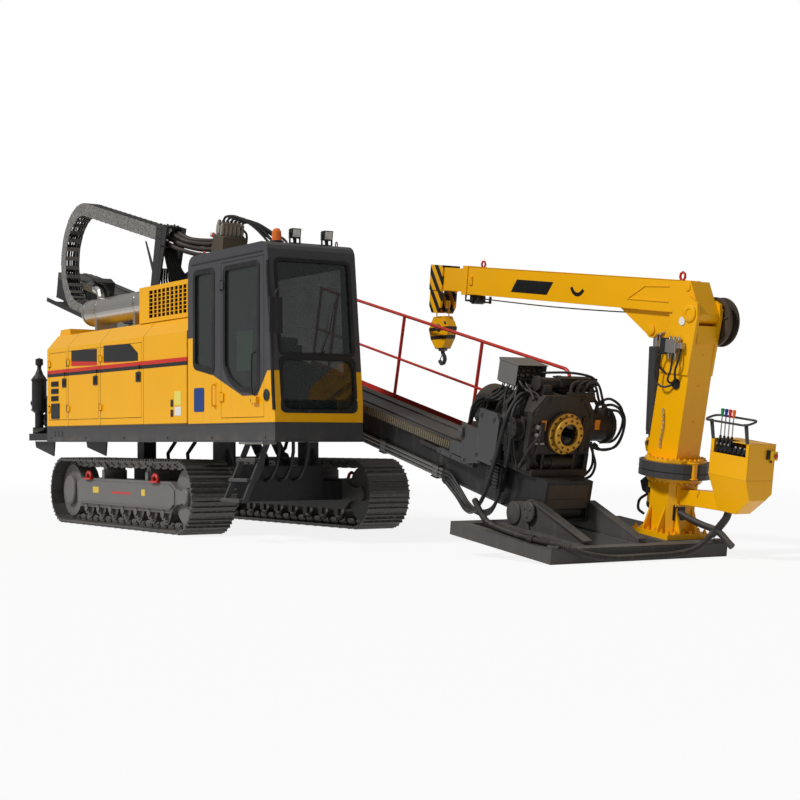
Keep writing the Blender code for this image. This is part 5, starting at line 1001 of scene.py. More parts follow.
cushion("seat_headrest", (SEAT_X - 0.185, SEAT_Y - 0.14, CAB_FLOOR + 0.96),
        (SEAT_X - 0.095, SEAT_Y + 0.14, CAB_FLOOR + 1.12), 0.012, 0, 0.08)
inside = Form(carrier)
inside.prism([(1.95, 1.95), (2.03, 1.93), (2.05, 2.22), (1.98, 2.24)], "y", -1.3, -1.02)
inside.rod((2.02, -1.16, CAB_FLOOR), (2.02, -1.16, 1.96), 0.02, 12)
inside.prism([(1.92, CAB_FLOOR), (2.22, CAB_FLOOR), (2.2, 1.56), (2.06, 1.64), (1.92, 1.6)], "y", -0.9,
             -0.62)
for y in (-0.84, -0.76, -0.68):
    inside.rod((2.03, y, 1.58), (2, y, 1.76), 0.008, 8)
    inside.turned((2, y, 1.75), (-0.1, 0, 1),
                  [(0, 0), (0, 0.012), (0.02, 0.022), (0.045, 0.022), (0.06, 0)], 14)
inside.block((0.36, -1.44, CAB_FLOOR), (2.33, -0.48, CAB_FLOOR + 0.008))
inside.block((0.38, -1.3, 1.45), (0.55, -0.6, 1.95))
inside.finish("cab_furniture",
              enamel("cab_plastic", (0.03, 0.03, 0.031), 0.5, dust=0.08, wear=0.05, peel=0.002), "carrier",
              "black_parts", 0.004)
canister = Form(carrier)
canister.turned((1.42, -1.33, 2.26), UP, [(0, 0), (0, 0.05), (0.08, 0.06), (0.16, 0.035), (0.2, 0)], 18)
canister.finish("cab_blue_canister", enamel("blue_plastic", (0.02, 0.07, 0.32), 0.4), "carrier",
                "black_parts", 0)


# Cab roof and corner fittings: an amber beacon on a black foot, two square work lamps on stirrups
# and a mirror on a bent arm.
dress("roof_beacon", enamel("beacon_amber", (0.85, 0.17, 0.003), 0.12, dust=0.02, wear=0, coat=1, peel=0))
dress("work_lamps", black_paint)
dress("side_mirror", black_paint)
dress("cab_ladder", grey_paint)
lamps = Form(carrier)
beacon = Form(carrier)
beacon.turned((2, -1.257, CAB_ROOF + 0.0003), UP, capped((0, 0.078), (0.022, 0.078), (0.03, 0.072)), 28)
beacon.finish("beacon_foot", black_paint, "carrier", "black_parts", 0.001)
lenses = Form(carrier)
for y in (-1.044, -0.644):
    for number in range(5):
        z = CAB_ROOF + 0.078 + 0.019 * number
        lamps.block((1.965, y - 0.05, z), (1.99, y + 0.05, z + 0.007))
    for side in (-1, 1):
        lamps.block((2.005, y + side * 0.062 - 0.004, CAB_ROOF + 0.015),
                    (2.035, y + side * 0.062 + 0.004, CAB_ROOF + 0.13))
        lamps.bolts([(2.02, y + side * 0.066, CAB_ROOF + 0.12)], (0, side, 0), 0.008, 0.006)
    lamps.block((2.005, y - 0.066, CAB_ROOF + 0.012), (2.035, y + 0.066, CAB_ROOF + 0.02))
    lamps.tube([(1.97, y, CAB_ROOF + 0.1), (1.93, y + 0.02, CAB_ROOF + 0.11),
                (1.9, y + 0.05, CAB_ROOF + 0.05), (1.86, y + 0.08, CAB_ROOF + 0.008)], 0.005, 8)
    outline = [(y - 0.046, CAB_ROOF + 0.075), (y + 0.046, CAB_ROOF + 0.075), (y + 0.046, CAB_ROOF + 0.16),
               (y - 0.046, CAB_ROOF + 0.16)]
    points = [(2.052 + 0.22 * (v - CAB_ROOF - 0.075), u, v) for u,
              v in outline] + [(2.056 + 0.22 * (v - CAB_ROOF - 0.075), u, v) for u,
                               v in grown(outline, -0.006)]
    lenses.add(points, [(0, 1, 5, 4), (1, 2, 6, 5), (2, 3, 7, 6), (3, 0, 4, 7), (4, 5, 6, 7), (3, 2, 1, 0)])
lamps.tube([(2.5, -1.46, 2.3), (2.47, -1.455, 2.29), (2.44, -1.45, 2.3)], 0.01, 8)
lamps.tube([(2.515, -1.545, 2.62), (2.515, -1.545, 2.66), (2.49, -1.52, 2.7), (2.42, -1.47, 2.71),
            (2.335, -1.455, 2.7)], 0.009, 8)
lamps.prism(rounded([(-1.625 + 0.008, 2.245), (-1.475, 2.245), (-1.475, 2.615), (-1.617, 2.615)], 0.04),
            "x", 2.499, 2.502)
lamps.finish("lamp_brackets", black_paint, "carrier", "black_parts", 0.001)
lenses.finish("lamp_lenses", enamel("lamp_lens", (0.62, 0.63, 0.62), 0.1, dust=0, wear=0, coat=1),
              "carrier", "cab_glass", 0)
mirror = Form(carrier)
mirror.prism(rounded([(-1.607, 2.255), (-1.483, 2.255), (-1.483, 2.605), (-1.607, 2.605)], 0.03), "x",
             2.497, 2.4995)
mirror.finish("mirror_glass",
              enamel("mirror_silver", (0.75, 0.76, 0.78), 0.03, dust=0, wear=0, metallic=1, peel=0),
              "carrier", "cab_glass", 0)
treads = Form(carrier)
for number in range(3):
    share = (number + 0.9) / 3
    y = -1.26 + (-1.55 + 1.26) * share
    z = 1.1 + (0.437 - 1.1) * share
    for tooth in range(16):
        x = 1.375 + 0.0265 * tooth
        treads.block((x, y - 0.068, z + 0.014), (x + 0.012, y + 0.048, z + 0.021))
treads.block((1.3, -1.36, 1.075), (1.85, -1.18, 1.099))
treads.finish("ladder_treads", plated_steel, "carrier", "bare_steel", 0)


# Rear end: the mud pump with its air-charged damper and gauge, and the oil tank with its breather
# and sight glass.
dress("mud_pump", black_paint)
dress("hydraulic_tank", yellow_paint)
pump = Form(carrier)
for y in (-1.2, -0.95, -0.7):
    pump.turned((-5.085, y, 1.42), BACK, stepped((0.1, 0.018)), 20)
    pump.bolts(bolt_circle(-5.1, y, 1.42, 0.08, 6, "x"),
               BACK, 0.012, 0.012)
pump.block((-5, -1.32, 1.72), (-4.45, -1.06, 1.76))
for z in (1.55, 1.98):
    pump.turned((-5.02, -1.36, z), UP, hoop(0.106, 0.118, 0.02), 28)
pump.turned((-5.13, -1.4, 1.66), (-1, -0.4, 0),
            capped((-0.05, 0.012), (0, 0.012), (0, 0.045), (0.025, 0.045)), 20)
pump.tube([(-4.4, -1.25, 1.5), (-4.36, -1.3, 1.55), (-4.345, -1.36, 1.7), (-4.345, -1.4, 1.85),
           (-4.345, -1.3, 1.95), (-4.33, -1.1, 1.98)], 0.028, 12)
pump.tube([(-4.7, -1.3, 1.3), (-4.72, -1.4, 1.28), (-4.85, -1.44, 1.26), (-5, -1.42, 1.26)], 0.03, 12)
for z in (1.36, 1.52, 1.66):
    pump.turned((-4.7, -1.29, z), OUTWARD, stepped((0.05, 0.03), (0.032, 0.07)), 16)
for y in (-1.38, -0.6):
    pump.prism([(-5.1, 1.02), (-4.4, 0.9), (-4.36, 1.11), (-5.14, 1.11)], "y", y, y + 0.02)
pump.finish("pump_fittings", black_paint, "carrier", "black_parts", 0.002)
tank = Form(carrier)
tank.turned((-3.9, 0.82, 2.13), UP, capped((0, 0.076), (0.018, 0.076), (0.026, 0.066)), 28)
tank.block((-2.6, 0.968, 1.55), (-2.56, 0.976, 1.8))
tank.bolts([(-2.58, 0.972, 1.56), (-2.58, 0.972, 1.79)], INWARD, 0.014, 0.008)
for x in (-4.1, -1.8):
    tank.prism([(x - 0.1, 1.311), (x + 0.1, 1.311), (x + 0.08, 1.4), (x - 0.08, 1.4)], "y", 0.965, 0.985)
tank.finish("tank_fittings", black_paint, "carrier", "black_parts", 0.0015)


# Mast: a long box girder. Gear racks run along both upper edges, weld beads along the corners, and
# the machined top carries dust and grease.
MAST_ANGLE = radians(13.6)
mast = Matrix.Translation((5.25 + shift_x, 0.18, 1.168)) @ Matrix.Rotation(MAST_ANGLE, 4, "Y")
BEAM_HALF = 0.28
BEAM_TOP = -0.428
BEAM_BOTTOM = -0.836
BEAM_REAR = -13.1
# The girder's grey is darker than the mast grey: painted shade on its side.
dress("mast_beam", enamel("girder_shaded_enamel", (0.017, 0.017, 0.018), 0.42, dust=0.13, wear=0.5,
                          dust_color=(0.24, 0.22, 0.18)))
RACK_TOP = BEAM_TOP - 0.003
TOOTH_PITCH = 0.04
TOOTH_FOOT = 0.3115
TOOTH_TIP = 0.3185
teeth_count = int((-1.46 - BEAM_REAR - 0.15) / TOOTH_PITCH)
racks = Form(mast)
for side in (-1, 1):
    outline = [(BEAM_REAR + 0.15, side * (BEAM_HALF + 0.002))]
    for number in range(teeth_count):
        x = BEAM_REAR + 0.15 + number * TOOTH_PITCH
        outline += [(x, side * TOOTH_FOOT), (x + 0.011, side * TOOTH_FOOT), (x + 0.017, side * TOOTH_TIP),
                    (x + 0.031, side * TOOTH_TIP), (x + 0.037, side * TOOTH_FOOT)]
    outline.append((outline[-1][0] + 0.003, side * (BEAM_HALF + 0.002)))
    points = [(x, y, z) for z in (RACK_TOP - 0.08, RACK_TOP) for x, y in outline]
    count = len(outline)
    racks.add(points, [(i, i + 1, count + i + 1, count + i) for i in range(count - 1)])
    for z in (RACK_TOP - 0.08, RACK_TOP):
        for number in range(teeth_count):
            x = BEAM_REAR + 0.15 + number * TOOTH_PITCH
            racks.add([(x, side * BEAM_HALF, z), (x + TOOTH_PITCH, side * BEAM_HALF, z),
                       (x + TOOTH_PITCH, side * TOOTH_FOOT, z), (x, side * TOOTH_FOOT, z)], [(0, 1, 2, 3)])
            racks.add([(x + 0.011, side * TOOTH_FOOT, z), (x + 0.037, side * TOOTH_FOOT, z),
                       (x + 0.031, side * TOOTH_TIP, z), (x + 0.017, side * TOOTH_TIP, z)], [(0, 1, 2, 3)])


def rack_gap_shade(paint, x, y, z):
    """Painted shade, dark in every gap between the teeth."""
    along = (x - (5.25 + shift_x)) * cos(MAST_ANGLE) - (z - 1.168) * sin(MAST_ANGLE)
    turn = (along - (BEAM_REAR + 0.15 + 0.004)) * (tau / TOOTH_PITCH) + pi / 2
    # A sine wave along the mast paints shade into each gap between the teeth.
    return [(paint.add("ShaderNodeMath", {"operation": "SINE"}, {0: turn}).step(0, 0.25),
             (0.016, 0.014, 0.011))]


bmesh.ops.remove_doubles(racks.work, verts=racks.work.verts, dist=1e-5)
racks.finish("mast_racks",
             enamel("rack_steel", (0.2, 0.165, 0.105), 0.42, dust=0.1, wear=0.6, metallic=0.4, mottle=0.3,
                    worn=(0.42, 0.36, 0.26), marks=rack_gap_shade),
             "mast", "bare_steel", 0)
girder = Form(mast)
for side in (-1, 1):
    y = side * BEAM_HALF
    for place in [number - 12.4 for number in range(12)]:
        girder.block((place - 0.006, min(y, y + side * 0.05), BEAM_BOTTOM + 0.015),
                     (place + 0.006, max(y, y + side * 0.05), BEAM_BOTTOM + 0.05))
    girder.rod((BEAM_REAR, y, BEAM_BOTTOM + 0.012), (0.13, y, BEAM_BOTTOM + 0.012), 0.009, 8)
    girder.rod((BEAM_REAR, y, BEAM_TOP - 0.1), (-1.5, y, BEAM_TOP - 0.1), 0.008, 8)
for y in (-0.2, 0.13):
    girder.block((BEAM_REAR + 0.02, y, BEAM_TOP), (-1.55, y + 0.07, BEAM_TOP + 0.012))
for side in (-1, 1):
    low, high = sorted((side * 0.285, side * 0.325))
    girder.block((-2.05, low, -0.575), (-1.45, high, -0.545))
girder.finish("girder_strips", mast_paint, "mast", "grey_paint", 0.002)
girder_pin = Form(mast)
for side in (-1, 1):
    girder_pin.turned((-4.153, side * 0.2905, -0.931), (0, side, 0),
                      capped((0, 0.058), (0.012, 0.058), (0.018, 0.045)), 24)
girder_pin.finish("mast_pin_caps", plated_steel, "mast", "bare_steel", 0)


# Walkway: chequer plate with a red toe board, its railing bent from red tube and welded to posts.
def walkway_marks(paint, x, y, z):
    return [(y.step(0.984, 0.987), (0.5, 0.025, 0.014))]


dress("walkway", enamel("walkway_enamel", (0.06, 0.052, 0.05), 0.45, dust=0.22, wear=0.6,
                        marks=walkway_marks))
dress("railing", red_paint)
floor = Form(mast)
for column in range(60):
    for row in range(6):
        x = -6.4 + 0.09 * column + (0.045 if row % 2 else 0)
        y = 0.36 + 0.078 * row
        turn = 0.7 if (row + column) % 2 else -0.7
        along, across = Vector((cos(turn), sin(turn))) * 0.024, Vector((-sin(turn), cos(turn))) * 0.007
        corners = [Vector((x, y)) + along, Vector((x, y)) + across, Vector((x, y)) - along,
                   Vector((x, y)) - across]
        points = [(c.x, c.y, -0.6285) for c in corners] + [(x, y, -0.6235)]
        floor.add(points, [(0, 1, 4), (1, 2, 4), (2, 3, 4), (3, 0, 4), (3, 2, 1, 0)])
floor.finish("walkway_chequers", mast_paint, "mast", "grey_paint", 0)
clips = Form(mast)
for x in (-6.02, -4.38, -2.72, -1.08):
    clips.turned((x, 0.7877, -0.6275), UP,
                 capped((0, 0.045), (0.008, 0.045), (0.016, 0.026), (0.03, 0.0208)), 20)
    clips.turned((x, 0.7877, -0.11), UP,
                 capped((0, 0.021), (0.005, 0.0235), (0.023, 0.0235), (0.028, 0.021)), 16)
clips.finish("railing_feet", red_paint, "mast", "red_paint", 0)


# Hydraulic tubes: plated steel lines in stacked clamps along the girder's lower right edge.
dress("mast_tubes", enamel("line_steel", (0.2, 0.2, 0.2), 0.35, dust=0.18, wear=0.4, metallic=0.7))
clamps = Form(mast)
for x in (-3.8, -2.75, -1.68):
    for z in (-0.856, -0.727):
        clamps.block((x - 0.055, -0.342, z), (x + 0.055, -0.281, z + 0.013))
    for z in (-0.805, -0.765):
        clamps.block((x - 0.053, -0.338, z - 0.002), (x + 0.053, -0.334, z + 0.002))
    clamps.bolts([(x - 0.03, -0.335, -0.714), (x + 0.03, -0.335, -0.714)], UP, 0.009, 0.01)
clamps.finish("tube_clamps", black_paint, "mast", "black_parts", 0.0015)


def flow(points, steps=5):
    """A smooth run through points."""
    points = [Vector(point) for point in points]
    ends = [points[0] * 2 - points[1]] + points + [points[-1] * 2 - points[-2]]
    run = []
    for i in range(1, len(ends) - 2):
        a, b, c, d = ends[i - 1], ends[i], ends[i + 1], ends[i + 2]
        for step in range(steps):
            t = step / steps
            run.append(0.5
                       * (b * 2 + (c - a) * t + (a * 2 - b * 5 + c * 4 - d) * t * t
                          + (b * 3 - a - c * 3 + d) * t ** 3))
    return run + [points[-1]]


hose_rubber = enamel("hose_rubber", (0.02, 0.02, 0.021), 0.48, dust=0.16, wear=0.08,
                     worn=(0.05, 0.05, 0.05), peel=0.001, rounding=0.002)
bundle = Form(mast)
for number, z in enumerate((-0.745, -0.785, -0.825)):
    spread = 0.012 * (number - 1)
    bundle.tube(flow([(-1.56, -0.315, z), (-1.4, -0.318, z - 0.01),
                      (-1.2, -0.33 - spread, -0.86 - 0.02 * number), (-1, -0.335, -0.95 - 0.02 * number),
                      (-0.8, -0.335 + spread, -0.97 - 0.02 * number), (-0.62, -0.33, -0.9 - 0.02 * number),
                      (-0.5, -0.345, -0.72), (-0.44, -0.37, -0.5)]), 0.016)
bundle.finish("mast_front_hoses", hose_rubber, "mast", "black_parts", 0)


# Energy chain: pressed zinc-plated links that hinge on each other round the bend, tied by cross
# bars, and full of the carriage's hoses.
CHAIN_OUTER = 0.85
CHAIN_HEIGHT = 0.2
CHAIN_FACE = -0.325
CHAIN_FAR = -0.555
CHAIN_BEND = -11.47
CHAIN_TOP_END = -8.7
CHAIN_LOW_END = -7.2
CHAIN_LINKS = 52
top_run = CHAIN_TOP_END - CHAIN_BEND
turn_run = pi * CHAIN_OUTER
link = (top_run + turn_run + CHAIN_LOW_END - CHAIN_BEND) / CHAIN_LINKS


def chain_place(distance):
    """Frame of the chain's mid-height: X along the run, Z away from the bend's centre."""
    middle = CHAIN_OUTER - CHAIN_HEIGHT / 2
    if distance < top_run:
        return Matrix.Translation((CHAIN_TOP_END - distance, 0, middle)) @ Matrix.Rotation(pi, 4, "Z")
    if distance < top_run + turn_run:
        angle = (distance - top_run) / CHAIN_OUTER
        spot = (CHAIN_BEND - middle * sin(angle), 0, middle * cos(angle))
        return Matrix.Translation(spot) @ Matrix.Rotation(pi, 4, "Z") @ Matrix.Rotation(angle, 4, "Y")
    return Matrix.Translation((CHAIN_BEND + distance - top_run - turn_run, 0,
                               -middle)) @ Matrix.Rotation(pi, 4, "Z") @ Matrix.Rotation(pi, 4, "Y")


def zinc_marks(paint, x, y, z):
    place = x.add("ShaderNodeCombineXYZ", None, {0: x, 1: y, 2: z})
    flake = place.add("ShaderNodeTexVoronoi", {"feature": "F1"}, {"Vector": place, "Scale": 34}, 0)
    spots = place.noise(30, 3).step(0.5, 0.6)
    return [(flake.step(0.2, 0.6) * 0.55, (0.5, 0.49, 0.46)), (spots * 0.55, (0.17, 0.165, 0.155))]


zinc = enamel("zinc_plate", (0.105, 0.102, 0.096), 0.42, dust=0.1, wear=0.3, metallic=0.45, mottle=0.15,
              marks=zinc_marks, worn=(0.62, 0.61, 0.58))
half_height = CHAIN_HEIGHT / 2
plate_half = link * 0.5
side_plate = [(plate_half + 0.055 * cos(radians(a)) + 0.01,
               (half_height - 0.006) * sin(radians(a))) for a in range(-90, 91, 15)]
side_plate += [(-plate_half, half_height - 0.006), (-plate_half, -half_height + 0.006)]
chain = Form(mast)
bars = Form(mast)
for number in range(CHAIN_LINKS):
    at = mast @ chain_place((number + 0.5) * link)
    chain.place = bars.place = at
    offset = 0.0025 if number % 2 else 0
    for face, inward in ((-CHAIN_FACE, 1), (-CHAIN_FAR, -1)):
        low, high = sorted((face + inward * (0.0005 + offset), face + inward * (0.0035 + offset)))
        chain.prism(side_plate, "y", low, high)
        chain.turned((plate_half + 0.008, face, 0), (0, inward, 0), stepped((0.02, 0.012)), 12)
        for z in (-0.055, 0.055):
            chain.turned((0, face, z), (0, inward, 0), stepped((0.009, 0.01)), 8)
    for z in (half_height - 0.012, 0.002 - half_height):
        bars.block((-0.03, 0.004 - CHAIN_FACE, z), (0.03, -CHAIN_FAR - 0.004, z + 0.01))
    for row in range(1, 4):
        y = -CHAIN_FACE + row * 0.058
        bars.block((-0.006, y - 0.003, -half_height + 0.01), (0.006, y + 0.003, half_height - 0.01))
links = chain.finish("energy_chain_links", zinc, "energy_chain", "zinc_chain", 0)
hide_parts("energy_chain")
bars.finish("energy_chain_bars", worn_steel, "energy_chain", "bare_steel", 0)
filling = Form(mast)
for row, y in enumerate((-0.352, -0.383, -0.412, -0.44, -0.468, -0.497, -0.527)):
    level = 0.02 * sin(row * 2.1)
    run = []
    for step in range(121):
        place = chain_place(0.03 + (CHAIN_LINKS * link - 0.06) * step / 120)
        run.append(place @ Vector((0, -y, -0.035 + level + 0.006 * sin(step * 0.7 + row))))
    filling.tube(run, 0.0125 + 0.001 * (row % 3), 8)
filling.finish("energy_chain_hoses", hose_rubber, "energy_chain", "black_parts", 0)


# Carriage: a saddle that clasps the racks, with the gear case, its four drive motors, the ribbed
# thrust motors on top and the portal that carries the chain's upper end.
CARRIAGE_FRONT = -6.95
dress("carriage", mast_paint)
dress("rotary_motors", black_paint)
casting = enamel("motor_casting", (0.34, 0.315, 0.27), 0.48, dust=0.2, wear=0.6, metallic=0.25, mottle=0.2,
                 worn=(0.5, 0.47, 0.43))
manifold = enamel("manifold_steel", (0.105, 0.085, 0.06), 0.5, dust=0.3, wear=0.5, metallic=0.2,
                  mottle=0.25, dust_color=(0.22, 0.18, 0.13))
dress("drive_spindle", worn_steel)
saddle = Form(mast)
for side in (-1, 1):
    face = side * 0.4
    for x in (-8.45, -8.05, -7.65, -7.25):
        saddle.turned((x, face - side * 0.002, -0.46), (0, side, 0),
                      capped((0, 0.062), (0.014, 0.062), (0.02, 0.04), (0.035, 0.038)), 24)
        saddle.bolts(bolt_circle(x, face + side * 0.012, -0.46, 0.045, 6, "y"),
                     (0, side, 0), 0.008, 0.008)
    for x in (-7.8, -7.55, -7.3, -7.1):
        low, high = sorted((side * 0.34, side * 0.352))
        saddle.prism([(x - 0.012, -0.32), (x + 0.012, -0.32), (x + 0.012, 0.18), (x - 0.012, 0.18)], "y",
                     low, high)
saddle.turned((CARRIAGE_FRONT - 0.052, 0, 0), AHEAD,
              [(0, 0.0912), (0, 0.2), (0.022, 0.2), (0.028, 0.19), (0.028, 0.0912)], 36)
saddle.bolts(bolt_circle(CARRIAGE_FRONT - 0.024, 0, 0, 0.165, 12, "x"),
             AHEAD, 0.014, 0.014)
PORTAL = (-8.76, -8.56)
for y in (-0.577, -0.303):
    low, high = sorted((y - 0.01, y + 0.01))
    saddle.prism([(PORTAL[1] - 0.005, -0.05), (PORTAL[1] + 0.05, -0.05), (PORTAL[1] + 0.12, 0.6),
                  (PORTAL[1] + 0.14, 0.88), (PORTAL[1] - 0.005, 0.88)], "y", low, high)
    saddle.bolts([(PORTAL[0] + 0.05, y, 0.7), (PORTAL[0] + 0.05, y, 0.82), (PORTAL[0] + 0.14, y, 0.7),
                  (PORTAL[0] + 0.14, y, 0.82)],
                 (0, -1 if y < -0.4 else 1, 0), 0.012, 0.022)
saddle.bolts([(x, y, 0.88) for x in (-8.72, -8.6) for y in (-0.54, -0.44, -0.34)], UP, 0.014, 0.018)
saddle.block((-8.56, -0.587, 0.6), (-8.43, -0.293, 0.62))
saddle.prism([(-9.1, 0.6), (-9.06, 0.6), (-8.72, 0.28), (-8.74, 0.2)], "y", -0.587, -0.575)
saddle.finish("carriage_fittings", mast_paint, "carriage", "grey_paint", 0.002)
motor_parts = Form(mast)
for y in (-0.17, 0.17):
    for z in (-0.02, 0.22):
        motor_parts.turned((-8.37, y, z), BACK, capped((0, 0.085), (0.06, 0.085), (0.075, 0.06)), 24)
        motor_parts.turned((-7.97, y, z), BACK, stepped((0.125, 0.02)), 24)
        motor_parts.turned((-8.3, y, z + 0.1), UP, stepped((0.026, 0.03), (0.02, 0.05)), 16)
motor_parts.finish("carriage_motor_parts", black_paint, "carriage", "black_parts", 0.002)
head_block = Form(mast)
head_block.block((-7.86, -0.2, 0.4203), (-7.4, 0.2, 0.56))
head_block.prism([(-7.84, 0.55), (-7.46, 0.55), (-7.5, 0.9), (-7.8, 0.9)], "y", -0.185, 0.175)
head_block.block((-7.86, -0.15, 0.6), (-7.8, 0.12, 0.82))
head_block.bolts([(-7.86, y, z) for y in (-0.12, 0.09) for z in (0.63, 0.79)], BACK, 0.014, 0.012)
head_block.bolts([(-7.6, y, 0.9) for y in (-0.17, 0.16)], UP, 0.018, 0.014)
head_piece = head_block.finish("thrust_manifold", manifold, "carriage", "bare_steel", 0.004)
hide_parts("thrust_motors")
lobes = Form(mast)
for number in range(6):
    y = -0.15 + 0.058 * number
    lobes.turned((-7.73, y, 0.895), UP,
                 [(0, 0), (0, 0.03), (0.17, 0.03), (0.18, 0.024), (0.2, 0.022), (0.21, 0)], 16)
    lobes.turned((-7.62, y, 0.895), UP, capped((0, 0.028), (0.15, 0.028), (0.155, 0.018), (0.19, 0.018)),
                 16)
lobes.block((-7.76, -0.175, 0.93), (-7.66, 0.165, 1.03))
for y in (-0.12, 0.12):
    lobes.turned((-7.46, y, 0.62), AHEAD, capped((0, 0.055), (0.05, 0.055), (0.06, 0.045), (0.14, 0.045)),
                 20)
lobes.finish("thrust_valve_lobes", casting, "carriage", "bare_steel", 0.002)
cap = Form(mast)
cap.rod((-7.86, -0.1, 0.86), (-7.93, -0.12, 0.87), 0.03, 16)
cap.finish("head_cap_red", red_paint, "carriage", "red_paint", 0.002)
collar_ring = Form(mast)
collar_ring.rod((-7.93, -0.12, 0.87), (-7.97, -0.13, 0.875), 0.034, 16)
collar_ring.finish("head_cap_white", enamel("cap_white", (0.72, 0.7, 0.66), 0.4), "carriage", "bare_steel",
                   0.002)
brown_rubber = enamel("brown_rubber", (0.04, 0.028, 0.022), 0.5, dust=0.16, wear=0, mottle=0.2,
                      dust_color=(0.16, 0.12, 0.09))
fat_hoses = Form(mast)
for y, z, target_y, target_z, radius in ((-0.335, 0.8, 0.1, 0.84, 0.036), (-0.39, 0.77, 0, 0.77, 0.036),
    (-0.44, 0.72, -0.09, 0.68, 0.034), (-0.49, 0.66, -0.15, 0.6, 0.03)):
    fat_hoses.tube(flow([(-8.66, y, z), (-8.5, y, z - 0.015), (-8.28, y * 0.85 + target_y * 0.15, z - 0.05),
                         (-8.05, y * 0.4 + target_y * 0.6, target_z * 0.5 + z * 0.5 - 0.045),
                         (-7.9, target_y, target_z), (-7.8, target_y, target_z)]), radius, 12)
fat_hoses.finish("carriage_main_hoses", brown_rubber, "carriage", "black_parts", 0)
head_hoses = Form(mast)
rng = random.Random(7)
for number in range(6):
    y = -0.35 - 0.033 * number
    drop = 0.1 + 0.05 * number
    target_y = -0.17 + 0.068 * number
    head_hoses.tube(flow([(-8.6, y, 0.64), (-8.54, y, 0.5), (-8.46, y * 0.8, 0.34 - drop * 0.5),
                          (-8.34, y * 0.55, 0.26 - drop * 0.4), (-8.2, target_y, 0.32),
                          (-8.05, target_y, 0.46), (-7.9, target_y, 0.6)]), 0.019, 10)
    head_hoses.tube(flow([(-8.58, y, 0.3), (-8.52, y, 0.16 - 0.02 * number), (-8.44, y * 0.7, 0.06),
                          (-8.36, y * 0.5, 0.08), (-8.28, target_y, 0.16), (-8.2, target_y, 0.24)]), 0.015,
                          10)
for number in range(6):
    y = -0.15 + 0.058 * number
    rise = 1.16 - 0.012 * number
    far = rng.uniform(0, 0.1)
    head_hoses.tube(flow([(-7.62, y, 1.08), (-7.58, y + 0.02, rise), (-7.42, y + 0.1, rise + 0.02),
                          (-7.22, y + 0.24, rise - 0.03 - far), (-7.02, y + 0.36, 0.98 - far),
                          (-6.92, y * 0.5 + 0.42, 0.8 - far), (-6.92, y * 0.4 + 0.4, 0.55)]), 0.017, 10)
head_hoses.tube(flow([(-7.62, 0.1, 1.02), (-7.6, 0.2, 0.95), (-7.66, 0.24, 0.8), (-7.74, 0.22, 0.66)]),
                0.016, 10)
head_hoses.finish("carriage_hoses", hose_rubber, "carriage", "black_parts", 0)


# Vises: the clamp's frame of two end plates holds its gold-plated nose ring, three jaws and the cylinders
# that close them. The break-out head turns in a cradle behind it, and a hooded valve stands above.
VISE_TOP = 0.36
vise_black = enamel("vise_black", (0.022, 0.02, 0.018), 0.4, dust=0.16, wear=0.55, mottle=0.25,
                    dust_color=(0.13, 0.09, 0.055), worn=(0.15, 0.12, 0.09))
vise_grey = enamel("vise_grey", (0.06, 0.06, 0.063), 0.42, dust=0.14, wear=0.5, worn=(0.16, 0.15, 0.14))
vise_brown = enamel("vise_primer", (0.06, 0.043, 0.03), 0.48, dust=0.22, wear=0.6, mottle=0.25,
                    dust_color=(0.17, 0.12, 0.075), worn=(0.17, 0.14, 0.11))
gold = enamel("gold_passivate", (0.62, 0.34, 0.035), 0.36, dust=0.12, wear=0.6, metallic=0.45, mottle=0.25,
              worn=(0.12, 0.08, 0.04), peel=0.002)


def pierced(form, outline, radius, low, high):
    """A convex plate square to the drill axis, with a round hole on it."""
    angles = {step * tau / 48 for step in range(48)} | {atan2(z, y) % tau for y, z in outline}
    inner, outer = [], []
    for angle in sorted(angles):
        way = Vector((cos(angle), sin(angle)))
        reaches = []
        for first, second in zip(outline, outline[1:] + outline[:1]):
            first = Vector(first)
            run = Vector(second) - first
            across = way.cross(run)
            if abs(across) > 1e-9 and -1e-6 <= first.cross(way) / across <= 1.000001:
                reaches.append(first.cross(run) / across)
        inner.append(way * radius)
        outer.append(way * min(reach for reach in reaches if reach > 0))
    count = len(inner)
    points = [(x, y, z) for x in (low, high) for ring in (inner, outer) for y, z in ring]
    faces = []
    for i in range(count):
        j = (i + 1) % count
        for a, b in ((0, count), (3 * count, 2 * count), (count, 3 * count), (2 * count, 0)):
            faces.append((a + i, a + j, b + j, b + i))
    form.add(points, faces)


END_PLATE = [(-0.4, -0.215), (0.36, -0.215), (0.36, 0.2), (0.24, 0.36), (-0.26, 0.36), (-0.4, 0.2)]
INNER_PLATE = [(-0.35, -0.36), (0.33, -0.36), (0.33, 0.17), (0.22, 0.32), (-0.23, 0.32), (-0.35, 0.17)]
frame_work = Form(mast)
pierced(frame_work, END_PLATE, 0.131, -0.155, -0.09)
pierced(frame_work, END_PLATE, 0.131, -0.56, -0.5)
pierced(frame_work, INNER_PLATE, 0.133, -0.5, -0.155)
for y, width in ((-0.385, 0.045), (-0.215, 0.028), (0.165, 0.028), (0.315, 0.045)):
    frame_work.block((-0.155, y, -0.38), (-0.085, y + width, -0.205))
frame_work.block((-0.56, -0.4, -0.38), (-0.5, 0.36, -0.215))
frame_work.rod((-0.12, -0.19, -0.3), (-0.12, 0.16, -0.3), 0.055, 24)
frame_work.rod((-0.12, -0.1, -0.3), (-0.12, 0.06, -0.3), 0.07, 24)
frame_work.block((-1.38, -0.34, -0.4277), (-0.05, 0.34, -0.36))
HEAD_RADIUS = 0.235
CRADLE = HEAD_RADIUS + 0.0015
for x in (-1.26, -0.92):
    hollow = [(CRADLE * cos(radians(a)), CRADLE * sin(radians(a))) for a in range(-40, -141, -10)]
    cradle = [(-0.25, -0.37), (0.25, -0.37), (0.25, -0.152)] + hollow + [(-0.25, -0.152)]
    frame_work.prism(cradle, "x", x, x + 0.12)
frame_work.block((-0.5, -0.24, 0.31), (-0.38, -0.1, 0.4))
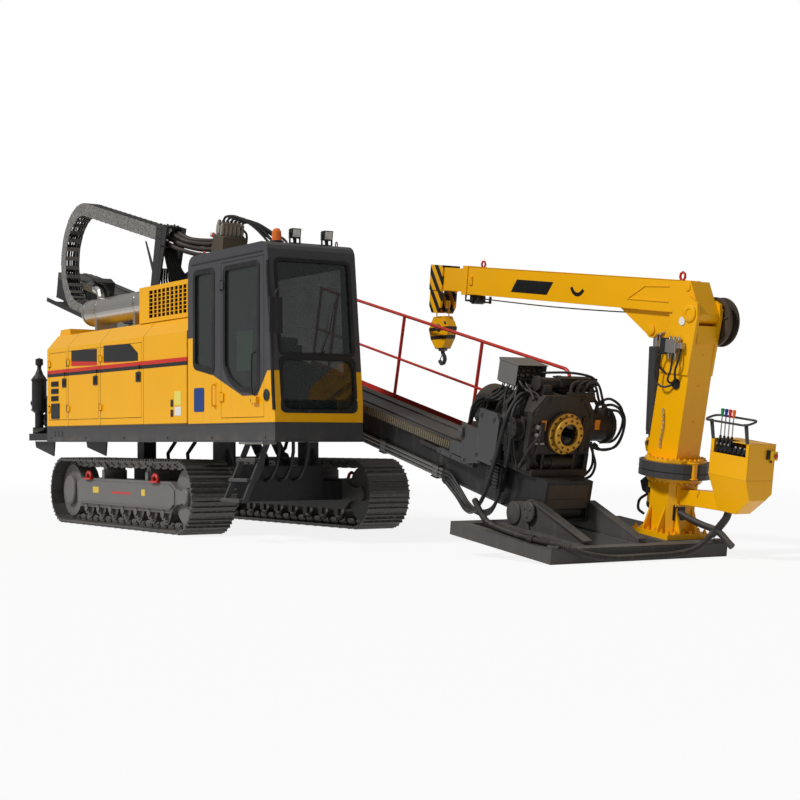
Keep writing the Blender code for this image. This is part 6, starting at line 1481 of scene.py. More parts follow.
for y in (-0.12, 0.3):
    frame_work.block((-0.42, y - 0.09, 0.34), (-0.2, y, 0.44))
for corner in ((-0.36, 0.17), (-0.36, -0.17), (0.32, 0.17), (0.32, -0.17), (-0.2, 0.315), (0.19, 0.315)):
    frame_work.bolts([(-0.09, corner[0], corner[1])], AHEAD, 0.019, 0.016)
for gusset in ([(-0.375, 0.205), (-0.25, 0.345), (-0.2, 0.345), (-0.355, 0.165)],
               [(0.335, 0.205), (0.23, 0.345), (0.18, 0.345), (0.315, 0.165)]):
    frame_work.prism(gusset, "x", -0.09, -0.078)
frame_work.block((-0.088, -0.3, -0.2), (-0.072, -0.235, 0.1))
frame_work.block((-0.088, 0.22, -0.2), (-0.072, 0.27, 0.16))
frame_piece = frame_work.finish("vise_frame", vise_black, "mast", "grey_paint", 0.004)
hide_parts("clamp_vise")
breakout = Form(mast)
breakout.turned((-1.3, 0, 0), AHEAD,
                [(0, 0.131), (0, HEAD_RADIUS), (0.17, HEAD_RADIUS), (0.18, 0.205), (0.37, 0.205),
                 (0.38, HEAD_RADIUS),
                                                    (0.53, HEAD_RADIUS), (0.54, 0.225), (0.54, 0.131)], 48)
for side in (-1, 1):
    breakout.turned((-1.03, side * 0.16, 0.1), (0, side, 0),
                    capped((0, 0.088), (0.15, 0.088), (0.155, 0.075), (0.19, 0.075)), 28)
    breakout.bolts([(-1.03 + 0.06 * cos(a), side * 0.35, 0.1 + 0.06 * sin(a)) for a in (0.4, 1.97, 3.54,
        5.11)], (0, side, 0), 0.01, 0.008)
breakout_piece = breakout.finish("breakout_head", vise_black, "breakout_vise", "black_parts", 0.002)
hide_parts("breakout_vise")
ring = Form(mast)
ring.turned((0, 0, 0), AHEAD,
            [(0, 0.104), (0, 0.168), (0.018, 0.168), (0.026, 0.16), (0.026, 0.112), (0.018, 0.104)], 48)
ring.turned((-0.055, 0, 0), AHEAD, [(0, 0.133), (0, 0.202), (0.022, 0.202), (0.028, 0.195), (0.028, 0.133)],
            48)
ring.finish("vise_ring", gold, "mast", "bare_steel", 0.0015)
ring_core = Form(mast)
ring_core.turned((-0.027, 0, 0), AHEAD, hoop(0.131, 0.15, 0.027), 48)
ring_core.turned((-0.09, 0, 0), AHEAD, hoop(0.131, 0.205, 0.035), 48)
for step in range(12):
    angle = step * tau / 12
    ring_core.rod((0.02, 0.139 * cos(angle), 0.139 * sin(angle)),
                  (0.034, 0.139 * cos(angle), 0.139 * sin(angle)), 0.013, 6)
for step in range(16):
    angle = (step + 0.5) * tau / 16
    ring_core.rod((-0.03, 0.184 * cos(angle), 0.184 * sin(angle)),
                  (-0.018, 0.184 * cos(angle), 0.184 * sin(angle)), 0.012, 8)
ring_core.finish("vise_ring_bolts",
                 enamel("bolt_rust", (0.1, 0.045, 0.022), 0.5, dust=0.2, wear=0.7, metallic=0.4, mottle=0.3,
                        worn=(0.1, 0.08, 0.07)), "mast", "bare_steel", 0.0008)
jaws = Form(mast)
for step in range(3):
    jaws.place = mast @ Matrix.Translation((-0.14, 0, 0)) @ Matrix.Rotation(radians(90 + 120 * step), 4,
        "X")
    jaws.block((-0.1, -0.045, 0.074), (0.1, 0.045, 0.129))
    for groove in range(6):
        jaws.block((-0.095 + 0.032 * groove, -0.043, 0.068), (-0.08 + 0.032 * groove, 0.043, 0.075))
jaws.finish("vise_jaws", worn_steel, "mast", "bare_steel", 0.001)

closers = Form(mast)
closers.turned((-0.3, 0.325, 0.03), INWARD,
               capped((0, 0.15), (0.07, 0.15), (0.075, 0.168), (0.1, 0.168), (0.105, 0.158), (0.32, 0.158),
                      (0.33, 0.182), (0.365, 0.182), (0.372, 0.17), (0.372, 0.09), (0.39, 0.085)), 40)
closers.bolts(bolt_circle(-0.3, 0.697, 0.03, 0.15, 12, "y"),
              INWARD, 0.014, 0.014)
closers.turned((-0.3, -0.345, 0), OUTWARD,
               capped((0, 0.125), (0.05, 0.125), (0.055, 0.105), (0.12, 0.105), (0.125, 0.115),
                      (0.15, 0.115), (0.155, 0.05), (0.165, 0.045)), 32)
closers.bolts(bolt_circle(-0.3, -0.5, 0, 0.094, 8, "y"),
              OUTWARD, 0.011, 0.01)
closers.turned((-0.31, -0.24, VISE_TOP + 0.08), INWARD,
               capped((0, 0.072), (0.03, 0.072), (0.035, 0.058), (0.25, 0.058), (0.255, 0.08), (0.3, 0.08),
                      (0.305, 0.066), (0.62, 0.066), (0.625, 0.08), (0.66, 0.08), (0.665, 0.04),
                      (0.69, 0.03)), 32)
for angle in (45, 135, 225, 315):
    x = -0.31 + 0.082 * cos(radians(angle))
    z = VISE_TOP + 0.08 + 0.082 * sin(radians(angle))
    closers.rod((x, 0, z), (x, 0.445, z), 0.008, 8)
    closers.bolts([(x, 0.445, z)], INWARD, 0.014, 0.012)
closers.block((-0.38, 0.05, VISE_TOP - 0.02), (-0.24, 0.13, VISE_TOP + 0.04))
closers.block((-0.15, 0.02, 0.3), (-0.1, 0.34, 0.39))
for y in (0.05, 0.13, 0.21, 0.29):
    closers.turned((-0.125, y, 0.39), UP, stepped((0.02, 0.025), (0.014, 0.045)), 8)
for x, y, z in ((-0.24, 0.5, 0.185), (-0.36, 0.6, 0.18), (-0.2, 0.62, 0.15)):
    closers.turned((x, y, z), (0.1, 0, 1), stepped((0.022, 0.03), (0.016, 0.06)), 8)
closers.finish("vise_cylinders", vise_black, "mast", "black_parts", 0.002)

cheeks = Form(mast)
for plate_line, y in (
    ([(-1.07, -0.55), (-0.77, -0.47), (-0.84, -0.15), (-1.17, -0.15)], -0.44),
    ([(-0.8, -0.43), (-0.46, -0.43), (-0.46, 0.02), (-0.52, 0.085), (-0.8, 0.085)], -0.5),
    ([(-1.38, -0.52), (-0.54, -0.52), (-0.54, -0.06), (-1.1, -0.02), (-1.38, -0.2)], 0.39),
):
    cheeks.prism(plate_line, "y", y, y + 0.035)
    corners = [plate_line[0], plate_line[1], plate_line[-1], plate_line[-2]]
    middle = Vector((sum(p[0] for p in corners) / 4, sum(p[1] for p in corners) / 4))
    side = -1 if y < 0 else 1
    face = y if y < 0 else y + 0.035
    for corner in corners:
        spot = middle + (Vector(corner) - middle) * 0.78
        cheeks.turned((spot.x, face, spot.y), (0, side, 0),
                      capped((0, 0.03), (0.006, 0.03), (0.008, 0.019), (0.02, 0.019)), 16)
cheeks.block((-0.8, -0.47, -0.4), (-0.5, -0.335, 0.05))
cheeks.block((-1.36, -0.41, -0.5), (-0.84, -0.335, -0.38))
cheeks.block((-1.36, 0.335, -0.5), (-0.56, 0.4, -0.38))
cheeks.block((-1.6, -0.395, -0.565), (-0.94, -0.335, -0.515))
cheeks.bolts([(x, -0.395, -0.54) for x in (-1.55, -1.35, -1.15, -0.98)], OUTWARD, 0.013, 0.01)
cheeks.turned((-1.13, -0.44, -0.25), OUTWARD, capped((0, 0.045), (0.03, 0.045), (0.04, 0.035)), 20)
cheeks.finish("vise_cheeks", vise_grey, "mast", "grey_paint", 0.003)
guard_box = Form(mast)
guard_box.block((-0.68, -0.4, -0.68), (-0.44, -0.335, -0.44))
for row in range(7):
    z = -0.655 + 0.033 * row
    for x in (-0.665, -0.555):
        guard_box.prism(rounded([(x, z), (x + 0.095, z), (x + 0.095, z + 0.021), (x, z + 0.021)], 0.009, 2),
                        "y", -0.424, -0.4)
guard_box.finish("vise_guard", black_paint, "mast", "black_parts", 0.001)
hood = Form(mast)
hood.block((-0.8, -0.348, 0.37), (-0.49, -0.34, 0.575))
hood.block((-0.8, -0.34, 0.37), (-0.792, 0, 0.575))
hood.block((-0.8, 0, 0.37), (-0.49, 0.008, 0.575))
hood.prism([(-0.804, 0.575), (-0.476, 0.575), (-0.476, 0.583), (-0.804, 0.6)], "y", -0.354, 0.014)
hood.finish("valve_hood", enamel("hood_enamel", (0.135, 0.132, 0.126), 0.42, dust=0.16, wear=0.3), "mast",
            "grey_paint", 0.003)
valve_block = Form(mast)
for column in range(5):
    y = -0.335 + 0.067 * column
    valve_block.block((-0.785, y + 0.004, 0.4), (-0.575, y + 0.061, 0.545))
    valve_block.turned((-0.575, y + 0.033, 0.515), AHEAD, stepped((0.02, 0.03), (0.014, 0.045)), 12)
valve_block.block((-0.79, -0.336, 0.36), (-0.54, -0.003, 0.405))
valve_block.block((-0.62, -0.2, 0.3), (-0.46, -0.06, 0.37))
valve_block.finish("valve_block", vise_brown, "mast", "bare_steel", 0.002)
fittings = Form(mast)
for column in range(5):
    y = -0.302 + 0.067 * column
    for z in (0.425, 0.468):
        fittings.turned((-0.575, y, z), AHEAD, stepped((0.017, 0.022), (0.012, 0.045)), 6)
    for x in (-0.74, -0.66, -0.58):
        fittings.turned((x, y, 0.36), DOWN, stepped((0.016, 0.022), (0.011, 0.045)), 6)
fittings.turned((-0.49, -0.16, 0.33), (1, 0, -0.3), stepped((0.026, 0.04), (0.02, 0.09)), 6)
fittings.turned((-0.49, -0.09, 0.33), (1, 0.2, -0.4), stepped((0.026, 0.04), (0.02, 0.08)), 6)
for z in (0.06, -0.02):
    fittings.turned((-0.085, -0.33, z), AHEAD, stepped((0.022, 0.035), (0.014, 0.06)), 6)
fittings.rod((-0.05, -0.34, -0.1), (-0.05, -0.24, -0.1), 0.011, 10)
fittings.finish("valve_fittings", plated_steel, "mast", "bare_steel", 0)
plates = Form(mast)
plates.block((-0.09, -0.275, 0.02), (-0.083, -0.215, 0.12))
plates.block((-0.142, 0.42, 0.02), (-0.136, 0.485, 0.12))
plates.finish("vise_blank_plates", enamel("orange_plate", (0.75, 0.24, 0.015), 0.4, dust=0.1, wear=0.3),
              "mast", "yellow_paint", 0)
nose = Form(mast)
nose.block((-0.08, -0.2495, -0.7), (0.138, 0.2495, -0.46))
nose.block((0.14, -0.26, -0.62), (0.15, 0.26, -0.606))
nose.finish("mast_nose_plug", vise_brown, "mast", "grey_paint", 0.003)

vise_hoses = Form(mast)
rng = random.Random(11)


def hose(points, radius=0.0135):
    """A hose on the vises, with a crimped ferrule at each end."""
    vise_hoses.tube(flow(points), radius, 10)
    for spot, after in ((points[0], points[1]), (points[-1], points[-2])):
        way = (Vector(after) - Vector(spot)).normalized()
        vise_hoses.rod(spot, Vector(spot) + way * 0.05, radius * 1.35, 8)


for column in range(5):
    y = -0.302 + 0.067 * column
    sag = rng.uniform(0, 0.05)
    hose([(-0.74, y, 0.33), (-0.77, y - 0.03, 0.26), (-0.86, y * 0.9 - 0.1, 0.2 - sag),
          (-0.96, -0.36 - 0.02 * column, 0.16 - sag),
          (-1.03 - 0.02 * column, -0.395, 0.02 - 0.05 * column)])
    hose([(-0.66, y, 0.33), (-0.66, y - 0.02, 0.27), (-0.6, -0.36 + 0.02 * column, 0.18 - sag),
          (-0.5 + 0.02 * column, -0.43, 0.05),
          (-0.47 + 0.02 * column, -0.43 + 0.01 * column, -0.14 - 0.06 * column)])
    hose([(-0.53, y, 0.447), (-0.44, y - 0.01, 0.42 - sag), (-0.38, y * 0.8 - 0.05, 0.37 - sag * 0.6),
          (-0.3, -0.29 + 0.05 * column, 0.345), (-0.22, -0.33 + 0.07 * column, 0.335),
          (-0.17, -0.345 + 0.08 * column, 0.3)], 0.012)
for number in range(4):
    y = -0.4 - 0.012 * number
    hose([(-0.53, -0.29 + 0.04 * number, 0.4), (-0.44, -0.36, 0.33 - 0.02 * number),
          (-0.4 + 0.03 * number, y, 0.2), (-0.4 + 0.04 * number, y - 0.015, 0),
          (-0.42 + 0.06 * number, y, -0.22), (-0.44 + 0.07 * number, -0.38, -0.36)], 0.0125)
for number in range(3):
    hose([(-0.125, 0.05 + 0.08 * number, 0.43), (-0.13, 0.07 + 0.09 * number, 0.475),
          (-0.16, 0.2 + 0.08 * number, 0.5), (-0.2, 0.36 + 0.05 * number, 0.44),
          (-0.24, 0.45 + 0.05 * number, 0.32), (-0.24, 0.5 + 0.04 * number, 0.245)], 0.0125)
hose([(-0.53, -0.1, 0.49), (-0.4, -0.02, 0.53), (-0.28, 0.16, 0.555), (-0.22, 0.36, 0.53),
      (-0.24, 0.46, 0.45)], 0.0125)
hose([(-0.24, 0.56, 0.24), (-0.18, 0.66, 0.26), (-0.14, 0.77, 0.18), (-0.15, 0.81, 0.02),
      (-0.2, 0.78, -0.16), (-0.28, 0.68, -0.22), (-0.3, 0.58, -0.16)])
hose([(-0.36, 0.6, 0.24), (-0.3, 0.7, 0.3), (-0.22, 0.8, 0.22), (-0.22, 0.84, 0.04), (-0.27, 0.8, -0.12),
      (-0.36, 0.7, -0.16)])
hose([(-0.2, 0.62, 0.21), (-0.12, 0.7, 0.2), (-0.08, 0.75, 0.06), (-0.12, 0.72, -0.14), (-0.22, 0.6, -0.2),
      (-0.24, 0.48, -0.16)])
hose([(-0.2, 0.44, -0.12), (-0.16, 0.47, -0.22), (-0.13, 0.5, -0.34), (-0.16, 0.48, -0.46),
      (-0.26, 0.42, -0.5), (-0.36, 0.34, -0.42)])
hose([(-0.26, 0.5, -0.13), (-0.23, 0.53, -0.24), (-0.21, 0.52, -0.38), (-0.27, 0.46, -0.5),
      (-0.38, 0.4, -0.54), (-0.46, 0.345, -0.48)])
hose([(-0.02, -0.33, 0.06), (0.02, -0.35, 0.03), (0.02, -0.385, -0.04), (-0.04, -0.41, -0.14),
      (-0.12, -0.41, -0.28), (-0.2, -0.38, -0.36)])
hose([(-0.02, -0.33, -0.02), (0.01, -0.34, -0.06), (0, -0.35, -0.14), (-0.05, -0.33, -0.24),
      (-0.085, -0.27, -0.32)])
hose([(-0.42, -0.22, 0.31), (-0.38, -0.36, 0.3), (-0.34, -0.5, 0.12), (-0.35, -0.545, -0.15),
      (-0.4, -0.55, -0.45), (-0.52, -0.52, -0.75),
      (-0.72, -0.47, -0.95), (-0.95, -0.4, -1), (-1.2, -0.35, -0.93), (-1.5, -0.33, -0.83)], 0.021)
hose([(-0.42, -0.16, 0.31), (-0.36, -0.34, 0.27), (-0.3, -0.47, 0.16), (-0.26, -0.49, -0.04),
      (-0.28, -0.47, -0.26), (-0.36, -0.42, -0.4)], 0.018)
vise_hoses.finish("vise_hoses", hose_rubber, "mast", "black_parts", 0)


# Anchor frame: a thick weldment that is staked to the ground. Box stiffeners slope down from the
# pin, and a corrugated conduit lies along it to the crane.
ANCHOR_ANGLE = radians(7.2)
anchor = Matrix.Translation((5.08 + shift_x, 0.18, 0.43)) @ Matrix.Rotation(ANCHOR_ANGLE, 4, "Y")
PLATE_TOP = -0.172541
plate_paint = enamel("anchor_enamel", (0.062, 0.059, 0.055), 0.5, dust=0.22, wear=0.55, mottle=0.18,
                     dust_color=(0.21, 0.195, 0.17), worn=(0.24, 0.22, 0.2))
dress("anchor_frame", plate_paint)
stiffeners = Form(anchor)
for side in (-1, 1):
    run = [(0.1, 0.115), (0.9, PLATE_TOP + 0.05), (0.9, PLATE_TOP + 0.03), (0.098, 0.095)]
    stiffeners.prism(run, "y", *sorted((side * 0.275, side * 0.375)))
    stiffeners.turned((0, side * 0.345, 0), (0, side, 0),
                      capped((0, 0.105), (0.016, 0.105), (0.024, 0.095)), 32)
    stiffeners.bolts([(0.05 * cos(a), side * 0.369, 0.05 * sin(a)) for a in (0.5, 2.6, 4.7)], (0, side, 0),
                     0.013, 0.012)
    stiffeners.prism([(-0.345, PLATE_TOP), (-0.35, -0.05), (-0.235, 0.068), (-0.09, 0.085),
                      (0.02, PLATE_TOP)], "y", *sorted((side * 0.286, side * 0.343)))
    stiffeners.turned((-0.235, side * 0.343, -0.047), (0, side, 0),
                      capped((0, 0.112), (0.014, 0.112), (0.022, 0.1)), 32)
for y in (-0.4, -0.28, 0.4, 0.66):
    stiffeners.rod((-0.42, y, PLATE_TOP), (0.87, y, PLATE_TOP), 0.009, 8)
stiffeners.block((0.9, -0.845, PLATE_TOP), (1.03, 1.28, PLATE_TOP + 0.008))
for y in (-0.78, 1.22):
    stiffeners.turned((0.97, y, PLATE_TOP + 0.008), UP, hoop(0.03, 0.055, 0.02), 24)
stiffeners.finish("anchor_stiffeners", plate_paint, "anchor", "bare_steel", 0.003)
conduit = Form(anchor)
CONDUIT = [(-0.58, -0.58, 0.03), (-0.4, -0.63, -0.06), (-0.2, -0.68, -0.125), (0.05, -0.73, -0.139),
           (0.4, -0.77, -0.139), (0.8, -0.76, -0.139), (1.02, -0.68, -0.15),
           (1.11, -0.48, -0.21), (1.135, -0.2, -0.245), (1.135, 0.2, -0.245), (1.13, 0.52, -0.24),
           (1.12, 0.74, -0.215), (1.115, 0.88, -0.155), (1.13, 0.95, -0.085), (1.165, 0.985, -0.03)]
run = flow(CONDUIT, 44)
RIB_PITCH = 0.0085
ribbed, distance = [], 0
for before, after in zip(run, run[1:]):
    distance += (after - before).length
    if distance >= RIB_PITCH * len(ribbed):
        ribbed.append(after)
conduit.tube(ribbed, 0.027, 14, rib=0.005)
conduit.tube(flow([(1.14, 0.96, -0.07), (1.176, 0.99, -0.015), (1.235, 0.99, 0.05), (1.29, 0.99, 0.12),
                   (1.315, 0.99, 0.19)]), 0.037, 14)
conduit.tube(flow([(1.17, 0.98, -0.01), (1.24, 1, -0.05), (1.31, 1.01, -0.1), (1.37, 1.02, -0.14)]), 0.034,
             14)
conduit.tube(flow([(0.66, 0.92, 0.08), (0.74, 0.92, 0.075), (0.84, 0.935, 0.045), (0.98, 0.96, 0.012),
                   (1.1, 0.98, -0.005), (1.18, 0.99, -0.015)]), 0.033, 14)
conduit.rod((0.6, -0.775, -0.139), (0.68, -0.774, -0.139), 0.04, 16)
conduit.finish("anchor_conduit",
               enamel("conduit_plastic", (0.03, 0.027, 0.024), 0.5, dust=0.26, wear=0, mottle=0.2,
                      dust_color=(0.17, 0.145, 0.12)), "anchor", "black_parts", 0)


# Crane foot: a bolted yellow column with gussets, the geared slewing ring and its motor.
crane = anchor @ Matrix.Translation((0.531, 0.99, 0))
crane_paint = enamel("crane_enamel", YELLOW, 0.33, dust=0.035, wear=0.15, coat=0.05, worn=(0.3, 0.16, 0.03))
dress("crane_column", crane_paint)
dress("slewing_ring", grey_paint)
FLANGE_TOP = PLATE_TOP + 0.0503
RING_SEAT = 0.4108
RING_TOP = 0.5584
crane_foot = Form(crane)
edge = [-0.235, -0.145, -0.05, 0.05, 0.145, 0.235]
rim = [(x, y) for x in edge for y in (-0.235, 0.235)] + [(x, y) for x in (-0.235,
    0.235) for y in edge[1:-1]]
for x, y in rim:
    crane_foot.turned((x, y, FLANGE_TOP), UP, stepped((0.024, 0.004)), 16)
    crane_foot.rod((x, y, FLANGE_TOP + 0.004), (x, y, FLANGE_TOP + 0.024), 0.018, 6)
    crane_foot.rod((x, y, FLANGE_TOP + 0.024), (x, y, FLANGE_TOP + 0.036), 0.009, 8)
for step in range(28):
    angle = step * tau / 28
    crane_foot.rod((0.245 * cos(angle), 0.245 * sin(angle), RING_SEAT - 0.056),
                   (0.245 * cos(angle), 0.245 * sin(angle), RING_SEAT - 0.038), 0.013, 6)
crane_foot.finish("crane_foot_bolts", crane_paint, "anchor", "yellow_paint", 0)
slew_drive = Form(crane)
slew_drive.turned((-0.27, 0, RING_SEAT - 0.302), DOWN,
                  [(0, 0), (0, 0.075), (0.04, 0.07), (0.07, 0.04), (0.09, 0)], 24)
slew_drive.turned((-0.27, 0, RING_SEAT - 0.2), UP, hoop(0.07, 0.082, 0.05), 24)
slew_drive.prism([(-0.36, RING_SEAT - 0.05), (-0.44, RING_SEAT - 0.11), (-0.4, RING_SEAT - 0.2),
                  (-0.28, RING_SEAT - 0.24), (-0.24, RING_SEAT - 0.06)], "y", -0.05, 0.05)
slew_drive.tube(flow([(-0.3, -0.06, RING_SEAT - 0.22), (-0.32, -0.14, RING_SEAT - 0.28),
                      (-0.26, -0.2, RING_SEAT - 0.36), (-0.19, -0.185, RING_SEAT - 0.4)]), 0.014)
slew_drive.prism(rounded([(-0.147, 0), (0.011, 0), (0.011, 0.159), (-0.147, 0.159)], 0.02), "x", 0.1803,
                 0.1815)
slew_drive.finish("slew_drive", black_paint, "anchor", "black_parts", 0.002)


# Crane post: a leaning box with the boom's pin in its cheeks, the load-holding valve on its right
# face and the winch on its left.
post = crane @ Matrix.Translation((0, 0, RING_TOP))
dress("crane_post", crane_paint)
post_trim = Form(post)
for step in range(30):
    angle = step * tau / 30
    post_trim.turned((0.272 * cos(angle), 0.272 * sin(angle), 0.0302), UP,
                     stepped((0.019, 0.003), (0.014, 0.018)), 6)
post_trim.turned((0.325, -0.06, -0.14), UP, stepped((0.048, 0.012), (0.036, 0.155), (0.048, 0.166)), 20)
post_trim.block((0.24, -0.1, 0.004), (0.335, -0.02, 0.026))
for side in (-1, 1):
    post_trim.turned((0.195, side * 0.1605, 1.44), (0, side, 0),
                     [(0, 0.0405), (0, 0.085), (0.012, 0.085), (0.018, 0.075), (0.018, 0.0405)], 28)
post_trim.block((-0.1, -0.152, 1.3), (0.02, -0.146, 1.42))
post_trim.block((0.262, -0.121, 1.16), (0.286, 0.121, 1.33))
for z in (0.1, 0.4, 0.75, 1.05):
    lean = 0.165 + (z - 0.02) * 0.085
    post_trim.bolts([(lean + 0.001, 0, z)], AHEAD, 0.01, 0.006)
post_trim.finish("post_bosses", crane_paint, "crane_post", "yellow_paint", 0.002)
for name, x, z, color in (("white", 0.1, 1.36, (0.8, 0.78, 0.74)),
                          ("blue", -0.01, 0.93, (0.1, 0.18, 0.36))):
    disc = Form(post)
    disc.turned((x, -0.1655 if name == "white" else -0.1455, z), OUTWARD, stepped((0.042, 0.0012)), 28)
    disc.finish(f"post_disc_{name}", enamel(f"disc_{name}", color, 0.35, dust=0.05, wear=0.1, peel=0.0002),
                "crane_post", "yellow_paint", 0)
valve = Form(post @ Matrix.Translation((0.02, 0, 0.05)))
valve.block((-0.04, -0.245, 1), (0.1, -0.146, 1.13))
valve.block((0.1, -0.225, 1.05), (0.16, -0.15, 1.105))
for x in (-0.03, 0.03, 0.09):
    valve.turned((x, -0.19, 1.12), UP, stepped((0.018, 0.02), (0.013, 0.04)), 12)
valve.turned((-0.02, -0.19, 1.075), BACK, stepped((0.022, 0.03), (0.016, 0.07)), 12)
valve.turned((-0.04, -0.2, 1.05), BACK, capped((0, 0.038), (0.05, 0.038), (0.055, 0.028), (0.11, 0.028)),
             20)
for x in (-0.01, 0.04, 0.08):
    valve.turned((x, -0.215, 1), DOWN, stepped((0.016, 0.03), (0.012, 0.06)), 8)
valve.finish("holding_valve", plated_steel, "crane_post", "bare_steel", 0.002)
post_black = Form(post)
post_black.block((-0.098, -0.242, 1.035), (-0.021, -0.147, 1.188))
post_black.turned((0.045, -0.1455, 1.19), OUTWARD, stepped((0.082, 0.006)), 28)
post_black.turned((0.075, -0.1455, 0.755), OUTWARD, stepped((0.052, 0.012), (0.036, 0.02)), 24)
for points in ([(-0.06, -0.2, 1.05), (-0.12, -0.24, 1), (-0.145, -0.235, 0.86), (-0.125, -0.22, 0.75),
                (-0.04, -0.2, 0.715), (0.05, -0.165, 0.745)],
               [(0.07, -0.22, 1.08), (0.1, -0.25, 1.01), (0.085, -0.24, 0.9), (0.03, -0.22, 0.8),
                (0.02, -0.19, 0.765), (0.06, -0.165, 0.76)],
               [(0.15, -0.19, 1.1), (0.15, -0.215, 0.98), (0.12, -0.215, 0.9), (0.105, -0.2, 0.83),
                (0.09, -0.165, 0.775)],
               [(-0.09, -0.19, 1.125), (-0.14, -0.205, 1.07), (-0.165, -0.205, 0.97),
                (-0.12, -0.185, 0.885), (-0.07, -0.15, 0.845)]):
    post_black.tube(flow(points), 0.0105, 10)
post_black.finish("post_hoses", hose_rubber, "crane_post", "black_parts", 0)
chain_links = Form(post)
for number in range(14):
    z = 0.45 - 0.024 * number
    x = -0.06 + 0.012 * sin(number * 0.4)
    turn = 0.5 if number % 2 else 2.1
    c, s = cos(turn) * 0.009, sin(turn) * 0.009
    chain_links.tube([(x, -0.16, z + 0.017), (x + c, -0.16 + s * 0.6, z + 0.01),
                      (x + c, -0.16 + s * 0.6, z - 0.01), (x, -0.16, z - 0.017),
                      (x - c, -0.16 - s * 0.6, z - 0.01), (x - c, -0.16 - s * 0.6, z + 0.01),
                      (x, -0.16, z + 0.017)], 0.0035, 6)
chain_links.tube([(-0.07, -0.146, 0.5), (-0.07, -0.165, 0.5), (-0.055, -0.168, 0.475),
                  (-0.06, -0.165, 0.455)], 0.006, 8)
chain_links.finish("post_chain", plated_steel, "crane_post", "zinc_chain", 0)


# Winch: a narrow flanged drum on the post's far side, its wire rope laid between the flanges. The
# near flange is dished and brown with grease and dust.
WINCH_X, WINCH_Z, WINCH_SEAT = 0.18, 1.37, 0.1603
winch = Form(post)
winch.turned((WINCH_X, WINCH_SEAT, WINCH_Z), INWARD,
             [(0, 0), (0, 0.06), (0.022, 0.075), (0.022, 0.195), (0, 0.205), (0, 0.238), (0.03, 0.238),
              (0.034, 0.15), (0.1, 0.15), (0.104, 0.238),
              (0.122, 0.238), (0.126, 0.1), (0.175, 0.095), (0.182, 0)], 48)
for step in range(6):
    angle = step * tau / 6 + 0.3
    winch.rod((WINCH_X + 0.075 * cos(angle), WINCH_SEAT + 0.018, WINCH_Z + 0.075 * sin(angle)),
              (WINCH_X + 0.2 * cos(angle), WINCH_SEAT + 0.018, WINCH_Z + 0.2 * sin(angle)), 0.01, 8)
winch_piece = winch.finish("winch_drum", vise_brown, "crane_post", "yellow_paint", 0.002)
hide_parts("winch")
winch_arm = Form(post)
winch_arm.prism([(0.2, 1.5), (0.29, 1.5), (0.27, 1.4), (0.22, 1.4)], "y", 0.146, 0.235)
winch_arm.rod((0.235, 0.22, 1.45), (0.235, 0.262, 1.45), 0.022, 12)
winch_arm.finish("winch_arm", crane_paint, "crane_post", "yellow_paint", 0.004)
rope_steel = enamel("rope_steel", (0.16, 0.15, 0.135), 0.4, dust=0.1, wear=0.5, metallic=0.8,
                    rounding=0.001)
rope = Form(post)
for turn in range(5):
    y = WINCH_SEAT + 0.038 + turn * 0.0135
    circle = [(WINCH_X + 0.158 * cos(step * tau / 40), y + 0.0135 * step / 40,
               WINCH_Z + 0.158 * sin(step * tau / 40)) for step in range(41)]
    rope.tube(circle, 0.0068, 6)
rope.finish("winch_rope", rope_steel, "crane_post", "bare_steel", 0)


# Boom: a box section with a sliding inner section. A hexagonal stiffener is pressed into its root,
# and its head is striped as a warning.
boom = post @ Matrix.Translation((0.195, 0, 1.44))
BOOM_HALF = 0.12
BOOM_NOSE = -3.895
HEAD_FRONT = BOOM_NOSE - 0.69
dress("boom_outer", crane_paint)


def head_marks(paint, x, y, z):
    """Diagonal black stripes on the head's sides, laid out along the boom at rest."""
    along = x * cos(ANCHOR_ANGLE) - z * sin(ANCHOR_ANGLE)
    up = x * sin(ANCHOR_ANGLE) + z * cos(ANCHOR_ANGLE)
    spot = boom @ Vector((HEAD_FRONT, 0, 0))
    zero = spot.x * cos(ANCHOR_ANGLE) - spot.z * sin(ANCHOR_ANGLE)
    at_head = 1 - (along - zero).step(0.262, 0.264)
    wave = (along + up * 0.8) * (tau / 0.16)
    stripes = paint.add("ShaderNodeMath", {"operation": "SINE"}, {0: wave}).step(-0.05, 0.05)
    return [(at_head * stripes, BLACK)]


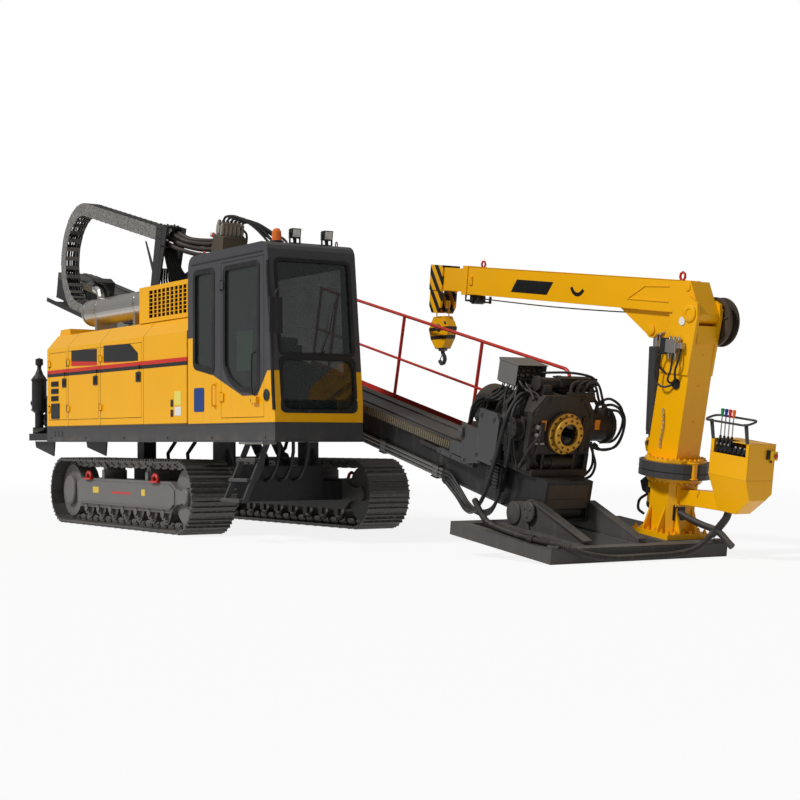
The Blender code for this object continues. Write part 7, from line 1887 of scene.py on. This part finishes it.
dress("boom_inner", enamel("boom_head_enamel", YELLOW, 0.33, dust=0.035, wear=0.2, coat=0.05,
                           worn=(0.3, 0.16, 0.03), marks=head_marks))
boom_trim = Form(boom)
for side in (-1, 1):
    face = side * BOOM_HALF
    low, high = sorted((face - side * 0.001, face + side * 0.008))
    boom_trim.prism([(-0.98, 0.085), (-0.36, 0.085), (-0.36, 0.097), (-0.95, 0.097)], "y", low, high)
    boom_trim.prism([(-0.98, 0.085), (-0.95, 0.097), (-0.72, 0.222), (-0.735, 0.234)], "y", low, high)
    boom_trim.prism([(-0.735, 0.234), (-0.72, 0.222), (-0.36, 0.235), (-0.36, 0.247)], "y", low, high)
    boom_trim.turned((-0.1, face, 0.245), (0, side, 0), capped((0, 0.038), (0.01, 0.038), (0.012, 0.02)),
                     20)
    boom_trim.turned((-0.625, side * 0.075, -0.196), (0, side, 0),
                     capped((0, 0.055), (0.014, 0.055), (0.018, 0.045)), 24)
    boom_trim.prism([(BOOM_NOSE + 0.1, 0.302), (BOOM_NOSE + 0.1, 0.31), (-0.2, 0.31), (-0.2, 0.302)], "y",
                    *sorted((side * 0.1, side * 0.125)))
    boom_trim.block((BOOM_NOSE + 0.14, min(face, face + side * 0.014), 0.1),
                    (BOOM_NOSE + 0.2, max(face, face + side * 0.014), 0.2))
    boom_trim.bolts([(BOOM_NOSE + 0.155, face + side * 0.012, 0.12),
                     (BOOM_NOSE + 0.185, face + side * 0.012, 0.18)], (0, side, 0), 0.009, 0.008)
boom_trim.block((-0.069, -0.1, 0.02), (-0.062, 0.1, 0.28))
boom_trim.turned((-0.062, 0, 0.16), AHEAD,
                 capped((0, 0.024), (0.012, 0.024), (0.014, 0.012), (0.03, 0.012)), 12)
boom_trim.finish("boom_pressings", crane_paint, "boom", "yellow_paint", 0.002)
boom_eye = Form(boom)
boom_eye.tube([(x - 0.2, y, z) for x, y,
               z in ((-0.13, 0, 0.3), (-0.155, 0, 0.335), (-0.15, 0, 0.37), (-0.12, 0, 0.385),
                     (-0.09, 0, 0.37), (-0.085, 0, 0.335), (-0.11, 0, 0.3))], 0.013, 10)
boom_eye.tube([(BOOM_NOSE + 0.2, 0, 0.305), (BOOM_NOSE + 0.18, 0, 0.345), (BOOM_NOSE + 0.2, 0, 0.375),
               (BOOM_NOSE + 0.235, 0, 0.375), (BOOM_NOSE + 0.255, 0, 0.345), (BOOM_NOSE + 0.235, 0, 0.305)],
               0.012, 10)
boom_eye.finish("boom_lifting_eyes", red_paint, "boom", "red_paint", 0)
indicator = Form(boom)
arc_points = [(-1.78 + 0.13 * cos(radians(a)), 0.2 + 0.13 * sin(radians(a))) for a in range(200, 331, 13)]
arc_inner = [(-1.78 + 0.09 * cos(radians(a)), 0.2 + 0.09 * sin(radians(a))) for a in range(330, 199, -13)]
indicator.prism(arc_points + arc_inner, "y", -0.123, -0.1205)
indicator.prism([(-2.95, 0.06), (-2.3, 0.06), (-2.2, 0.2), (-2.85, 0.2)], "y", -0.1225, -0.1205)
indicator.finish("boom_blank_plates", enamel("plate_dark", BLACK, 0.3, dust=0.03, wear=0.05), "boom",
                 "black_parts", 0.0008)
boom_rope = Form(boom)
boom_rope.tube(flow([(-0.55, 0.06, -0.03), (-1.4, 0.03, -0.055), (-2.4, 0.02, -0.065), (-3.3, 0.01, -0.055),
                     (BOOM_NOSE + 0.16, 0, -0.045)], 8), 0.007, 8)
boom_rope.finish("boom_rope_outer", rope_steel, "boom", "bare_steel", 0)
guide = Form(boom)
guide.tube([(BOOM_NOSE + 0.04, -0.09, -0.02), (BOOM_NOSE + 0.04, -0.09, -0.08),
            (BOOM_NOSE + 0.04, 0.09, -0.08), (BOOM_NOSE + 0.04, 0.09, -0.02)], 0.012, 10)
guide.rod((BOOM_NOSE + 0.15, -0.07, -0.065), (BOOM_NOSE + 0.15, 0.07, -0.065), 0.05, 20)
for y in (-0.09, 0.078):
    guide.block((BOOM_NOSE + 0.12, y, -0.1), (BOOM_NOSE + 0.18, y + 0.012, -0.018))
    guide.block((BOOM_NOSE + 0.26, y, -0.1), (BOOM_NOSE + 0.3, y + 0.012, -0.018))
guide.rod((BOOM_NOSE + 0.28, -0.085, -0.085), (BOOM_NOSE + 0.28, 0.085, -0.085), 0.01, 12)
guide.finish("rope_guide", black_paint, "boom", "black_parts", 0.001)


# Hook block: two cheek plates on the sheave, a forged hook with a latch below.
hook = boom @ Matrix.Translation((HEAD_FRONT + 0.13, 0, -0.14)) @ Matrix.Rotation(-ANCHOR_ANGLE, 4, "Y")


def hook_marks(paint, x, y, z):
    spot = hook @ Vector((0, 0, 0))
    height = z - spot.z
    lower = 1 - height.step(-0.532, -0.53)
    bands = height.band(-0.33, -0.285) + height.band(-0.43, -0.385)
    return [(bands * (1 - lower), (0.03, 0.02, 0.02)), (lower, (0.055, 0.052, 0.05))]


dress("hook_block", enamel("hook_enamel", YELLOW, 0.38, dust=0.1, wear=0.5, marks=hook_marks,
                           worn=(0.12, 0.1, 0.07)))
hook_parts = Form(hook)
for side in (-1, 1):
    hook_parts.turned((0, side * 0.06, -0.29), (0, side, 0),
                      capped((0, 0.045), (0.014, 0.045), (0.02, 0.03)), 20)
    for x in (-0.14, 0.14):
        hook_parts.turned((x, side * 0.06, -0.24), (0, side, 0), stepped((0.018, 0.012)), 6)
hook_parts.turned((0, 0, -0.54), DOWN, capped((-0.03, 0.055), (0.018, 0.055), (0.03, 0.04)), 24)
hook_parts.tube([(0, 0, -0.6), (-0.03, 0, -0.63), (-0.058, 0, -0.665)], 0.006, 8)
hook_parts.finish("hook_swivel", worn_steel, "hook_block", "bare_steel", 0.001)


# Luffing cylinder: a painted barrel with a screwed gland, a chromed rod and steel pipes.
luff_run = Vector((-0.07, 0, 1.114))
luff = post @ Matrix.Translation((-0.36, 0, 0.13)) @ Matrix.Rotation(atan2(luff_run.x, luff_run.z), 4, "Y")
dress("luff_barrel", grey_paint)
chrome = enamel("chromed_rod", (0.6, 0.6, 0.61), 0.1, dust=0.02, wear=0.05, metallic=1, peel=0)
dress("luff_rod", chrome)
gland = Form(luff)
gland.turned((0, 0, 0.9), UP,
             [(0, 0.0625), (0, 0.074), (0.045, 0.074), (0.055, 0.066), (0.055, 0.038), (0.045, 0.038)], 32)
gland.turned((0, 0, 0.085), UP, [(0, 0.05), (0, 0.07), (0.04, 0.07), (0.04, 0.0632)], 32)
gland.turned((0, 0, 0.125), UP, hoop(0.063, 0.0735, 0.775), 40)
gland.rod((-0.082, 0, 0.14), (-0.082, 0, 0.86), 0.009, 10)
for z in (0.84, 0.12):
    gland.block((-0.085, -0.02, z), (-0.055, 0.02, z + 0.04))
gland.finish("luff_gland", grey_paint, "luff_barrel", "grey_paint", 0.0015)


# Mast lift cylinders: twin barrels below the girder, their rods chromed.
dress("lift_barrels", grey_paint)
dress("lift_rods", chrome)
lift_run = Vector((-1.815 + 0.8, 0, 1.94 - 0.9))
lift = Matrix.Translation((-0.8 + shift_x, 0.18, 0.9)) @ Matrix.Rotation(atan2(lift_run.x, lift_run.z), 4,
    "Y")
glands = Form(lift)
for y in (-0.15, 0.15):
    glands.turned((0, y, 0.92), UP,
                  [(0, 0.064), (0, 0.078), (0.055, 0.078), (0.062, 0.07), (0.062, 0.043), (0.055, 0.043)],
                  32)
    glands.rod((0.078, y, 0.16), (0.078, y, 0.9), 0.01, 10)
glands.finish("lift_glands", grey_paint, "lift_barrels", "grey_paint", 0.0015)


# Crane console: a folded yellow hopper on an arm, open in its upper near side where the spool valve
# shows, with four sprung levers behind a guard loop and an emergency stop on its front.
LEFT, RIGHT = -0.17, 0.17
REAR, FRONT = 0.645, 1.145
SIDE_LOW, OPEN_LOW, TOP = 0.528, 0.738, 0.866
console = Form(crane)
console.block((REAR, LEFT, SIDE_LOW), (FRONT, LEFT + 0.012, OPEN_LOW))
console.block((REAR, LEFT, OPEN_LOW), (REAR + 0.043, LEFT + 0.012, TOP))
console.block((FRONT - 0.038, LEFT, OPEN_LOW), (FRONT, LEFT + 0.012, TOP))
console.block((REAR, LEFT + 0.012, SIDE_LOW), (REAR + 0.012, RIGHT, TOP))
console.block((REAR, RIGHT - 0.012, SIDE_LOW), (FRONT, RIGHT, TOP))
console.block((FRONT - 0.012, LEFT + 0.012, SIDE_LOW), (FRONT, RIGHT - 0.012, TOP))
console.block((0.93, LEFT - 0.004, TOP - 0.008), (FRONT + 0.004, RIGHT + 0.004, TOP))
console.block((REAR - 0.004, -0.02, TOP - 0.008), (0.93, RIGHT + 0.004, TOP))
console.block((REAR + 0.012, LEFT + 0.012, OPEN_LOW - 0.1),
              (FRONT - 0.012, RIGHT - 0.012, OPEN_LOW - 0.085))
hopper = bmesh.new()
for point in ((REAR, LEFT, SIDE_LOW), (FRONT, LEFT, SIDE_LOW), (REAR, RIGHT, SIDE_LOW),
              (FRONT, RIGHT, SIDE_LOW), (FRONT, RIGHT, 0.4), (REAR + 0.02, RIGHT, 0.46),
              (0.735, -0.09, 0.342), (FRONT - 0.004, -0.1, 0.342), (0.735, -0.09, 0.19),
              (0.967, -0.09, 0.19), (0.735, 0.09, 0.19), (0.967, 0.09, 0.19), (FRONT - 0.004, 0.1, 0.342),
              (0.7, 0.12, 0.36)):
    hopper.verts.new(point)
bmesh.ops.convex_hull(hopper, input=hopper.verts)
hopper.verts.index_update()
console.add([tuple(v.co) for v in hopper.verts],
            [tuple(v.index for v in face.verts) for face in hopper.faces])
hopper.free()
console.prism([(0.2, 0.157), (0.34, 0.17), (0.76, 0.19), (0.76, 0.342), (0.6, 0.342), (0.42, 0.33),
               (0.2, 0.306)], "y", -0.09, 0.09)
console.block((0.1803, -0.13, 0.137), (0.2003, 0.13, 0.366))
console.prism([(0.42, 0.33), (0.47, 0.333), (0.44, 0.26)], "y", -0.1, -0.089)
console.bolts([(0.2003, y, z) for y in (-0.11, 0.11) for z in (0.16, 0.34)], AHEAD, 0.014, 0.012)
console_piece = console.finish("console_hopper", crane_paint, "anchor", "yellow_paint", 0.004)
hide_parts("crane_console")
spools = Form(crane)
spools.block((REAR + 0.03, LEFT + 0.04, OPEN_LOW - 0.085), (FRONT - 0.03, RIGHT - 0.05, OPEN_LOW - 0.01))
LEVER_X = (0.712, 0.763, 0.814, 0.865)
for x in (*LEVER_X, 0.925, 0.985, 1.045):
    spools.block((x - 0.021, LEFT + 0.035, OPEN_LOW - 0.01), (x + 0.021, 0.02, OPEN_LOW + 0.062))
    spools.turned((x, LEFT + 0.035, OPEN_LOW + 0.02), OUTWARD,
                  capped((0, 0.014), (0.016, 0.014), (0.018, 0.009)), 8)
for x in LEVER_X:
    spools.block((x - 0.014, -0.145, OPEN_LOW + 0.06), (x + 0.014, -0.085, OPEN_LOW + 0.125))
    spools.rod((x, -0.12, OPEN_LOW + 0.1), (x, -0.12, OPEN_LOW + 0.16), 0.012, 12)
spool_piece = spools.finish("spool_valve", black_paint, "anchor", "black_parts", 0.002)
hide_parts("console_levers")
levers = Form(crane)
for x in LEVER_X:
    levers.rod((x, -0.12, OPEN_LOW + 0.15), (x, -0.12, 1.085), 0.0065, 10)
    levers.turned((x, -0.147, OPEN_LOW + 0.085), OUTWARD, stepped((0.012, 0.014)), 6)
for x in (0.925, 0.985, 1.045):
    levers.turned((x, -0.12, OPEN_LOW + 0.062), UP, stepped((0.013, 0.02)), 6)
levers.finish("lever_rods", plated_steel, "anchor", "bare_steel", 0)
knobs = (("green", (0.01, 0.27, 0.07)), ("blue", (0.01, 0.05, 0.32)), ("red", (0.62, 0.02, 0.04)),
         ("orange", (0.9, 0.16, 0.01)))
for x, (label, color) in zip(LEVER_X, knobs):
    knob = Form(crane)
    knob.turned((x, -0.12, 1.072), UP,
                [(0, 0), (0, 0.009), (0.006, 0.0115), (0.066, 0.0175), (0.074, 0.0155), (0.078, 0)], 20)
    knob.finish(f"lever_knob_{label}", enamel(f"knob_{label}", color, 0.3, dust=0.03, wear=0.05), "anchor",
                "red_paint", 0)
guard = Form(crane)
loop = rounded([(0.56, -0.2), (1.12, -0.2), (1.12, -0.05), (0.56, -0.05)], 0.07, 8)
guard_run = [(x, y, 1.03 + 0.3 * (y + 0.2)) for x, y in loop + loop[:1]]
guard.tube(guard_run, 0.011, 10)
for low, high in ((0.652, 0.605), (1.1, 1.06)):
    guard.prism([(low, 0.862), (low + 0.034, 0.862), (high + 0.04, 1.042), (high, 1.042)], "y",
                LEFT - 0.004, LEFT + 0.01)
guard.finish("console_guard", grey_paint, "anchor", "grey_paint", 0.001)
stop = Form(crane)
stop.block((FRONT + 0.004, 0.086, 0.719), (FRONT + 0.046, 0.16, 0.802))
stop.finish("stop_box", enamel("stop_yellow", (0.9, 0.55, 0.02), 0.35, dust=0.03, wear=0.1), "anchor",
            "yellow_paint", 0.004)
stop_base = Form(crane)
stop_base.block((FRONT, 0.055, 0.725), (FRONT + 0.02, 0.086, 0.81))
stop_base.rod((FRONT + 0.012, 0.11, 0.719), (FRONT + 0.012, 0.11, 0.695), 0.01, 10)
stop_base.finish("stop_bracket", black_paint, "anchor", "black_parts", 0.001)
button = Form(crane)
button.turned((FRONT + 0.046, 0.128, 0.76), AHEAD,
              capped((0, 0.012), (0.003, 0.012), (0.005, 0.023), (0.011, 0.023), (0.013, 0.018)), 24)
button.finish("stop_button", red_paint, "anchor", "red_paint", 0)
